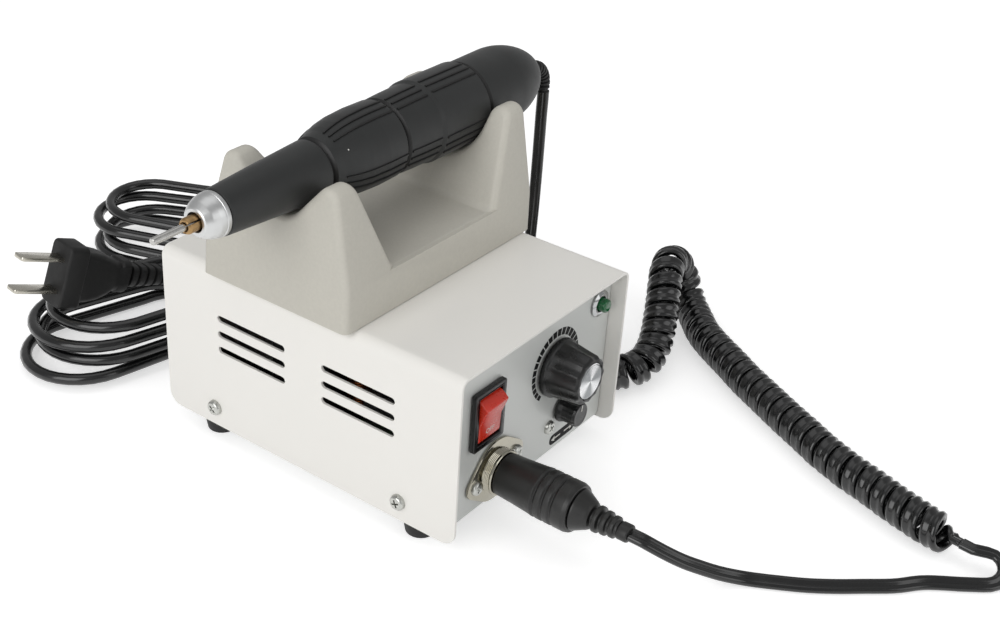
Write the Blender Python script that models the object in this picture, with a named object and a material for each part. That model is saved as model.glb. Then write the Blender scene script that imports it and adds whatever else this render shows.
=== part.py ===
"""Dental laboratory micromotor: control box, handpiece in its cradle, curly lead and mains lead.

The box is centred on the origin in plan, its underside is at z = 0 and its front panel faces -Y.
The handpiece lies along X in the cradle, with its bur shank towards -X. All lengths are metres.
"""
import math

import bmesh
import bpy
import numpy as np
from mathutils import Matrix, Vector

# Clearances and shared sizes
SEAT = 0.0003
RUN = 0.0004
OVERRUN = 0.002
WELD = 0.000001
SMOOTH_DEG = 35.0
LARGE_STEPS = 20
MIDDLE_STEPS = 14
SMALL_STEPS = 10
TINY_STEPS = 8

# Sheet-metal case
CASE_WIDTH = 0.0954
CASE_DEPTH = 0.130
CASE_HEIGHT = 0.0636
COVER_SHEET = 0.001
COVER_BEND = 0.0035
COVER_SKIRT_CORNER = 0.0052
PANEL_RECESS = 0.006
CHASSIS_SHEET = 0.0012
CHASSIS_BEND = 0.0016
FLANGE_HEIGHT = 0.0125
FLANGE_LENGTH = 0.104
SCREW_END_INSET = 0.0232
SCREW_Z = 0.0074
SCREW_RADIUS = 0.0015
SCREW_LENGTH = 0.007
SCREW_HEAD_RADIUS = 0.0029
SCREW_HEAD_HEIGHT = 0.0019
SCREW_HEAD_TOP_SHARE = 0.7
PANEL_HEAD_HEIGHT = 0.0015
VENT_WIDTH = 0.0023
VENT_NEAR_Y = 0.0081
VENT_REAR_INSET = 0.0259
VENT_LOW_Z = 0.0327
VENT_PITCH = 0.0062
VENT_ROWS = 3

# Rubber feet
FOOT_SIDE_INSET = 0.007
FOOT_END_INSET = 0.019
FOOT_RADIUS = 0.0062
FOOT_TAPER = 0.0005
FOOT_HEIGHT = 0.006
FOOT_STUD_RADIUS = 0.0018
FOOT_STUD_HEIGHT = 0.0032

# Front panel places, seen from the front
ROCKER_X = -0.02625
ROCKER_Z = 0.0388
DIAL_X = 0.0136
DIAL_Z = 0.038
DIRECTION_X = 0.020
DIRECTION_Z = 0.018
LAMP_SIDE_INSET = 0.0087
LAMP_TOP_INSET = 0.0119
SOCKET_X = -0.0194
SOCKET_Z = 0.0135
PANEL_SCREW_X = 0.0132
PANEL_SCREW_Z = 0.0128

# Mains rocker switch
BEZEL_WIDTH = 0.0165
BEZEL_HEIGHT = 0.022
BEZEL_THICK = 0.002
BEZEL_CORNER = 0.001
SWITCH_BODY_WIDTH = 0.0138
SWITCH_BODY_HEIGHT = 0.0196
SWITCH_BODY_DEPTH = 0.0175
SWITCH_POCKET_DEPTH = 0.0125
ROCKER_SWEEP_RADIUS = 0.0086
ROCKER_WIDTH = 0.0116
ROCKER_PIVOT_DEPTH = 0.0015
ROCKER_VALLEY = 0.0042
ROCKER_TILT_DEG = 12.0
ROCKER_FRONT_DEG = 38.0
ROCKER_BACK_DEG = 22.0
ROCKER_PIN_RADIUS = 0.0011
ROCKER_PIN_REACH = 0.0008
TERMINAL_WIDTH = 0.0048
TERMINAL_THICK = 0.0008
TERMINAL_LENGTH = 0.007
TERMINAL_SPACING = 0.008

# Speed knob on its potentiometer
KNOB_SKIRT_RADIUS = 0.01075
KNOB_FRONT_RADIUS = 0.00875
KNOB_LENGTH = 0.0148
KNOB_STANDOFF = 0.0008
KNOB_SKIRT_THICK = 0.0022
KNOB_GROOVE = 0.0006
KNOB_FLUTES = 12
KNOB_CAP_RADIUS = 0.0066
KNOB_CAP_THICK = 0.0009
POT_SHAFT_RADIUS = 0.003
POT_BUSH_RADIUS = 0.0045
POT_NUT_RADIUS = 0.0060
POT_NUT_THICK = 0.002
POT_BODY_RADIUS = 0.0085
POT_BODY_DEPTH = 0.010
POT_LUG_DEPTH = 0.0055
POT_LUG_WIDTH_SHARE = 0.7
POT_LUG_SHARES = (0.5, 0.3)

# Direction knob on its rotary switch
TURN_KNOB_RADIUS = 0.005
TURN_KNOB_LENGTH = 0.0086
TURN_KNOB_WAIST = 0.0008
TURN_KNOB_STANDOFF = 0.0006
TURN_KNOB_SKIRT = 0.0012
TURN_KNOB_WAIST_SHARE = 0.45
TURN_SHAFT_RADIUS = 0.0015
TURN_BODY_RADIUS = 0.006
TURN_BODY_DEPTH = 0.012
TURN_BUSH_RADIUS = 0.003

# Pilot lamp
LAMP_BEZEL_RADIUS = 0.005
LAMP_BEZEL_THICK = 0.0012
LAMP_BARREL_RADIUS = 0.0038
LAMP_BARREL_DEPTH = 0.008
LENS_RADIUS = 0.0025
LENS_PROUD = 0.0028
LENS_DEPTH = 0.006
LENS_RIM_RADIUS = 0.0029
LENS_RIM_THICK = 0.001

# Round socket and its plug
SOCKET_SCREW_SPACING = 0.0223
SOCKET_TURN_DEG = 7.0
SOCKET_FLANGE_THICK = 0.001
SOCKET_FLANGE_RADIUS = 0.0118
SOCKET_EAR_RADIUS = 0.0044
SOCKET_BARREL_RADIUS = 0.0082
SOCKET_BARREL_PROUD = 0.0048
SOCKET_BARREL_DEPTH = 0.009
SOCKET_BORE_RADIUS = 0.0071
SOCKET_INSERT_RADIUS = 0.0054
SOCKET_INSERT_STEM = 0.0036
SOCKET_SCREW_HEAD_RADIUS = 0.0026
SOCKET_SCREW_RADIUS = 0.0013
PLUG_SHELL_RADIUS = 0.0067
PLUG_SHELL_WALL = 0.0006
PLUG_SHELL_IN_SOCKET = 0.0048
PLUG_SHELL_IN_BODY = 0.007
PLUG_BODY_LENGTH = 0.0290
PLUG_MOUTH_RADIUS = 0.0075
PLUG_GRIP_RADIUS = 0.0087
PLUG_SHOULDER_RADIUS = 0.0082
PLUG_GROOVE = 0.0006
PLUG_GROOVE_WIDTH = 0.0012
PLUG_GROOVE_PITCH = 0.0034
PLUG_GROOVES = 3
PLUG_SWELL_SHARE = 0.5
BOOT_NECK_RADIUS = 0.0046
BOOT_CONE_RADIUS = 0.0074
BOOT_CONE_LENGTH = 0.0055
BOOT_SPIGOT_RADIUS = 0.0042
BOOT_SPIGOT_LENGTH = 0.004
BOOT_RIB_RADII = (0.0046, 0.0042, 0.0038)
BOOT_RIB_WIDTH = 0.0016
BOOT_RIB_GAP = 0.0014
BOOT_CORE_RADIUS = 0.0029
BOOT_END_LENGTH = 0.0036
BOOT_END_RADIUS = 0.0034

# Rear panel
GLAND_SIDE_INSET = 0.0117
GLAND_Z = 0.015
GLAND_RADIUS = 0.0062
GLAND_THICK = 0.003
GLAND_NECK_RADIUS = 0.0048
GLAND_RELIEF_LENGTH = 0.024
GLAND_TIP_RADIUS = 0.0031
GLAND_COLLAR_DEPTH = 0.005
GLAND_RIBS = 4
GLAND_RIB_SHARES = (0.35, 0.75)
FUSE_SIDE_INSET = 0.0147
FUSE_Z = 0.017
FUSE_CAP_RADIUS = 0.0075
FUSE_CAP_THICK = 0.006
FUSE_FLANGE_RADIUS = 0.0085
FUSE_FLANGE_THICK = 0.0015
FUSE_BODY_RADIUS = 0.0062
FUSE_BODY_DEPTH = 0.026
FUSE_TAPER_SHARES = (0.6, 0.8)
FUSE_CAP_SHARES = (0.85, 0.2)

# Parts inside the case
BOARD_SIDE_ROOM = 0.0107
BOARD_REAR_ROOM = 0.006
BOARD_DEPTH_SHARE = 0.277
BOARD_THICK = 0.0016
BOARD_BOSS_RADIUS = 0.0026
BOARD_BOSS_HEIGHT = 0.0042
BOARD_BOSS_INSET = 0.0045
CAPACITOR_RADIUS = 0.008
CAPACITOR_HEIGHT = 0.025
CAPACITOR_RIM = 0.001
CAPACITOR_X = 0.022
CAPACITOR_BACKSET = 0.004
HEATSINK_WIDTH = 0.024
HEATSINK_DEPTH_SHARE = 0.154
HEATSINK_HEIGHT = 0.018
HEATSINK_BASE = 0.003
HEATSINK_FIN = 0.0014
HEATSINK_FINS = 6
HEATSINK_X = -0.014
HEATSINK_BACKSET = 0.002
CORE_WIDTH = 0.057
CORE_HEIGHT = 0.048
CORE_STACK_SHARE = 0.2
CORE_LIMB = 0.0095
CORE_SIDE_ROOM = 0.0058
CORE_REAR_ROOM = 0.003
WINDING_BULGE = 0.0075
CORE_FOOT_WIDTH = 0.010
CORE_FOOT_THICK = 0.0015

# Cradle
CRADLE_X = -0.001
CRADLE_HALF_LENGTH = 0.0502
CRADLE_TOP_HALF_LENGTH = 0.0491
CRADLE_FRONT_Y = -0.0215
CRADLE_REAR_Y = 0.0415
CRADLE_REAR_DRAFT = 0.0009
CRADLE_RAIL_HEIGHT = 0.0153
CRADLE_INNER_HALF = 0.0265
CRADLE_INNER_TOP_HALF = 0.0397
CRADLE_POST_SPREAD = 0.020
CRADLE_POST_RADIUS = 0.0044
CRADLE_POST_RISE = 0.0002
CRADLE_ROUND = 0.0024

# Handpiece, stations counted along X from the front of the black nose sleeve
HAND_FRONT_X = -0.0765
HAND_Y = 0.0075
HAND_Z = 0.1066
GROOVE_GAP = 0.0004
NOSE_LENGTH = 0.0418
CHUCK_LENGTH = 0.0322
MOTOR_LENGTH = 0.0436
REAR_LENGTH = 0.0437
NOSE_FRONT_RADIUS = 0.0076
NOSE_MID_RADIUS = 0.0089
NOSE_REAR_RADIUS = 0.0100
CHUCK_WAIST_RADIUS = 0.0102
CHUCK_SWELL_RADIUS = 0.0138
CHUCK_REAR_RADIUS = 0.0134
CHUCK_LENGTH_SHARES = (0.18, 0.30, 0.45, 0.70)
CHUCK_SWELL_SHARES = (0.42, 0.68, 0.90, 1.0)
MOTOR_FRONT_RADIUS = 0.0134
MOTOR_RADIUS = 0.0147
MOTOR_STEP_STATION = 0.0176
REAR_FRONT_RADIUS = 0.0140
REAR_SWELL_RADIUS = 0.0142
REAR_DOME_LENGTH = 0.024
REAR_DOME_POWER = 1.8
REAR_FACE_RADIUS = 0.0042
GROOVE_CHAMFER = 0.0007
FLUTE_DEPTH = 0.0005
FLUTE_BANDS = 4
FLUTES_PER_BAND = 3
FLUTE_LINE_DEG = 6.0
PLAIN_STEPS = 3
CONE_LENGTH = 0.0085
CONE_FRONT_RADIUS = 0.0042
CONE_RIM_RADIUS = 0.0073
CONE_RIM_LENGTH = 0.0016
CONE_LENGTH_SHARES = (0.04, 0.30, 0.62, 0.86)
CONE_RADIUS_SHARES = (0.14, 0.58, 0.88, 0.98)
CONE_SPIGOT_LENGTH = 0.005
CONE_HOLE_RADIUS = 0.0032
BARREL_RADIUS = 0.0086
BARREL_WALL = 0.0012
NOSE_BORE_RADIUS = 0.0062
HOUSING_BORE_RADIUS = 0.0117
BARREL_REACH = 0.004
REAR_WALL = 0.0026
SPINDLE_RADIUS = 0.0022
COLLET_RADIUS = 0.0026
COLLET_PROUD = 0.004
COLLET_LENGTH = 0.018
COLLET_SLIT = 0.0006
SHANK_RADIUS = 0.001175
SHANK_PROUD = 0.0125
SHANK_LENGTH = 0.026
SHANK_TIP = 0.00024
BEARING_RADIUS = 0.0059
BEARING_WIDTH = 0.005
FRONT_BEARING_STATION = 0.008
ROTOR_RADIUS = 0.0075
ROTOR_LENGTH = 0.032
ROTOR_STATION = 0.081
MAGNET_WALL = 0.0028
COMMUTATOR_RADIUS = 0.0042
COMMUTATOR_LENGTH = 0.006
BRUSH_WIDTH = 0.004
END_PLATE_THICK = 0.004
END_PLATE_STATION = 0.130
RELIEF_RADIUS = 0.00275
RELIEF_RIB = 0.0005
RELIEF_RIBS = 8
RELIEF_ROOT = 0.006
RELIEF_LEAVE = 0.002
RELIEF_TURN = 0.0082
RELIEF_TAIL = 0.003

# Cords
FLOOR_GAP = 0.0001
LEAD_DIAMETER = 0.0040
MAINS_DIAMETER = 0.0045
CURL_RADIUS = 0.0070
CURL_PITCH = 0.0068
CURL_WIDTH = 0.0062
CURL_THICK = 0.0028
CURL_SELF_GAP = 0.0007
CURL_STEPS = 8
CURL_END_SHARE = 0.9
CURL_END_STRETCH = 0.8
CURL_LEAST_SHARE = 0.3
CURL_SMOOTHING = 60
CURL_SECTION_SHARES = ((0.5, 0), (0.27, 0.5), (-0.27, 0.5), (-0.5, 0), (-0.27, -0.5), (0.27, -0.5))
HANK_CLIMB = 0.0053
HANK_STEPS = 24

# Cord routes, chosen by hand: x, y, z of points in order
CURL_ROUTE = ((0.060, 0.010, 0.0012), (0.060, -0.004, 0.0012), (0.062, -0.022, 0.0012),
              (0.067, -0.038, 0.0012), (0.0755, -0.050, 0.0012), (0.086, -0.0545, 0.002),
              (0.096, -0.0535, 0.0055), (0.1045, -0.050, 0.0115), (0.1135, -0.0455, 0.0185),
              (0.124, -0.040, 0.0235), (0.136, -0.0365, 0.0215), (0.1425, -0.0385, 0.0115),
              (0.138, -0.0455, 0.003), (0.131, -0.0535, 0.0012), (0.124, -0.060, 0.0012),
              (0.117, -0.070, 0.0012), (0.111, -0.080, 0.0012), (0.105, -0.089, 0.0012),
              (0.100, -0.098, 0.0012), (0.095, -0.107, 0.0012), (0.090, -0.116, 0.0012),
              (0.0855, -0.125, 0.0012), (0.081, -0.133, 0.0012), (0.078, -0.140, 0.0012),
              (0.075, -0.147, 0.0012), (0.073, -0.154, 0.0012), (0.0705, -0.161, 0.0012),
              (0.068, -0.168, 0.0012), (0.066, -0.175, 0.0012), (0.064, -0.182, 0.0012),
              (0.063, -0.190, 0.0012))
PLUG_LEAD_ROUTE = ((0.0655, -0.2045, 0.0), (0.062, -0.209, -0.002), (0.056, -0.208, -0.0038),
                   (0.050, -0.201, -0.0039), (0.042, -0.190, -0.0039), (0.034, -0.183, -0.0039),
                   (0.027, -0.175, -0.0039), (0.021, -0.168, -0.0039), (0.015, -0.160, -0.0039),
                   (0.0095, -0.151, -0.0039), (0.005, -0.1435, -0.0036), (-0.001, -0.1375, -0.001),
                   (-0.0065, -0.133, 0.0025), (-0.0115, -0.1285, 0.006), (-0.0155, -0.1235, 0.0095))
HAND_LEAD_ROUTE = ((0.0955, 0.0076, 0.085), (0.0955, 0.0076, 0.070), (0.0955, 0.0077, 0.055),
                   (0.0952, 0.0078, 0.040), (0.0948, 0.0082, 0.026), (0.0942, 0.010, 0.014),
                   (0.0925, 0.0145, 0.005), (0.0885, 0.0205, -0.001), (0.082, 0.0265, -0.0036),
                   (0.074, 0.0290, -0.0036), (0.0665, 0.0275, -0.0025), (0.0617, 0.0225, -0.0005))
FAR_HANK_CENTRE = (0.0433, 0.1498, 0.0)
FAR_HANK_HALF = 0.038
FAR_HANK_BEND = 0.017
FAR_HANK_AZIMUTH_DEG = 112.0
FAR_HANK_DRIFT = (0.002, 0.0012, 0.0)
FAR_HANK_TURNS = 3.83
FAR_HANK_START_SHARE = 0.04
NEAR_HANK_CENTRE = (-0.0203, 0.1132, 0.0)
NEAR_HANK_HALF = 0.038
NEAR_HANK_BEND = 0.023
NEAR_HANK_AZIMUTH_DEG = 165.0
NEAR_HANK_DRIFT = (0.003, -0.0005, 0.0)
NEAR_HANK_TURNS = 3.68
NEAR_HANK_START_SHARE = 0.0
INLET_ROUTE = ((0.0362, 0.0965, 0.0105), (0.0368, 0.1045, 0.0045), (0.0355, 0.112, -0.001),
               (0.0328, 0.1186, -0.0036))
LINK_ROUTE = ((0.0500, 0.1100, 0.0170), (0.0430, 0.1085, 0.0150), (0.0360, 0.1095, 0.0110),
              (0.0300, 0.1135, 0.0060), (0.0230, 0.1200, 0.0005), (0.0140, 0.1265, -0.0033),
              (0.0050, 0.1302, -0.0036))
OUTLET_ROUTE = ((0.0145, 0.0862, 0.0166), (0.0180, 0.0915, 0.0170), (0.0183, 0.0980, 0.0168),
                (0.0160, 0.1048, 0.0156), (0.0115, 0.1106, 0.0136), (0.0062, 0.1140, 0.0122))

# Mains plug
MAINS_PLUG_TAIL = (-0.002, 0.1163, 0.0140)
MAINS_PLUG_AZIMUTH_DEG = 171.0
MAINS_PLUG_RISE_DEG = 20.0
MAINS_RELIEF_LENGTH = 0.020
MAINS_COLLAR_LENGTH = 0.0045
MAINS_BODY_LENGTH = 0.0165
MAINS_HEAD_LENGTH = 0.0085
MAINS_HEAD_HEIGHT = 0.0248
MAINS_HEAD_THICK = 0.0132
MAINS_BODY_HEIGHT = 0.0205
MAINS_BODY_THICK = 0.0112
MAINS_NECK_HEIGHT = 0.0115
MAINS_NECK_THICK = 0.0095
MAINS_CORNER = 0.002
BLADE_SPACING = 0.0127
BLADE_WIDTH = 0.0063
BLADE_THICK = 0.0015
BLADE_LENGTH = 0.0175
BLADE_ROOT = 0.005
MAINS_RIBS = 4
MAINS_RIB_SHARES = (0.5, 0.55, 0.95)
MAINS_COLLAR_SHARES = (1.2, 1.15)
MAINS_WAIST_SHARES = (0.86, 0.45)
MAINS_ROUND_SHARE = 0.98

# Worked out from the sizes above
PANEL_Y = -CASE_DEPTH / 2 + PANEL_RECESS
REAR_Y = CASE_DEPTH / 2 - PANEL_RECESS
FLOOR_Z = -FOOT_HEIGHT
SCREW_Y = CASE_DEPTH / 2 - SCREW_END_INSET
VENT_FAR_Y = CASE_DEPTH / 2 - VENT_REAR_INSET
FOOT_X = CASE_WIDTH / 2 - FOOT_SIDE_INSET
FOOT_Y = CASE_DEPTH / 2 - FOOT_END_INSET
LAMP_X = CASE_WIDTH / 2 - LAMP_SIDE_INSET
LAMP_Z = CASE_HEIGHT - LAMP_TOP_INSET
GLAND_X = CASE_WIDTH / 2 - GLAND_SIDE_INSET
FUSE_X = FUSE_SIDE_INSET - CASE_WIDTH / 2
CORE_STACK = CASE_DEPTH * CORE_STACK_SHARE
CORE_CENTRE_X = FUSE_X + FUSE_BODY_RADIUS + CORE_SIDE_ROOM + CORE_WIDTH / 2 - CORE_LIMB
CORE_CENTRE_Y = REAR_Y - FUSE_BODY_DEPTH - CORE_REAR_ROOM - CORE_STACK / 2
BOARD_WIDTH = CASE_WIDTH - 2 * BOARD_SIDE_ROOM
BOARD_DEPTH = CASE_DEPTH * BOARD_DEPTH_SHARE
BOARD_CENTRE_Y = CORE_CENTRE_Y - CORE_STACK / 2 - BOARD_REAR_ROOM - BOARD_DEPTH / 2
HEATSINK_DEPTH = CASE_DEPTH * HEATSINK_DEPTH_SHARE
CHASSIS_HALF = CASE_WIDTH / 2 - COVER_SHEET - SEAT
CHASSIS_TOP = CASE_HEIGHT - COVER_SHEET - SEAT
CRADLE_BASE = CASE_HEIGHT + SEAT
CRADLE_FLOOR = CASE_HEIGHT + CRADLE_RAIL_HEIGHT
CHUCK_STATION = NOSE_LENGTH + GROOVE_GAP
MOTOR_STATION = CHUCK_STATION + CHUCK_LENGTH + GROOVE_GAP
REAR_STATION = MOTOR_STATION + MOTOR_LENGTH + GROOVE_GAP
END_STATION = REAR_STATION + REAR_LENGTH
ROTOR_END = ROTOR_STATION + ROTOR_LENGTH
FRONT_FACING = (math.radians(90), 0, 0)
REAR_FACING = (math.radians(-90), 0, 0)
ALONG_X = (0, math.radians(90), 0)


def hex_colour(code):
    """Linear colour of an sRGB hex code."""
    channels = [int(code[i:i + 2], 16) / 255 for i in (0, 2, 4)]
    return [c / 12.92 if c <= 0.04045 else ((c + 0.055) / 1.055) ** 2.4 for c in channels] + [1]


def material(name, code, roughness, metallic=0.0):
    """A Principled material, made once and shared by its name."""
    if name in bpy.data.materials:
        return bpy.data.materials[name]
    made = bpy.data.materials.new(name)
    made.use_nodes = True
    shader = made.node_tree.nodes["Principled BSDF"]
    shader.inputs["Base Color"].default_value = hex_colour(code)
    shader.inputs["Roughness"].default_value = roughness
    shader.inputs["Metallic"].default_value = metallic
    return made


def cover_paint():
    return material("cover_paint", "E9E7E2", 0.35)


def panel_paint():
    return material("panel_paint", "C9CBC9", 0.4)


def cradle_plastic():
    return material("cradle_plastic", "B9B6AC", 0.55)


def handpiece_black():
    return material("handpiece_black", "26282A", 0.55)


def black_plastic():
    return material("black_plastic", "141414", 0.4)


def black_rubber():
    return material("black_rubber", "101010", 0.7)


def cord_black():
    return material("cord_black", "0E0E10", 0.3)


def switch_red():
    return material("switch_red", "D8301C", 0.35)


def lens_green():
    return material("lens_green", "1E7A45", 0.15)


def bright_steel():
    return material("bright_steel", "C8C8C6", 0.25, 1.0)


def aluminium():
    return material("aluminium", "D5D6D6", 0.3, 1.0)


def brass():
    return material("brass", "B08A50", 0.35, 1.0)


def copper():
    return material("copper", "9A5A34", 0.4, 1.0)


def core_steel():
    return material("core_steel", "6C6E70", 0.5, 1.0)


def board_green():
    return material("board_green", "2F5B38", 0.5)


def capacitor_sleeve():
    return material("capacitor_sleeve", "26304A", 0.4)


def add(name, bm, surface, location=(0, 0, 0), rotation=(0, 0, 0), smooth=True):
    """Turn a bmesh into a named object."""
    bmesh.ops.remove_doubles(bm, verts=bm.verts[:], dist=WELD)
    bmesh.ops.recalc_face_normals(bm, faces=bm.faces[:])
    mesh = bpy.data.meshes.new(name)
    bm.to_mesh(mesh)
    bm.free()
    if smooth:
        mesh.shade_smooth()
        mesh.set_sharp_from_angle(angle=math.radians(SMOOTH_DEG))
    mesh.materials.append(surface)
    obj = bpy.data.objects.new(name, mesh)
    obj.location = location
    obj.rotation_euler = rotation
    bpy.context.scene.collection.objects.link(obj)
    return obj


def turned(profile, steps, ring=False):
    """Spin (radius, height) points about Z. A ring's profile closes on itself."""
    bm = bmesh.new()
    verts = [bm.verts.new((radius, 0, height)) for radius, height in profile]
    for first, second in zip(verts, verts[1:]):
        bm.edges.new((first, second))
    if ring:
        bm.edges.new((verts[-1], verts[0]))
    bmesh.ops.spin(bm, geom=bm.verts[:] + bm.edges[:], cent=(0, 0, 0), axis=(0, 0, 1),
                   angle=math.tau, steps=steps, use_merge=True)
    bmesh.ops.remove_doubles(bm, verts=bm.verts[:], dist=WELD)
    return bm


def flute_lines():
    """Angles round a fluted sleeve, each with whether it is pressed in: bands with plain stretches between."""
    band_angle = math.tau / FLUTE_BANDS
    fluted_angle = math.radians(FLUTE_LINE_DEG) * 2 * FLUTES_PER_BAND
    lines = []
    for band in range(FLUTE_BANDS):
        start = band * band_angle
        for step in range(2 * FLUTES_PER_BAND):
            lines.append((start + math.radians(FLUTE_LINE_DEG) * step, step % 2 == 1))
        for step in range(PLAIN_STEPS):
            lines.append((start + fluted_angle + (band_angle - fluted_angle) * step / PLAIN_STEPS, False))
    return lines


def fluted(profile, low, high, inner_radius):
    """Ring about Z from a closed profile, its outer skin pressed in along the flutes between two heights."""
    rows = []
    for angle, pressed in flute_lines():
        row = []
        for radius, height in profile:
            if pressed and low < height < high and radius > inner_radius:
                radius -= FLUTE_DEPTH
            row.append(Vector((radius * math.cos(angle), radius * math.sin(angle), height)))
        rows.append(row)
    return lofted(rows + rows[:1], capped=False)


def disc(radius, low, high):
    """Profile of a plain cylinder."""
    return [(0, low), (radius, low), (radius, high), (0, high)]


def washer(inner, outer, low, high):
    """Profile of a plain ring."""
    return [(inner, low), (outer, low), (outer, high), (inner, high)]


def rounded(corners, steps=4):
    """Outline through (x, y, radius) corners, each one filleted with an arc."""
    outline = []
    count = len(corners)
    for index, (x, y, radius) in enumerate(corners):
        here = Vector((x, y))
        before = Vector(corners[index - 1][:2]) - here
        after = Vector(corners[(index + 1) % count][:2]) - here
        if radius <= 0:
            outline.append(here)
            continue
        half = before.angle(after) / 2
        reach = radius / math.tan(half)
        start = here + before.normalized() * reach
        end = here + after.normalized() * reach
        centre = here + (before.normalized() + after.normalized()).normalized() * radius / math.sin(half)
        from_angle = math.atan2(start.y - centre.y, start.x - centre.x)
        turn = math.atan2(end.y - centre.y, end.x - centre.x) - from_angle
        turn = (turn + math.pi) % math.tau - math.pi
        for step in range(steps + 1):
            angle = from_angle + turn * step / steps
            outline.append(centre + radius * Vector((math.cos(angle), math.sin(angle))))
    return [p for i, p in enumerate(outline) if (p - outline[i - 1]).length > WELD]


def rectangle(half_width, half_height, corner, steps=4, x=0.0, y=0.0):
    """Outline of a rounded rectangle."""
    return rounded([(x - half_width, y - half_height, corner), (x + half_width, y - half_height, corner),
                    (x + half_width, y + half_height, corner), (x - half_width, y + half_height, corner)],
                   steps)


def extruded(outline, low, high, plane="XY"):
    """Prism of an outline. XY rises along Z, XZ runs along Y and YZ runs along X."""
    place = {"XY": lambda p, d: (p[0], p[1], d), "XZ": lambda p, d: (p[0], d, p[1]),
             "YZ": lambda p, d: (d, p[0], p[1])}[plane]
    bm = bmesh.new()
    face = bm.faces.new([bm.verts.new(place(p, low)) for p in outline])
    moved = bmesh.ops.extrude_face_region(bm, geom=[face])["geom"]
    step = Vector(place((0, 0), high)) - Vector(place((0, 0), low))
    bmesh.ops.translate(bm, vec=step, verts=[v for v in moved if isinstance(v, bmesh.types.BMVert)])
    return bm


def combined(target, tools, operation):
    """Apply Booleans to the target with each tool in turn, and take the tools away."""
    for tool in tools:
        modifier = target.modifiers.new(operation.lower(), "BOOLEAN")
        modifier.operation = operation
        modifier.solver = "EXACT"
        modifier.object = tool
        tool.hide_render = True
        tool.display_type = "WIRE"
    bpy.context.view_layer.update()
    shaped = bpy.data.meshes.new_from_object(target.evaluated_get(bpy.context.evaluated_depsgraph_get()))
    target.modifiers.clear()
    target.data = shaped
    for tool in tools:
        bpy.data.objects.remove(tool)
    shaped.shade_smooth()
    shaped.set_sharp_from_angle(angle=math.radians(SMOOTH_DEG))
    return target


def tool(bm, location=(0, 0, 0), rotation=(0, 0, 0)):
    """A helper solid for a Boolean."""
    return add("tool", bm, core_steel(), location, rotation)


def on_panel(x, z):
    """Place on the outer face of the front panel."""
    return (x, PANEL_Y, z)


def hole_in_panel(radius, x, z, steps=SMALL_STEPS, rear=False):
    """Round cutter through the front or the rear panel, with the steps of what passes through it."""
    place = (x, REAR_Y if rear else PANEL_Y, z)
    reach = CHASSIS_SHEET + OVERRUN
    return tool(turned(disc(radius, -reach, reach), steps), place, FRONT_FACING)


def make_cover():
    """Folded cover: top and two sides, with vent slots and screw holes."""
    half = CASE_WIDTH / 2
    inner = half - COVER_SHEET
    inner_top = CASE_HEIGHT - COVER_SHEET
    outline = rounded([(-half, 0, 0), (-half, CASE_HEIGHT, COVER_BEND), (half, CASE_HEIGHT, COVER_BEND),
                       (half, 0, 0), (inner, 0, 0), (inner, inner_top, COVER_BEND - COVER_SHEET),
                       (-inner, inner_top, COVER_BEND - COVER_SHEET), (-inner, 0, 0)], 4)
    cover = add("cover", extruded(outline, -CASE_DEPTH / 2, CASE_DEPTH / 2, "XZ"), cover_paint())
    tools = []
    for side in (-1, 1):
        for row in range(VENT_ROWS):
            slot = rectangle((VENT_FAR_Y - VENT_NEAR_Y) / 2, VENT_WIDTH / 2, VENT_WIDTH / 2 - WELD, 2,
                             side * (VENT_FAR_Y + VENT_NEAR_Y) / 2, VENT_LOW_Z + row * VENT_PITCH)
            tools.append(tool(extruded(slot, -half - OVERRUN, half + OVERRUN, "YZ")))
        hole = turned(disc(SCREW_RADIUS + SEAT, -half - OVERRUN, half + OVERRUN), TINY_STEPS)
        tools.append(tool(hole, (0, side * SCREW_Y, SCREW_Z), ALONG_X))
        tools.append(tool(skirt_corner(side, half)))
    return combined(cover, tools, "DIFFERENCE")


def skirt_corner(side, half):
    """Cutter that rounds the lower corners of both cover sides at one end."""
    end = side * CASE_DEPTH / 2
    centre_y = end - side * COVER_SKIRT_CORNER
    steps = 4
    arc = [(centre_y + side * COVER_SKIRT_CORNER * math.sin(a), COVER_SKIRT_CORNER * (1 - math.cos(a)))
           for a in (math.pi / 2 * i / steps for i in range(steps + 1))]
    outer = [(end + side * OVERRUN, COVER_SKIRT_CORNER), (end + side * OVERRUN, -OVERRUN),
             (centre_y, -OVERRUN)]
    return extruded(arc + outer, -half - OVERRUN, half + OVERRUN, "YZ")


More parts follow.
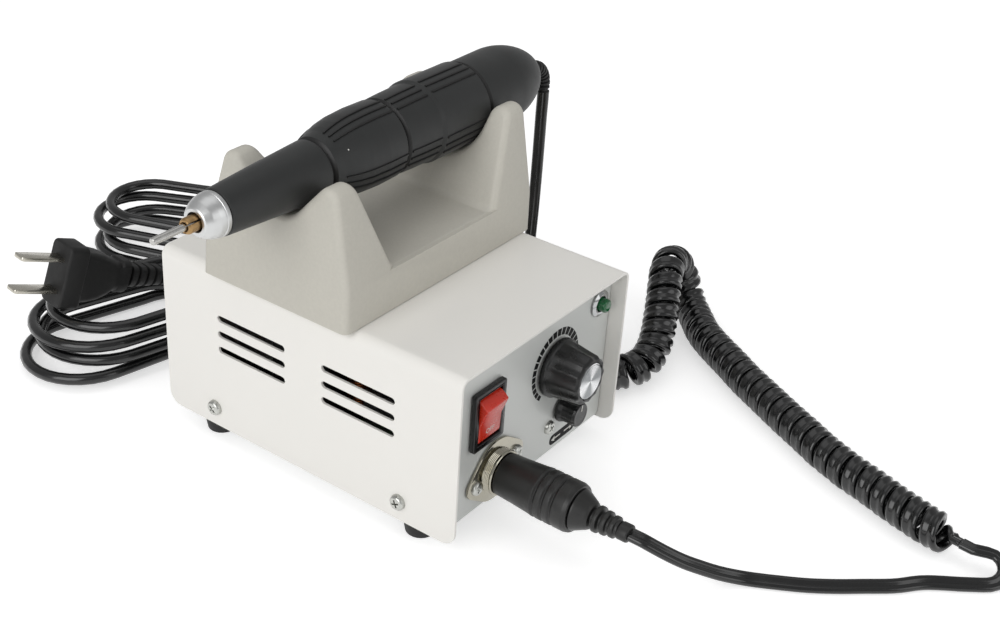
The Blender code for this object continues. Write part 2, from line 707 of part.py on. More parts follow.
def make_chassis():
    """Folded tray: base, front and rear panels, side flanges and bosses for the board."""
    t = CHASSIS_SHEET
    outer = CHASSIS_BEND + t
    outline = rounded([(PANEL_Y, 0, outer), (REAR_Y, 0, outer), (REAR_Y, CHASSIS_TOP, 0),
                       (REAR_Y - t, CHASSIS_TOP, 0), (REAR_Y - t, t, CHASSIS_BEND),
                       (PANEL_Y + t, t, CHASSIS_BEND), (PANEL_Y + t, CHASSIS_TOP, 0),
                       (PANEL_Y, CHASSIS_TOP, 0)], 3)
    chassis = add("chassis", extruded(outline, -CHASSIS_HALF, CHASSIS_HALF, "YZ"), panel_paint())
    joined = []
    for side in (-1, 1):
        flange = rounded([(-FLANGE_LENGTH / 2, t / 2, 0), (FLANGE_LENGTH / 2, t / 2, 0),
                          (FLANGE_LENGTH / 2, FLANGE_HEIGHT, t), (-FLANGE_LENGTH / 2, FLANGE_HEIGHT, t)], 2)
        edges = sorted((side * CHASSIS_HALF, side * (CHASSIS_HALF - t)))
        joined.append(tool(extruded(flange, edges[0], edges[1], "YZ")))
    for x, y in board_bosses():
        boss = turned(disc(BOARD_BOSS_RADIUS, t / 2, t + BOARD_BOSS_HEIGHT), TINY_STEPS)
        joined.append(tool(boss, (x, y, 0)))
    combined(chassis, joined, "UNION")
    corners = [panel_corner(side) for side in (-1, 1)]
    return combined(chassis, panel_cutters() + flange_cutters() + corners, "DIFFERENCE")


def panel_corner(side):
    """Cutter that rounds the panels' top corner on one side, inside the cover's bend."""
    radius = COVER_BEND - COVER_SHEET
    steps = 3
    middle = CHASSIS_HALF - radius
    arc_points = [(side * (middle + radius * math.cos(a)), CHASSIS_TOP - radius + radius * math.sin(a))
                  for a in (math.pi / 2 * i / steps for i in range(steps + 1))]
    outer = [(side * middle, CHASSIS_TOP + OVERRUN), (side * (CHASSIS_HALF + OVERRUN), CHASSIS_TOP + OVERRUN),
             (side * (CHASSIS_HALF + OVERRUN), CHASSIS_TOP - radius)]
    return tool(extruded(arc_points + outer, PANEL_Y - OVERRUN, REAR_Y + OVERRUN, "XZ"))


def board_bosses():
    """Plan places of the four bosses under the board."""
    x = BOARD_WIDTH / 2 - BOARD_BOSS_INSET
    y = BOARD_DEPTH / 2 - BOARD_BOSS_INSET
    return [(i * x, BOARD_CENTRE_Y + j * y) for i in (-1, 1) for j in (-1, 1)]


def flange_cutters():
    """Screw holes in the side flanges and foot holes in the base."""
    cutters = []
    for y in (-SCREW_Y, SCREW_Y):
        hole = turned(disc(SCREW_RADIUS + SEAT, -CASE_WIDTH / 2, CASE_WIDTH / 2), TINY_STEPS)
        cutters.append(tool(hole, (0, y, SCREW_Z), ALONG_X))
    for x, y in foot_places():
        hole = turned(disc(FOOT_STUD_RADIUS + SEAT, -OVERRUN, CHASSIS_SHEET + OVERRUN), TINY_STEPS)
        cutters.append(tool(hole, (x, y, 0)))
    return cutters


def panel_cutters():
    """Openings in the front and rear panels, each sized from what passes through it."""
    opening = rectangle(SWITCH_BODY_WIDTH / 2 + SEAT, SWITCH_BODY_HEIGHT / 2 + SEAT, 0, 1, ROCKER_X, ROCKER_Z)
    cutters = [tool(extruded(opening, PANEL_Y - OVERRUN, PANEL_Y + CHASSIS_SHEET + OVERRUN, "XZ"))]
    cutters.append(hole_in_panel(POT_BUSH_RADIUS + SEAT, DIAL_X, DIAL_Z))
    cutters.append(hole_in_panel(TURN_BUSH_RADIUS + SEAT, DIRECTION_X, DIRECTION_Z))
    cutters.append(hole_in_panel(LAMP_BARREL_RADIUS + SEAT, LAMP_X, LAMP_Z, MIDDLE_STEPS))
    cutters.append(hole_in_panel(SOCKET_BARREL_RADIUS + SEAT, SOCKET_X, SOCKET_Z, LARGE_STEPS))
    for x, z in socket_screw_places() + [(PANEL_SCREW_X, PANEL_SCREW_Z)]:
        cutters.append(hole_in_panel(SOCKET_SCREW_RADIUS + SEAT, x, z, TINY_STEPS))
    cutters.append(hole_in_panel(GLAND_NECK_RADIUS + SEAT, GLAND_X, GLAND_Z, rear=True))
    cutters.append(hole_in_panel(FUSE_BODY_RADIUS + SEAT, FUSE_X, FUSE_Z, MIDDLE_STEPS, rear=True))
    return cutters


def foot_places():
    return [(x, y) for x in (-FOOT_X, FOOT_X) for y in (-FOOT_Y, FOOT_Y)]


def make_feet():
    """Four tapered rubber feet with studs in the base."""
    for number, (x, y) in enumerate(foot_places(), 1):
        profile = [(0, -FOOT_HEIGHT), (FOOT_RADIUS - FOOT_TAPER * 2, -FOOT_HEIGHT),
                   (FOOT_RADIUS - FOOT_TAPER, -FOOT_HEIGHT + FOOT_TAPER), (FOOT_RADIUS, -SEAT),
                   (FOOT_STUD_RADIUS, -SEAT), (FOOT_STUD_RADIUS, FOOT_STUD_HEIGHT), (0, FOOT_STUD_HEIGHT)]
        add(f"foot_{number}", turned(profile, SMALL_STEPS), black_rubber(), (x, y, 0))


def screw_profile(head_radius, head_height, radius, length):
    """Pan-head screw whose head rests on z = 0."""
    return [(0, -length), (radius, -length), (radius, SEAT), (head_radius, SEAT),
            (head_radius, head_height / 2), (head_radius * SCREW_HEAD_TOP_SHARE, head_height),
            (0, head_height)]


def make_cover_screws():
    """Four screws that hold the cover to the side flanges."""
    number = 0
    for side in (-1, 1):
        for y in (-SCREW_Y, SCREW_Y):
            number += 1
            profile = screw_profile(SCREW_HEAD_RADIUS, SCREW_HEAD_HEIGHT, SCREW_RADIUS, SCREW_LENGTH)
            add(f"cover_screw_{number}", turned(profile, TINY_STEPS), bright_steel(),
                (side * CASE_WIDTH / 2, y, SCREW_Z), (0, side * math.radians(90), 0))


def make_rocker_switch():
    """Bezel and body with a pocket, and the rocker on its pivot pins."""
    frame = add("rocker_frame", extruded(rectangle(BEZEL_WIDTH / 2, BEZEL_HEIGHT / 2, BEZEL_CORNER, 3),
                                         SEAT, SEAT + BEZEL_THICK), black_plastic(),
                on_panel(ROCKER_X, ROCKER_Z), FRONT_FACING)
    body = tool(extruded(rectangle(SWITCH_BODY_WIDTH / 2, SWITCH_BODY_HEIGHT / 2, 0, 1),
                         -SWITCH_BODY_DEPTH, SEAT + BEZEL_THICK / 2), frame.location, FRONT_FACING)
    lugs = []
    for side in (-1, 1):
        lug = rectangle(TERMINAL_WIDTH / 2, TERMINAL_THICK / 2, 0, 1, 0, side * TERMINAL_SPACING / 2)
        blade = extruded(lug, -SWITCH_BODY_DEPTH - TERMINAL_LENGTH, -SWITCH_BODY_DEPTH + TERMINAL_THICK)
        lugs.append(tool(blade, frame.location, FRONT_FACING))
    combined(frame, [body] + lugs, "UNION")
    pocket = tool(extruded(rectangle(ROCKER_WIDTH / 2 + RUN, ROCKER_SWEEP_RADIUS + RUN, 0, 1),
                           -SWITCH_POCKET_DEPTH, BEZEL_THICK + OVERRUN), frame.location, FRONT_FACING)
    pivot = (ROCKER_X, PANEL_Y + ROCKER_PIVOT_DEPTH, ROCKER_Z)
    reach = ROCKER_WIDTH / 2 + ROCKER_PIN_REACH
    bores = turned(disc(ROCKER_PIN_RADIUS + SEAT, -SWITCH_BODY_WIDTH, SWITCH_BODY_WIDTH), TINY_STEPS)
    combined(frame, [pocket, tool(bores, pivot, ALONG_X)], "DIFFERENCE")
    rocker = add("rocker", extruded(rocker_outline(), -ROCKER_WIDTH / 2, ROCKER_WIDTH / 2, "YZ"),
                 switch_red(), pivot, (math.radians(ROCKER_TILT_DEG), 0, 0))
    pins = tool(turned(disc(ROCKER_PIN_RADIUS, -reach, reach), TINY_STEPS), pivot, ALONG_X)
    combined(rocker, [pins], "UNION")


def rocker_outline():
    """Side view of the rocker about its pivot, the front towards -Y: two arcs, a valley and a flat back."""
    steps = 5
    upper = []
    for step in range(steps + 1):
        share = step / steps
        angle = math.radians(ROCKER_FRONT_DEG) * (1 - share) - math.radians(ROCKER_BACK_DEG) * share
        upper.append((-ROCKER_SWEEP_RADIUS * math.sin(angle), ROCKER_SWEEP_RADIUS * math.cos(angle)))
    lower = [(y, -z) for y, z in reversed(upper)]
    return [(-ROCKER_VALLEY, 0)] + upper + lower


def make_speed_control():
    """Potentiometer with its bush and nut, the fluted knob pressed on its shaft and the knob's metal cap."""
    place = on_panel(DIAL_X, DIAL_Z)
    back = -CHASSIS_SHEET - SEAT
    bore = POT_SHAFT_RADIUS + SEAT
    bore_low = back - POT_BODY_DEPTH / 2
    body = [(0, bore_low), (bore, bore_low), (bore, SEAT + POT_NUT_THICK),
            (POT_NUT_RADIUS, SEAT + POT_NUT_THICK), (POT_NUT_RADIUS, SEAT), (POT_BUSH_RADIUS, SEAT),
            (POT_BUSH_RADIUS, back), (POT_BODY_RADIUS, back), (POT_BODY_RADIUS, back - POT_BODY_DEPTH),
            (0, back - POT_BODY_DEPTH)]
    pot = add("potentiometer", turned(body, SMALL_STEPS), aluminium(), place, FRONT_FACING)
    lug = rectangle(POT_BODY_RADIUS * POT_LUG_WIDTH_SHARE, POT_LUG_DEPTH / 2, 0, 1, 0, -POT_BODY_RADIUS)
    low, high = [back - POT_BODY_DEPTH * share for share in POT_LUG_SHARES]
    combined(pot, [tool(extruded(lug, low, high), place, FRONT_FACING)], "UNION")
    shaft_low = bore_low + SEAT
    nut_room = POT_NUT_RADIUS + RUN
    nut_top = SEAT + POT_NUT_THICK + RUN
    cap_floor = KNOB_LENGTH - KNOB_CAP_THICK - SEAT
    profile = [(0, shaft_low), (POT_SHAFT_RADIUS, shaft_low), (POT_SHAFT_RADIUS, nut_top), (nut_room, nut_top),
               (nut_room, KNOB_STANDOFF), (KNOB_SKIRT_RADIUS, KNOB_STANDOFF),
               (KNOB_SKIRT_RADIUS, KNOB_STANDOFF + KNOB_SKIRT_THICK),
               (KNOB_SKIRT_RADIUS - KNOB_GROOVE, KNOB_STANDOFF + KNOB_SKIRT_THICK + KNOB_GROOVE),
               (KNOB_FRONT_RADIUS, KNOB_LENGTH - KNOB_GROOVE), (KNOB_FRONT_RADIUS - KNOB_GROOVE, KNOB_LENGTH),
               (KNOB_CAP_RADIUS + SEAT, KNOB_LENGTH), (KNOB_CAP_RADIUS + SEAT, cap_floor), (0, cap_floor)]
    steps = KNOB_FLUTES * 2
    bm = turned(profile, steps)
    grip_low = KNOB_STANDOFF + KNOB_SKIRT_THICK + WELD
    for vert in bm.verts:
        radius = math.hypot(vert.co.x, vert.co.y)
        line = round(math.atan2(vert.co.y, vert.co.x) / math.tau * steps) % steps
        if line % 2 and radius > KNOB_CAP_RADIUS + SEAT * 2 and vert.co.z > grip_low:
            vert.co.xy *= (radius - KNOB_GROOVE) / radius
    add("speed_knob", bm, black_plastic(), place, FRONT_FACING)
    cap = [(0, cap_floor + SEAT), (KNOB_CAP_RADIUS, cap_floor + SEAT),
           (KNOB_CAP_RADIUS, KNOB_LENGTH - SEAT), (KNOB_CAP_RADIUS - SEAT, KNOB_LENGTH), (0, KNOB_LENGTH)]
    add("speed_knob_cap", turned(cap, MIDDLE_STEPS), aluminium(), place, FRONT_FACING)


def make_direction_control():
    """Rotary switch behind the panel and its small waisted knob with the shaft moulded in."""
    place = on_panel(DIRECTION_X, DIRECTION_Z)
    back = -CHASSIS_SHEET - SEAT
    body = [(0, back - TURN_BODY_DEPTH), (TURN_BODY_RADIUS, back - TURN_BODY_DEPTH), (TURN_BODY_RADIUS, back),
            (TURN_BUSH_RADIUS, back), (TURN_BUSH_RADIUS, SEAT), (TURN_SHAFT_RADIUS + SEAT, SEAT),
            (TURN_SHAFT_RADIUS + SEAT, back - TURN_BODY_DEPTH / 2), (0, back - TURN_BODY_DEPTH / 2)]
    add("direction_switch", turned(body, SMALL_STEPS), black_plastic(), place, FRONT_FACING)
    shaft_low = back - TURN_BODY_DEPTH / 2 + SEAT
    waist = TURN_KNOB_RADIUS - TURN_KNOB_WAIST
    middle = TURN_KNOB_STANDOFF + (TURN_KNOB_LENGTH - TURN_KNOB_STANDOFF) * TURN_KNOB_WAIST_SHARE
    knob = [(0, shaft_low), (TURN_SHAFT_RADIUS, shaft_low),
            (TURN_SHAFT_RADIUS, TURN_KNOB_STANDOFF), (TURN_KNOB_RADIUS, TURN_KNOB_STANDOFF),
            (TURN_KNOB_RADIUS, TURN_KNOB_STANDOFF + TURN_KNOB_SKIRT), (waist, middle),
            (TURN_KNOB_RADIUS - TURN_KNOB_WAIST / 2, TURN_KNOB_LENGTH - TURN_KNOB_WAIST),
            (waist, TURN_KNOB_LENGTH), (0, TURN_KNOB_LENGTH)]
    add("direction_knob", turned(knob, MIDDLE_STEPS), black_plastic(), place, FRONT_FACING)


def make_pilot_lamp():
    """Chromed bezel with a threaded barrel, and the green lens in it."""
    place = on_panel(LAMP_X, LAMP_Z)
    bore = LENS_RADIUS + SEAT
    rim_bore = LENS_RIM_RADIUS + SEAT
    bezel = [(bore, SEAT + LAMP_BEZEL_THICK), (LAMP_BARREL_RADIUS, SEAT + LAMP_BEZEL_THICK),
             (LAMP_BEZEL_RADIUS, SEAT + LAMP_BEZEL_THICK / 2), (LAMP_BEZEL_RADIUS, SEAT),
             (LAMP_BARREL_RADIUS, SEAT), (LAMP_BARREL_RADIUS, -LAMP_BARREL_DEPTH),
             (rim_bore, -LAMP_BARREL_DEPTH), (rim_bore, -LENS_RIM_THICK), (bore, -LENS_RIM_THICK)]
    add("lamp_bezel", turned(bezel, MIDDLE_STEPS, ring=True), bright_steel(), place, FRONT_FACING)
    top = SEAT + LAMP_BEZEL_THICK + LENS_PROUD
    shoulder = -LENS_RIM_THICK - SEAT
    lens = [(0, -LENS_DEPTH), (LENS_RIM_RADIUS, -LENS_DEPTH), (LENS_RIM_RADIUS, shoulder),
            (LENS_RADIUS, shoulder)]
    dome_steps = 3
    for step in range(dome_steps + 1):
        angle = math.pi / 2 * step / dome_steps
        lens.append((LENS_RADIUS * math.cos(angle), top - LENS_RADIUS * (1 - math.sin(angle))))
    add("lamp_lens", turned(lens, SMALL_STEPS), lens_green(), place, FRONT_FACING)


def socket_screw_places():
    turn = math.radians(SOCKET_TURN_DEG)
    reach = SOCKET_SCREW_SPACING / 2
    return [(SOCKET_X + side * reach * math.cos(turn), SOCKET_Z + side * reach * math.sin(turn))
            for side in (-1, 1)]


def flange_outline():
    """Rhombic flange: a middle circle and two ear circles, joined by their outer tangents."""
    reach = SOCKET_SCREW_SPACING / 2
    lean = math.acos((SOCKET_FLANGE_RADIUS - SOCKET_EAR_RADIUS) / reach)
    steps = 5
    points = []
    for side in (0, math.pi):
        ear = Vector((reach * math.cos(side), reach * math.sin(side)))
        for step in range(steps + 1):
            angle = side - lean + 2 * lean * step / steps
            points.append(ear + SOCKET_EAR_RADIUS * Vector((math.cos(angle), math.sin(angle))))
        for step in range(steps + 1):
            angle = side + lean + (math.pi - 2 * lean) * step / steps
            points.append(SOCKET_FLANGE_RADIUS * Vector((math.cos(angle), math.sin(angle))))
    return points


def make_socket():
    """Chromed flange and barrel of the round socket, its insert and its two screws."""
    place = on_panel(SOCKET_X, SOCKET_Z)
    turned_place = (math.radians(90), -math.radians(SOCKET_TURN_DEG), 0)
    shell = add("socket_shell", extruded(flange_outline(), SEAT, SEAT + SOCKET_FLANGE_THICK), bright_steel(),
                place, turned_place)
    barrel = tool(turned(disc(SOCKET_BARREL_RADIUS, -SOCKET_BARREL_DEPTH, SOCKET_BARREL_PROUD), LARGE_STEPS),
                  place, turned_place)
    combined(shell, [barrel], "UNION")
    floor = -SOCKET_BARREL_DEPTH + CHASSIS_SHEET
    bore = tool(turned(disc(SOCKET_BORE_RADIUS, floor, SOCKET_BARREL_PROUD + OVERRUN), LARGE_STEPS),
                place, turned_place)
    stem = tool(turned(disc(SOCKET_INSERT_STEM + SEAT, -SOCKET_BARREL_DEPTH - OVERRUN, 0), SMALL_STEPS),
                place, FRONT_FACING)
    cutters = [bore, stem]
    for x, z in socket_screw_places():
        cutters.append(hole_in_panel(SOCKET_SCREW_RADIUS + SEAT, x, z, TINY_STEPS))
    combined(shell, cutters, "DIFFERENCE")
    low = floor + SEAT
    back = -SOCKET_BARREL_DEPTH - PLUG_SHELL_IN_SOCKET
    insert = [(0, back), (SOCKET_INSERT_STEM, back), (SOCKET_INSERT_STEM, low), (SOCKET_INSERT_RADIUS, low),
              (SOCKET_INSERT_RADIUS, 0), (0, 0)]
    add("socket_insert", turned(insert, SMALL_STEPS), black_plastic(), place, FRONT_FACING)
    screw = screw_profile(SOCKET_SCREW_HEAD_RADIUS, PANEL_HEAD_HEIGHT, SOCKET_SCREW_RADIUS, SCREW_LENGTH)
    for number, (x, z) in enumerate(socket_screw_places(), 1):
        base = (x, PANEL_Y - SEAT - SOCKET_FLANGE_THICK, z)
        add(f"socket_screw_{number}", turned(screw, TINY_STEPS), bright_steel(), base, FRONT_FACING)
    add("panel_screw", turned(screw, TINY_STEPS), bright_steel(), on_panel(PANEL_SCREW_X, PANEL_SCREW_Z),
        FRONT_FACING)


def make_lead_plug():
    """Plug of the handpiece lead: metal shell, grooved grip and ribbed boot, all in the socket's line."""
    place = on_panel(SOCKET_X, SOCKET_Z)
    start = SOCKET_BARREL_PROUD + SEAT
    shell_low = SOCKET_BARREL_PROUD - PLUG_SHELL_IN_SOCKET
    shell_high = start + PLUG_SHELL_IN_BODY
    shell = washer(PLUG_SHELL_RADIUS - PLUG_SHELL_WALL, PLUG_SHELL_RADIUS, shell_low, shell_high)
    add("plug_shell", turned(shell, MIDDLE_STEPS, ring=True), bright_steel(), place, FRONT_FACING)
    end = start + PLUG_BODY_LENGTH
    swell = start + PLUG_BODY_LENGTH * PLUG_SWELL_SHARE
    bore = PLUG_SHELL_RADIUS + SEAT
    profile = [(0, shell_high + SEAT), (bore, shell_high + SEAT), (bore, start), (PLUG_MOUTH_RADIUS, start),
               (PLUG_GRIP_RADIUS - PLUG_GROOVE, swell)]
    for groove in range(PLUG_GROOVES):
        low = swell + PLUG_GROOVE_WIDTH + groove * PLUG_GROOVE_PITCH
        profile += [(PLUG_GRIP_RADIUS, low), (PLUG_GRIP_RADIUS - PLUG_GROOVE, low + PLUG_GROOVE_WIDTH / 2),
                    (PLUG_GRIP_RADIUS, low + PLUG_GROOVE_WIDTH)]
    profile += [(PLUG_GRIP_RADIUS, end - PLUG_GROOVE_WIDTH), (PLUG_SHOULDER_RADIUS, end),
                (BOOT_SPIGOT_RADIUS + SEAT, end), (BOOT_SPIGOT_RADIUS + SEAT, end - BOOT_SPIGOT_LENGTH - SEAT),
                (0, end - BOOT_SPIGOT_LENGTH - SEAT)]
    add("plug_body", turned(profile, LARGE_STEPS), black_plastic(), place, FRONT_FACING)
    base = end + SEAT
    cone_top = base + BOOT_CONE_LENGTH
    boot = [(0, end - BOOT_SPIGOT_LENGTH), (BOOT_SPIGOT_RADIUS, end - BOOT_SPIGOT_LENGTH),
            (BOOT_SPIGOT_RADIUS, base), (BOOT_CONE_RADIUS, base), (BOOT_NECK_RADIUS, cone_top)]
    along = cone_top
    for radius in BOOT_RIB_RADII:
        boot += [(BOOT_CORE_RADIUS, along), (BOOT_CORE_RADIUS, along + BOOT_RIB_GAP),
                 (radius, along + BOOT_RIB_GAP), (radius, along + BOOT_RIB_GAP + BOOT_RIB_WIDTH)]
        along += BOOT_RIB_GAP + BOOT_RIB_WIDTH
    boot += [(BOOT_CORE_RADIUS, along), (BOOT_CORE_RADIUS, along + BOOT_RIB_GAP),
             (BOOT_END_RADIUS, along + BOOT_RIB_GAP), (BOOT_END_RADIUS, along + BOOT_RIB_GAP + BOOT_END_LENGTH),
             (0, along + BOOT_RIB_GAP + BOOT_END_LENGTH)]
    add("plug_boot", turned(boot, SMALL_STEPS), black_rubber(), place, FRONT_FACING)
    return along + BOOT_RIB_GAP + BOOT_END_LENGTH


def make_rear_fittings():
    """Mains gland with its tapered strain relief, and the fuse holder."""
    place = (GLAND_X, REAR_Y, GLAND_Z)
    tip = SEAT + GLAND_THICK + GLAND_RELIEF_LENGTH
    inner = -CHASSIS_SHEET - SEAT
    gland = [(0, inner - GLAND_COLLAR_DEPTH), (GLAND_RADIUS - SEAT, inner - GLAND_COLLAR_DEPTH),
             (GLAND_RADIUS - SEAT, inner), (GLAND_NECK_RADIUS, inner), (GLAND_NECK_RADIUS, SEAT),
             (GLAND_RADIUS, SEAT), (GLAND_RADIUS, SEAT + GLAND_THICK),
             (GLAND_NECK_RADIUS, SEAT + GLAND_THICK)]
    for rib in range(GLAND_RIBS):
        low, high = [SEAT + GLAND_THICK + GLAND_RELIEF_LENGTH * (rib + share) / GLAND_RIBS
                     for share in GLAND_RIB_SHARES]
        radius = GLAND_NECK_RADIUS + (GLAND_TIP_RADIUS - GLAND_NECK_RADIUS) * (rib + 1) / GLAND_RIBS
        gland += [(radius - RELIEF_RIB, low), (radius - RELIEF_RIB, high), (radius, high)]
    gland += [(GLAND_TIP_RADIUS, tip), (0, tip)]
    add("mains_gland", turned(gland, SMALL_STEPS), black_rubber(), place, REAR_FACING)
    rim = SEAT + FUSE_FLANGE_THICK
    cap = rim + FUSE_CAP_THICK
    thin, full = FUSE_TAPER_SHARES
    face, edge = FUSE_CAP_SHARES
    holder = [(0, -FUSE_BODY_DEPTH), (FUSE_BODY_RADIUS * thin, -FUSE_BODY_DEPTH),
              (FUSE_BODY_RADIUS, -FUSE_BODY_DEPTH * full), (FUSE_BODY_RADIUS, SEAT),
              (FUSE_FLANGE_RADIUS, SEAT), (FUSE_FLANGE_RADIUS, rim), (FUSE_CAP_RADIUS, rim),
              (FUSE_CAP_RADIUS, cap - FUSE_CAP_THICK * edge), (FUSE_CAP_RADIUS * face, cap), (0, cap)]
    add("fuse_holder", turned(holder, MIDDLE_STEPS), black_plastic(), (FUSE_X, REAR_Y, FUSE_Z), REAR_FACING)


def make_inner_parts():
    """Control board with its capacitor and heat sink, and the mains transformer."""
    base = CHASSIS_SHEET + BOARD_BOSS_HEIGHT + SEAT
    top = base + BOARD_THICK + SEAT
    board = rectangle(BOARD_WIDTH / 2, BOARD_DEPTH / 2, BOARD_THICK, 2, 0, BOARD_CENTRE_Y)
    add("circuit_board", extruded(board, base, base + BOARD_THICK), board_green(), smooth=False)
    top_radius = CAPACITOR_RADIUS - CAPACITOR_RIM
    can = [(0, 0), (top_radius, 0), (CAPACITOR_RADIUS, CAPACITOR_RIM),
           (CAPACITOR_RADIUS, CAPACITOR_HEIGHT - CAPACITOR_RIM), (top_radius, CAPACITOR_HEIGHT),
           (0, CAPACITOR_HEIGHT)]
    add("capacitor", turned(can, MIDDLE_STEPS), capacitor_sleeve(),
        (CAPACITOR_X, BOARD_CENTRE_Y + CAPACITOR_BACKSET, top))
    fins = extruded(heat_sink_outline(), -HEATSINK_DEPTH / 2, HEATSINK_DEPTH / 2, "XZ")
    add("heat_sink", fins, aluminium(), (HEATSINK_X, BOARD_CENTRE_Y + HEATSINK_BACKSET, top), smooth=False)
    make_transformer()


def heat_sink_outline():
    """Comb of upright fins on a base."""
    half = HEATSINK_WIDTH / 2
    pitch = (HEATSINK_WIDTH - HEATSINK_FIN) / (HEATSINK_FINS - 1)
    points = [(-half, 0), (half, 0)]
    for fin in reversed(range(HEATSINK_FINS)):
        left = -half + fin * pitch
        right = left + HEATSINK_FIN
        points += [(right, HEATSINK_HEIGHT), (left, HEATSINK_HEIGHT)]
        if fin:
            points += [(left, HEATSINK_BASE), (left - pitch + HEATSINK_FIN, HEATSINK_BASE)]
    return points


def make_transformer():
    """Laminated core with feet on the base, and the winding round its middle limb."""
    z = CHASSIS_SHEET + SEAT
    limb = CORE_LIMB
    window = (CORE_WIDTH - 4 * limb) / 2
    low = CORE_CENTRE_Y - CORE_STACK / 2
    high = CORE_CENTRE_Y + CORE_STACK / 2
    block = rectangle(CORE_WIDTH / 2, CORE_HEIGHT / 2, 0, 1, CORE_CENTRE_X, z + CORE_HEIGHT / 2)
    core = add("transformer_core", extruded(block, low, high, "XZ"), core_steel(), smooth=False)
    feet = []
    for side in (-1, 1):
        strip = rectangle(CORE_WIDTH / 2, CORE_FOOT_WIDTH / 2, 0, 1, CORE_CENTRE_X,
                          CORE_CENTRE_Y + side * CORE_STACK / 2)
        feet.append(tool(extruded(strip, z, z + CORE_FOOT_THICK)))
    combined(core, feet, "UNION")
    windows = []
    for side in (-1, 1):
        hole = rectangle(window / 2, CORE_HEIGHT / 2 - limb, 0, 1, CORE_CENTRE_X + side * (limb + window / 2),
                         z + CORE_HEIGHT / 2)
        windows.append(tool(extruded(hole, low - OVERRUN, high + OVERRUN, "XZ")))
    combined(core, windows, "DIFFERENCE")
    core.data.shade_flat()
    wind_half_x = limb + window - SEAT
    wind_half_y = CORE_STACK / 2 + WINDING_BULGE
    height = CORE_HEIGHT - 2 * limb - 2 * SEAT
    centre_z = z + CORE_HEIGHT / 2
    winding = add("transformer_winding", extruded(rectangle(wind_half_x, wind_half_y, WINDING_BULGE, 3,
                  CORE_CENTRE_X, CORE_CENTRE_Y), centre_z - height / 2, centre_z + height / 2), copper())
    middle = rectangle(limb + SEAT, CORE_STACK / 2 + SEAT, 0, 1, CORE_CENTRE_X, CORE_CENTRE_Y)
    combined(winding, [tool(extruded(middle, centre_z - height, centre_z + height))], "DIFFERENCE")


def saddle_radius(station):
    """Radius of the cradle's round seat, from the handpiece's radius at that station."""
    return hand_radius(station) + SEAT


def hand_radius(station):
    """Largest outer radius of the handpiece where a cradle wall holds it."""
    return NOSE_REAR_RADIUS if station < CHUCK_STATION else MOTOR_RADIUS


def wall_outline(radius):
    """Outline of one cradle wall across the handpiece: two domed posts with a round seat between them."""
    post_z = HAND_Z + CRADLE_POST_RISE
    axis = Vector((HAND_Y, HAND_Z))
    arc_steps = 4
    seat_steps = 7
    front = Vector((HAND_Y - CRADLE_POST_SPREAD, post_z))
    rear = Vector((HAND_Y + CRADLE_POST_SPREAD, post_z))
    points = [Vector((CRADLE_FRONT_Y, CRADLE_BASE)), Vector((CRADLE_FRONT_Y, CRADLE_FLOOR))]
    lean = flank_angle(Vector((CRADLE_FRONT_Y, CRADLE_FLOOR)), front)
    inner = inner_normal(front, axis, radius)
    points += arc(front, CRADLE_POST_RADIUS, lean, inner, arc_steps)
    across = axis - radius * Vector((math.cos(inner), math.sin(inner)))
    start = math.atan2(across.y - axis.y, across.x - axis.x) % math.tau
    points += arc(axis, radius, start, 3 * math.pi - start, seat_steps)
    rear_foot = Vector((CRADLE_REAR_Y - CRADLE_REAR_DRAFT, CRADLE_FLOOR))
    mirrored_foot = Vector((2 * HAND_Y - rear_foot.x, rear_foot.y))
    rear_lean = math.pi - flank_angle(mirrored_foot, front)
    points += arc(rear, CRADLE_POST_RADIUS, math.pi - inner, rear_lean, arc_steps)
    return points + [rear_foot, Vector((CRADLE_REAR_Y, CRADLE_BASE))]


def flank_angle(foot, dome):
    """Angle on the front dome where the outer flank that rises from the foot touches it."""
    reach = foot - dome
    return (math.atan2(reach.y, reach.x) - math.acos(CRADLE_POST_RADIUS / reach.length)) % math.tau


def inner_normal(dome, axis, radius):
    """Direction in which the common tangent of dome and seat faces."""
    reach = axis - dome
    return math.atan2(reach.y, reach.x) + math.acos((radius + CRADLE_POST_RADIUS) / reach.length)


def arc(centre, radius, start, end, steps):
    """Points on an arc, both ends kept."""
    return [centre + radius * Vector((math.cos(start + (end - start) * i / steps),
                                      math.sin(start + (end - start) * i / steps))) for i in range(steps + 1)]


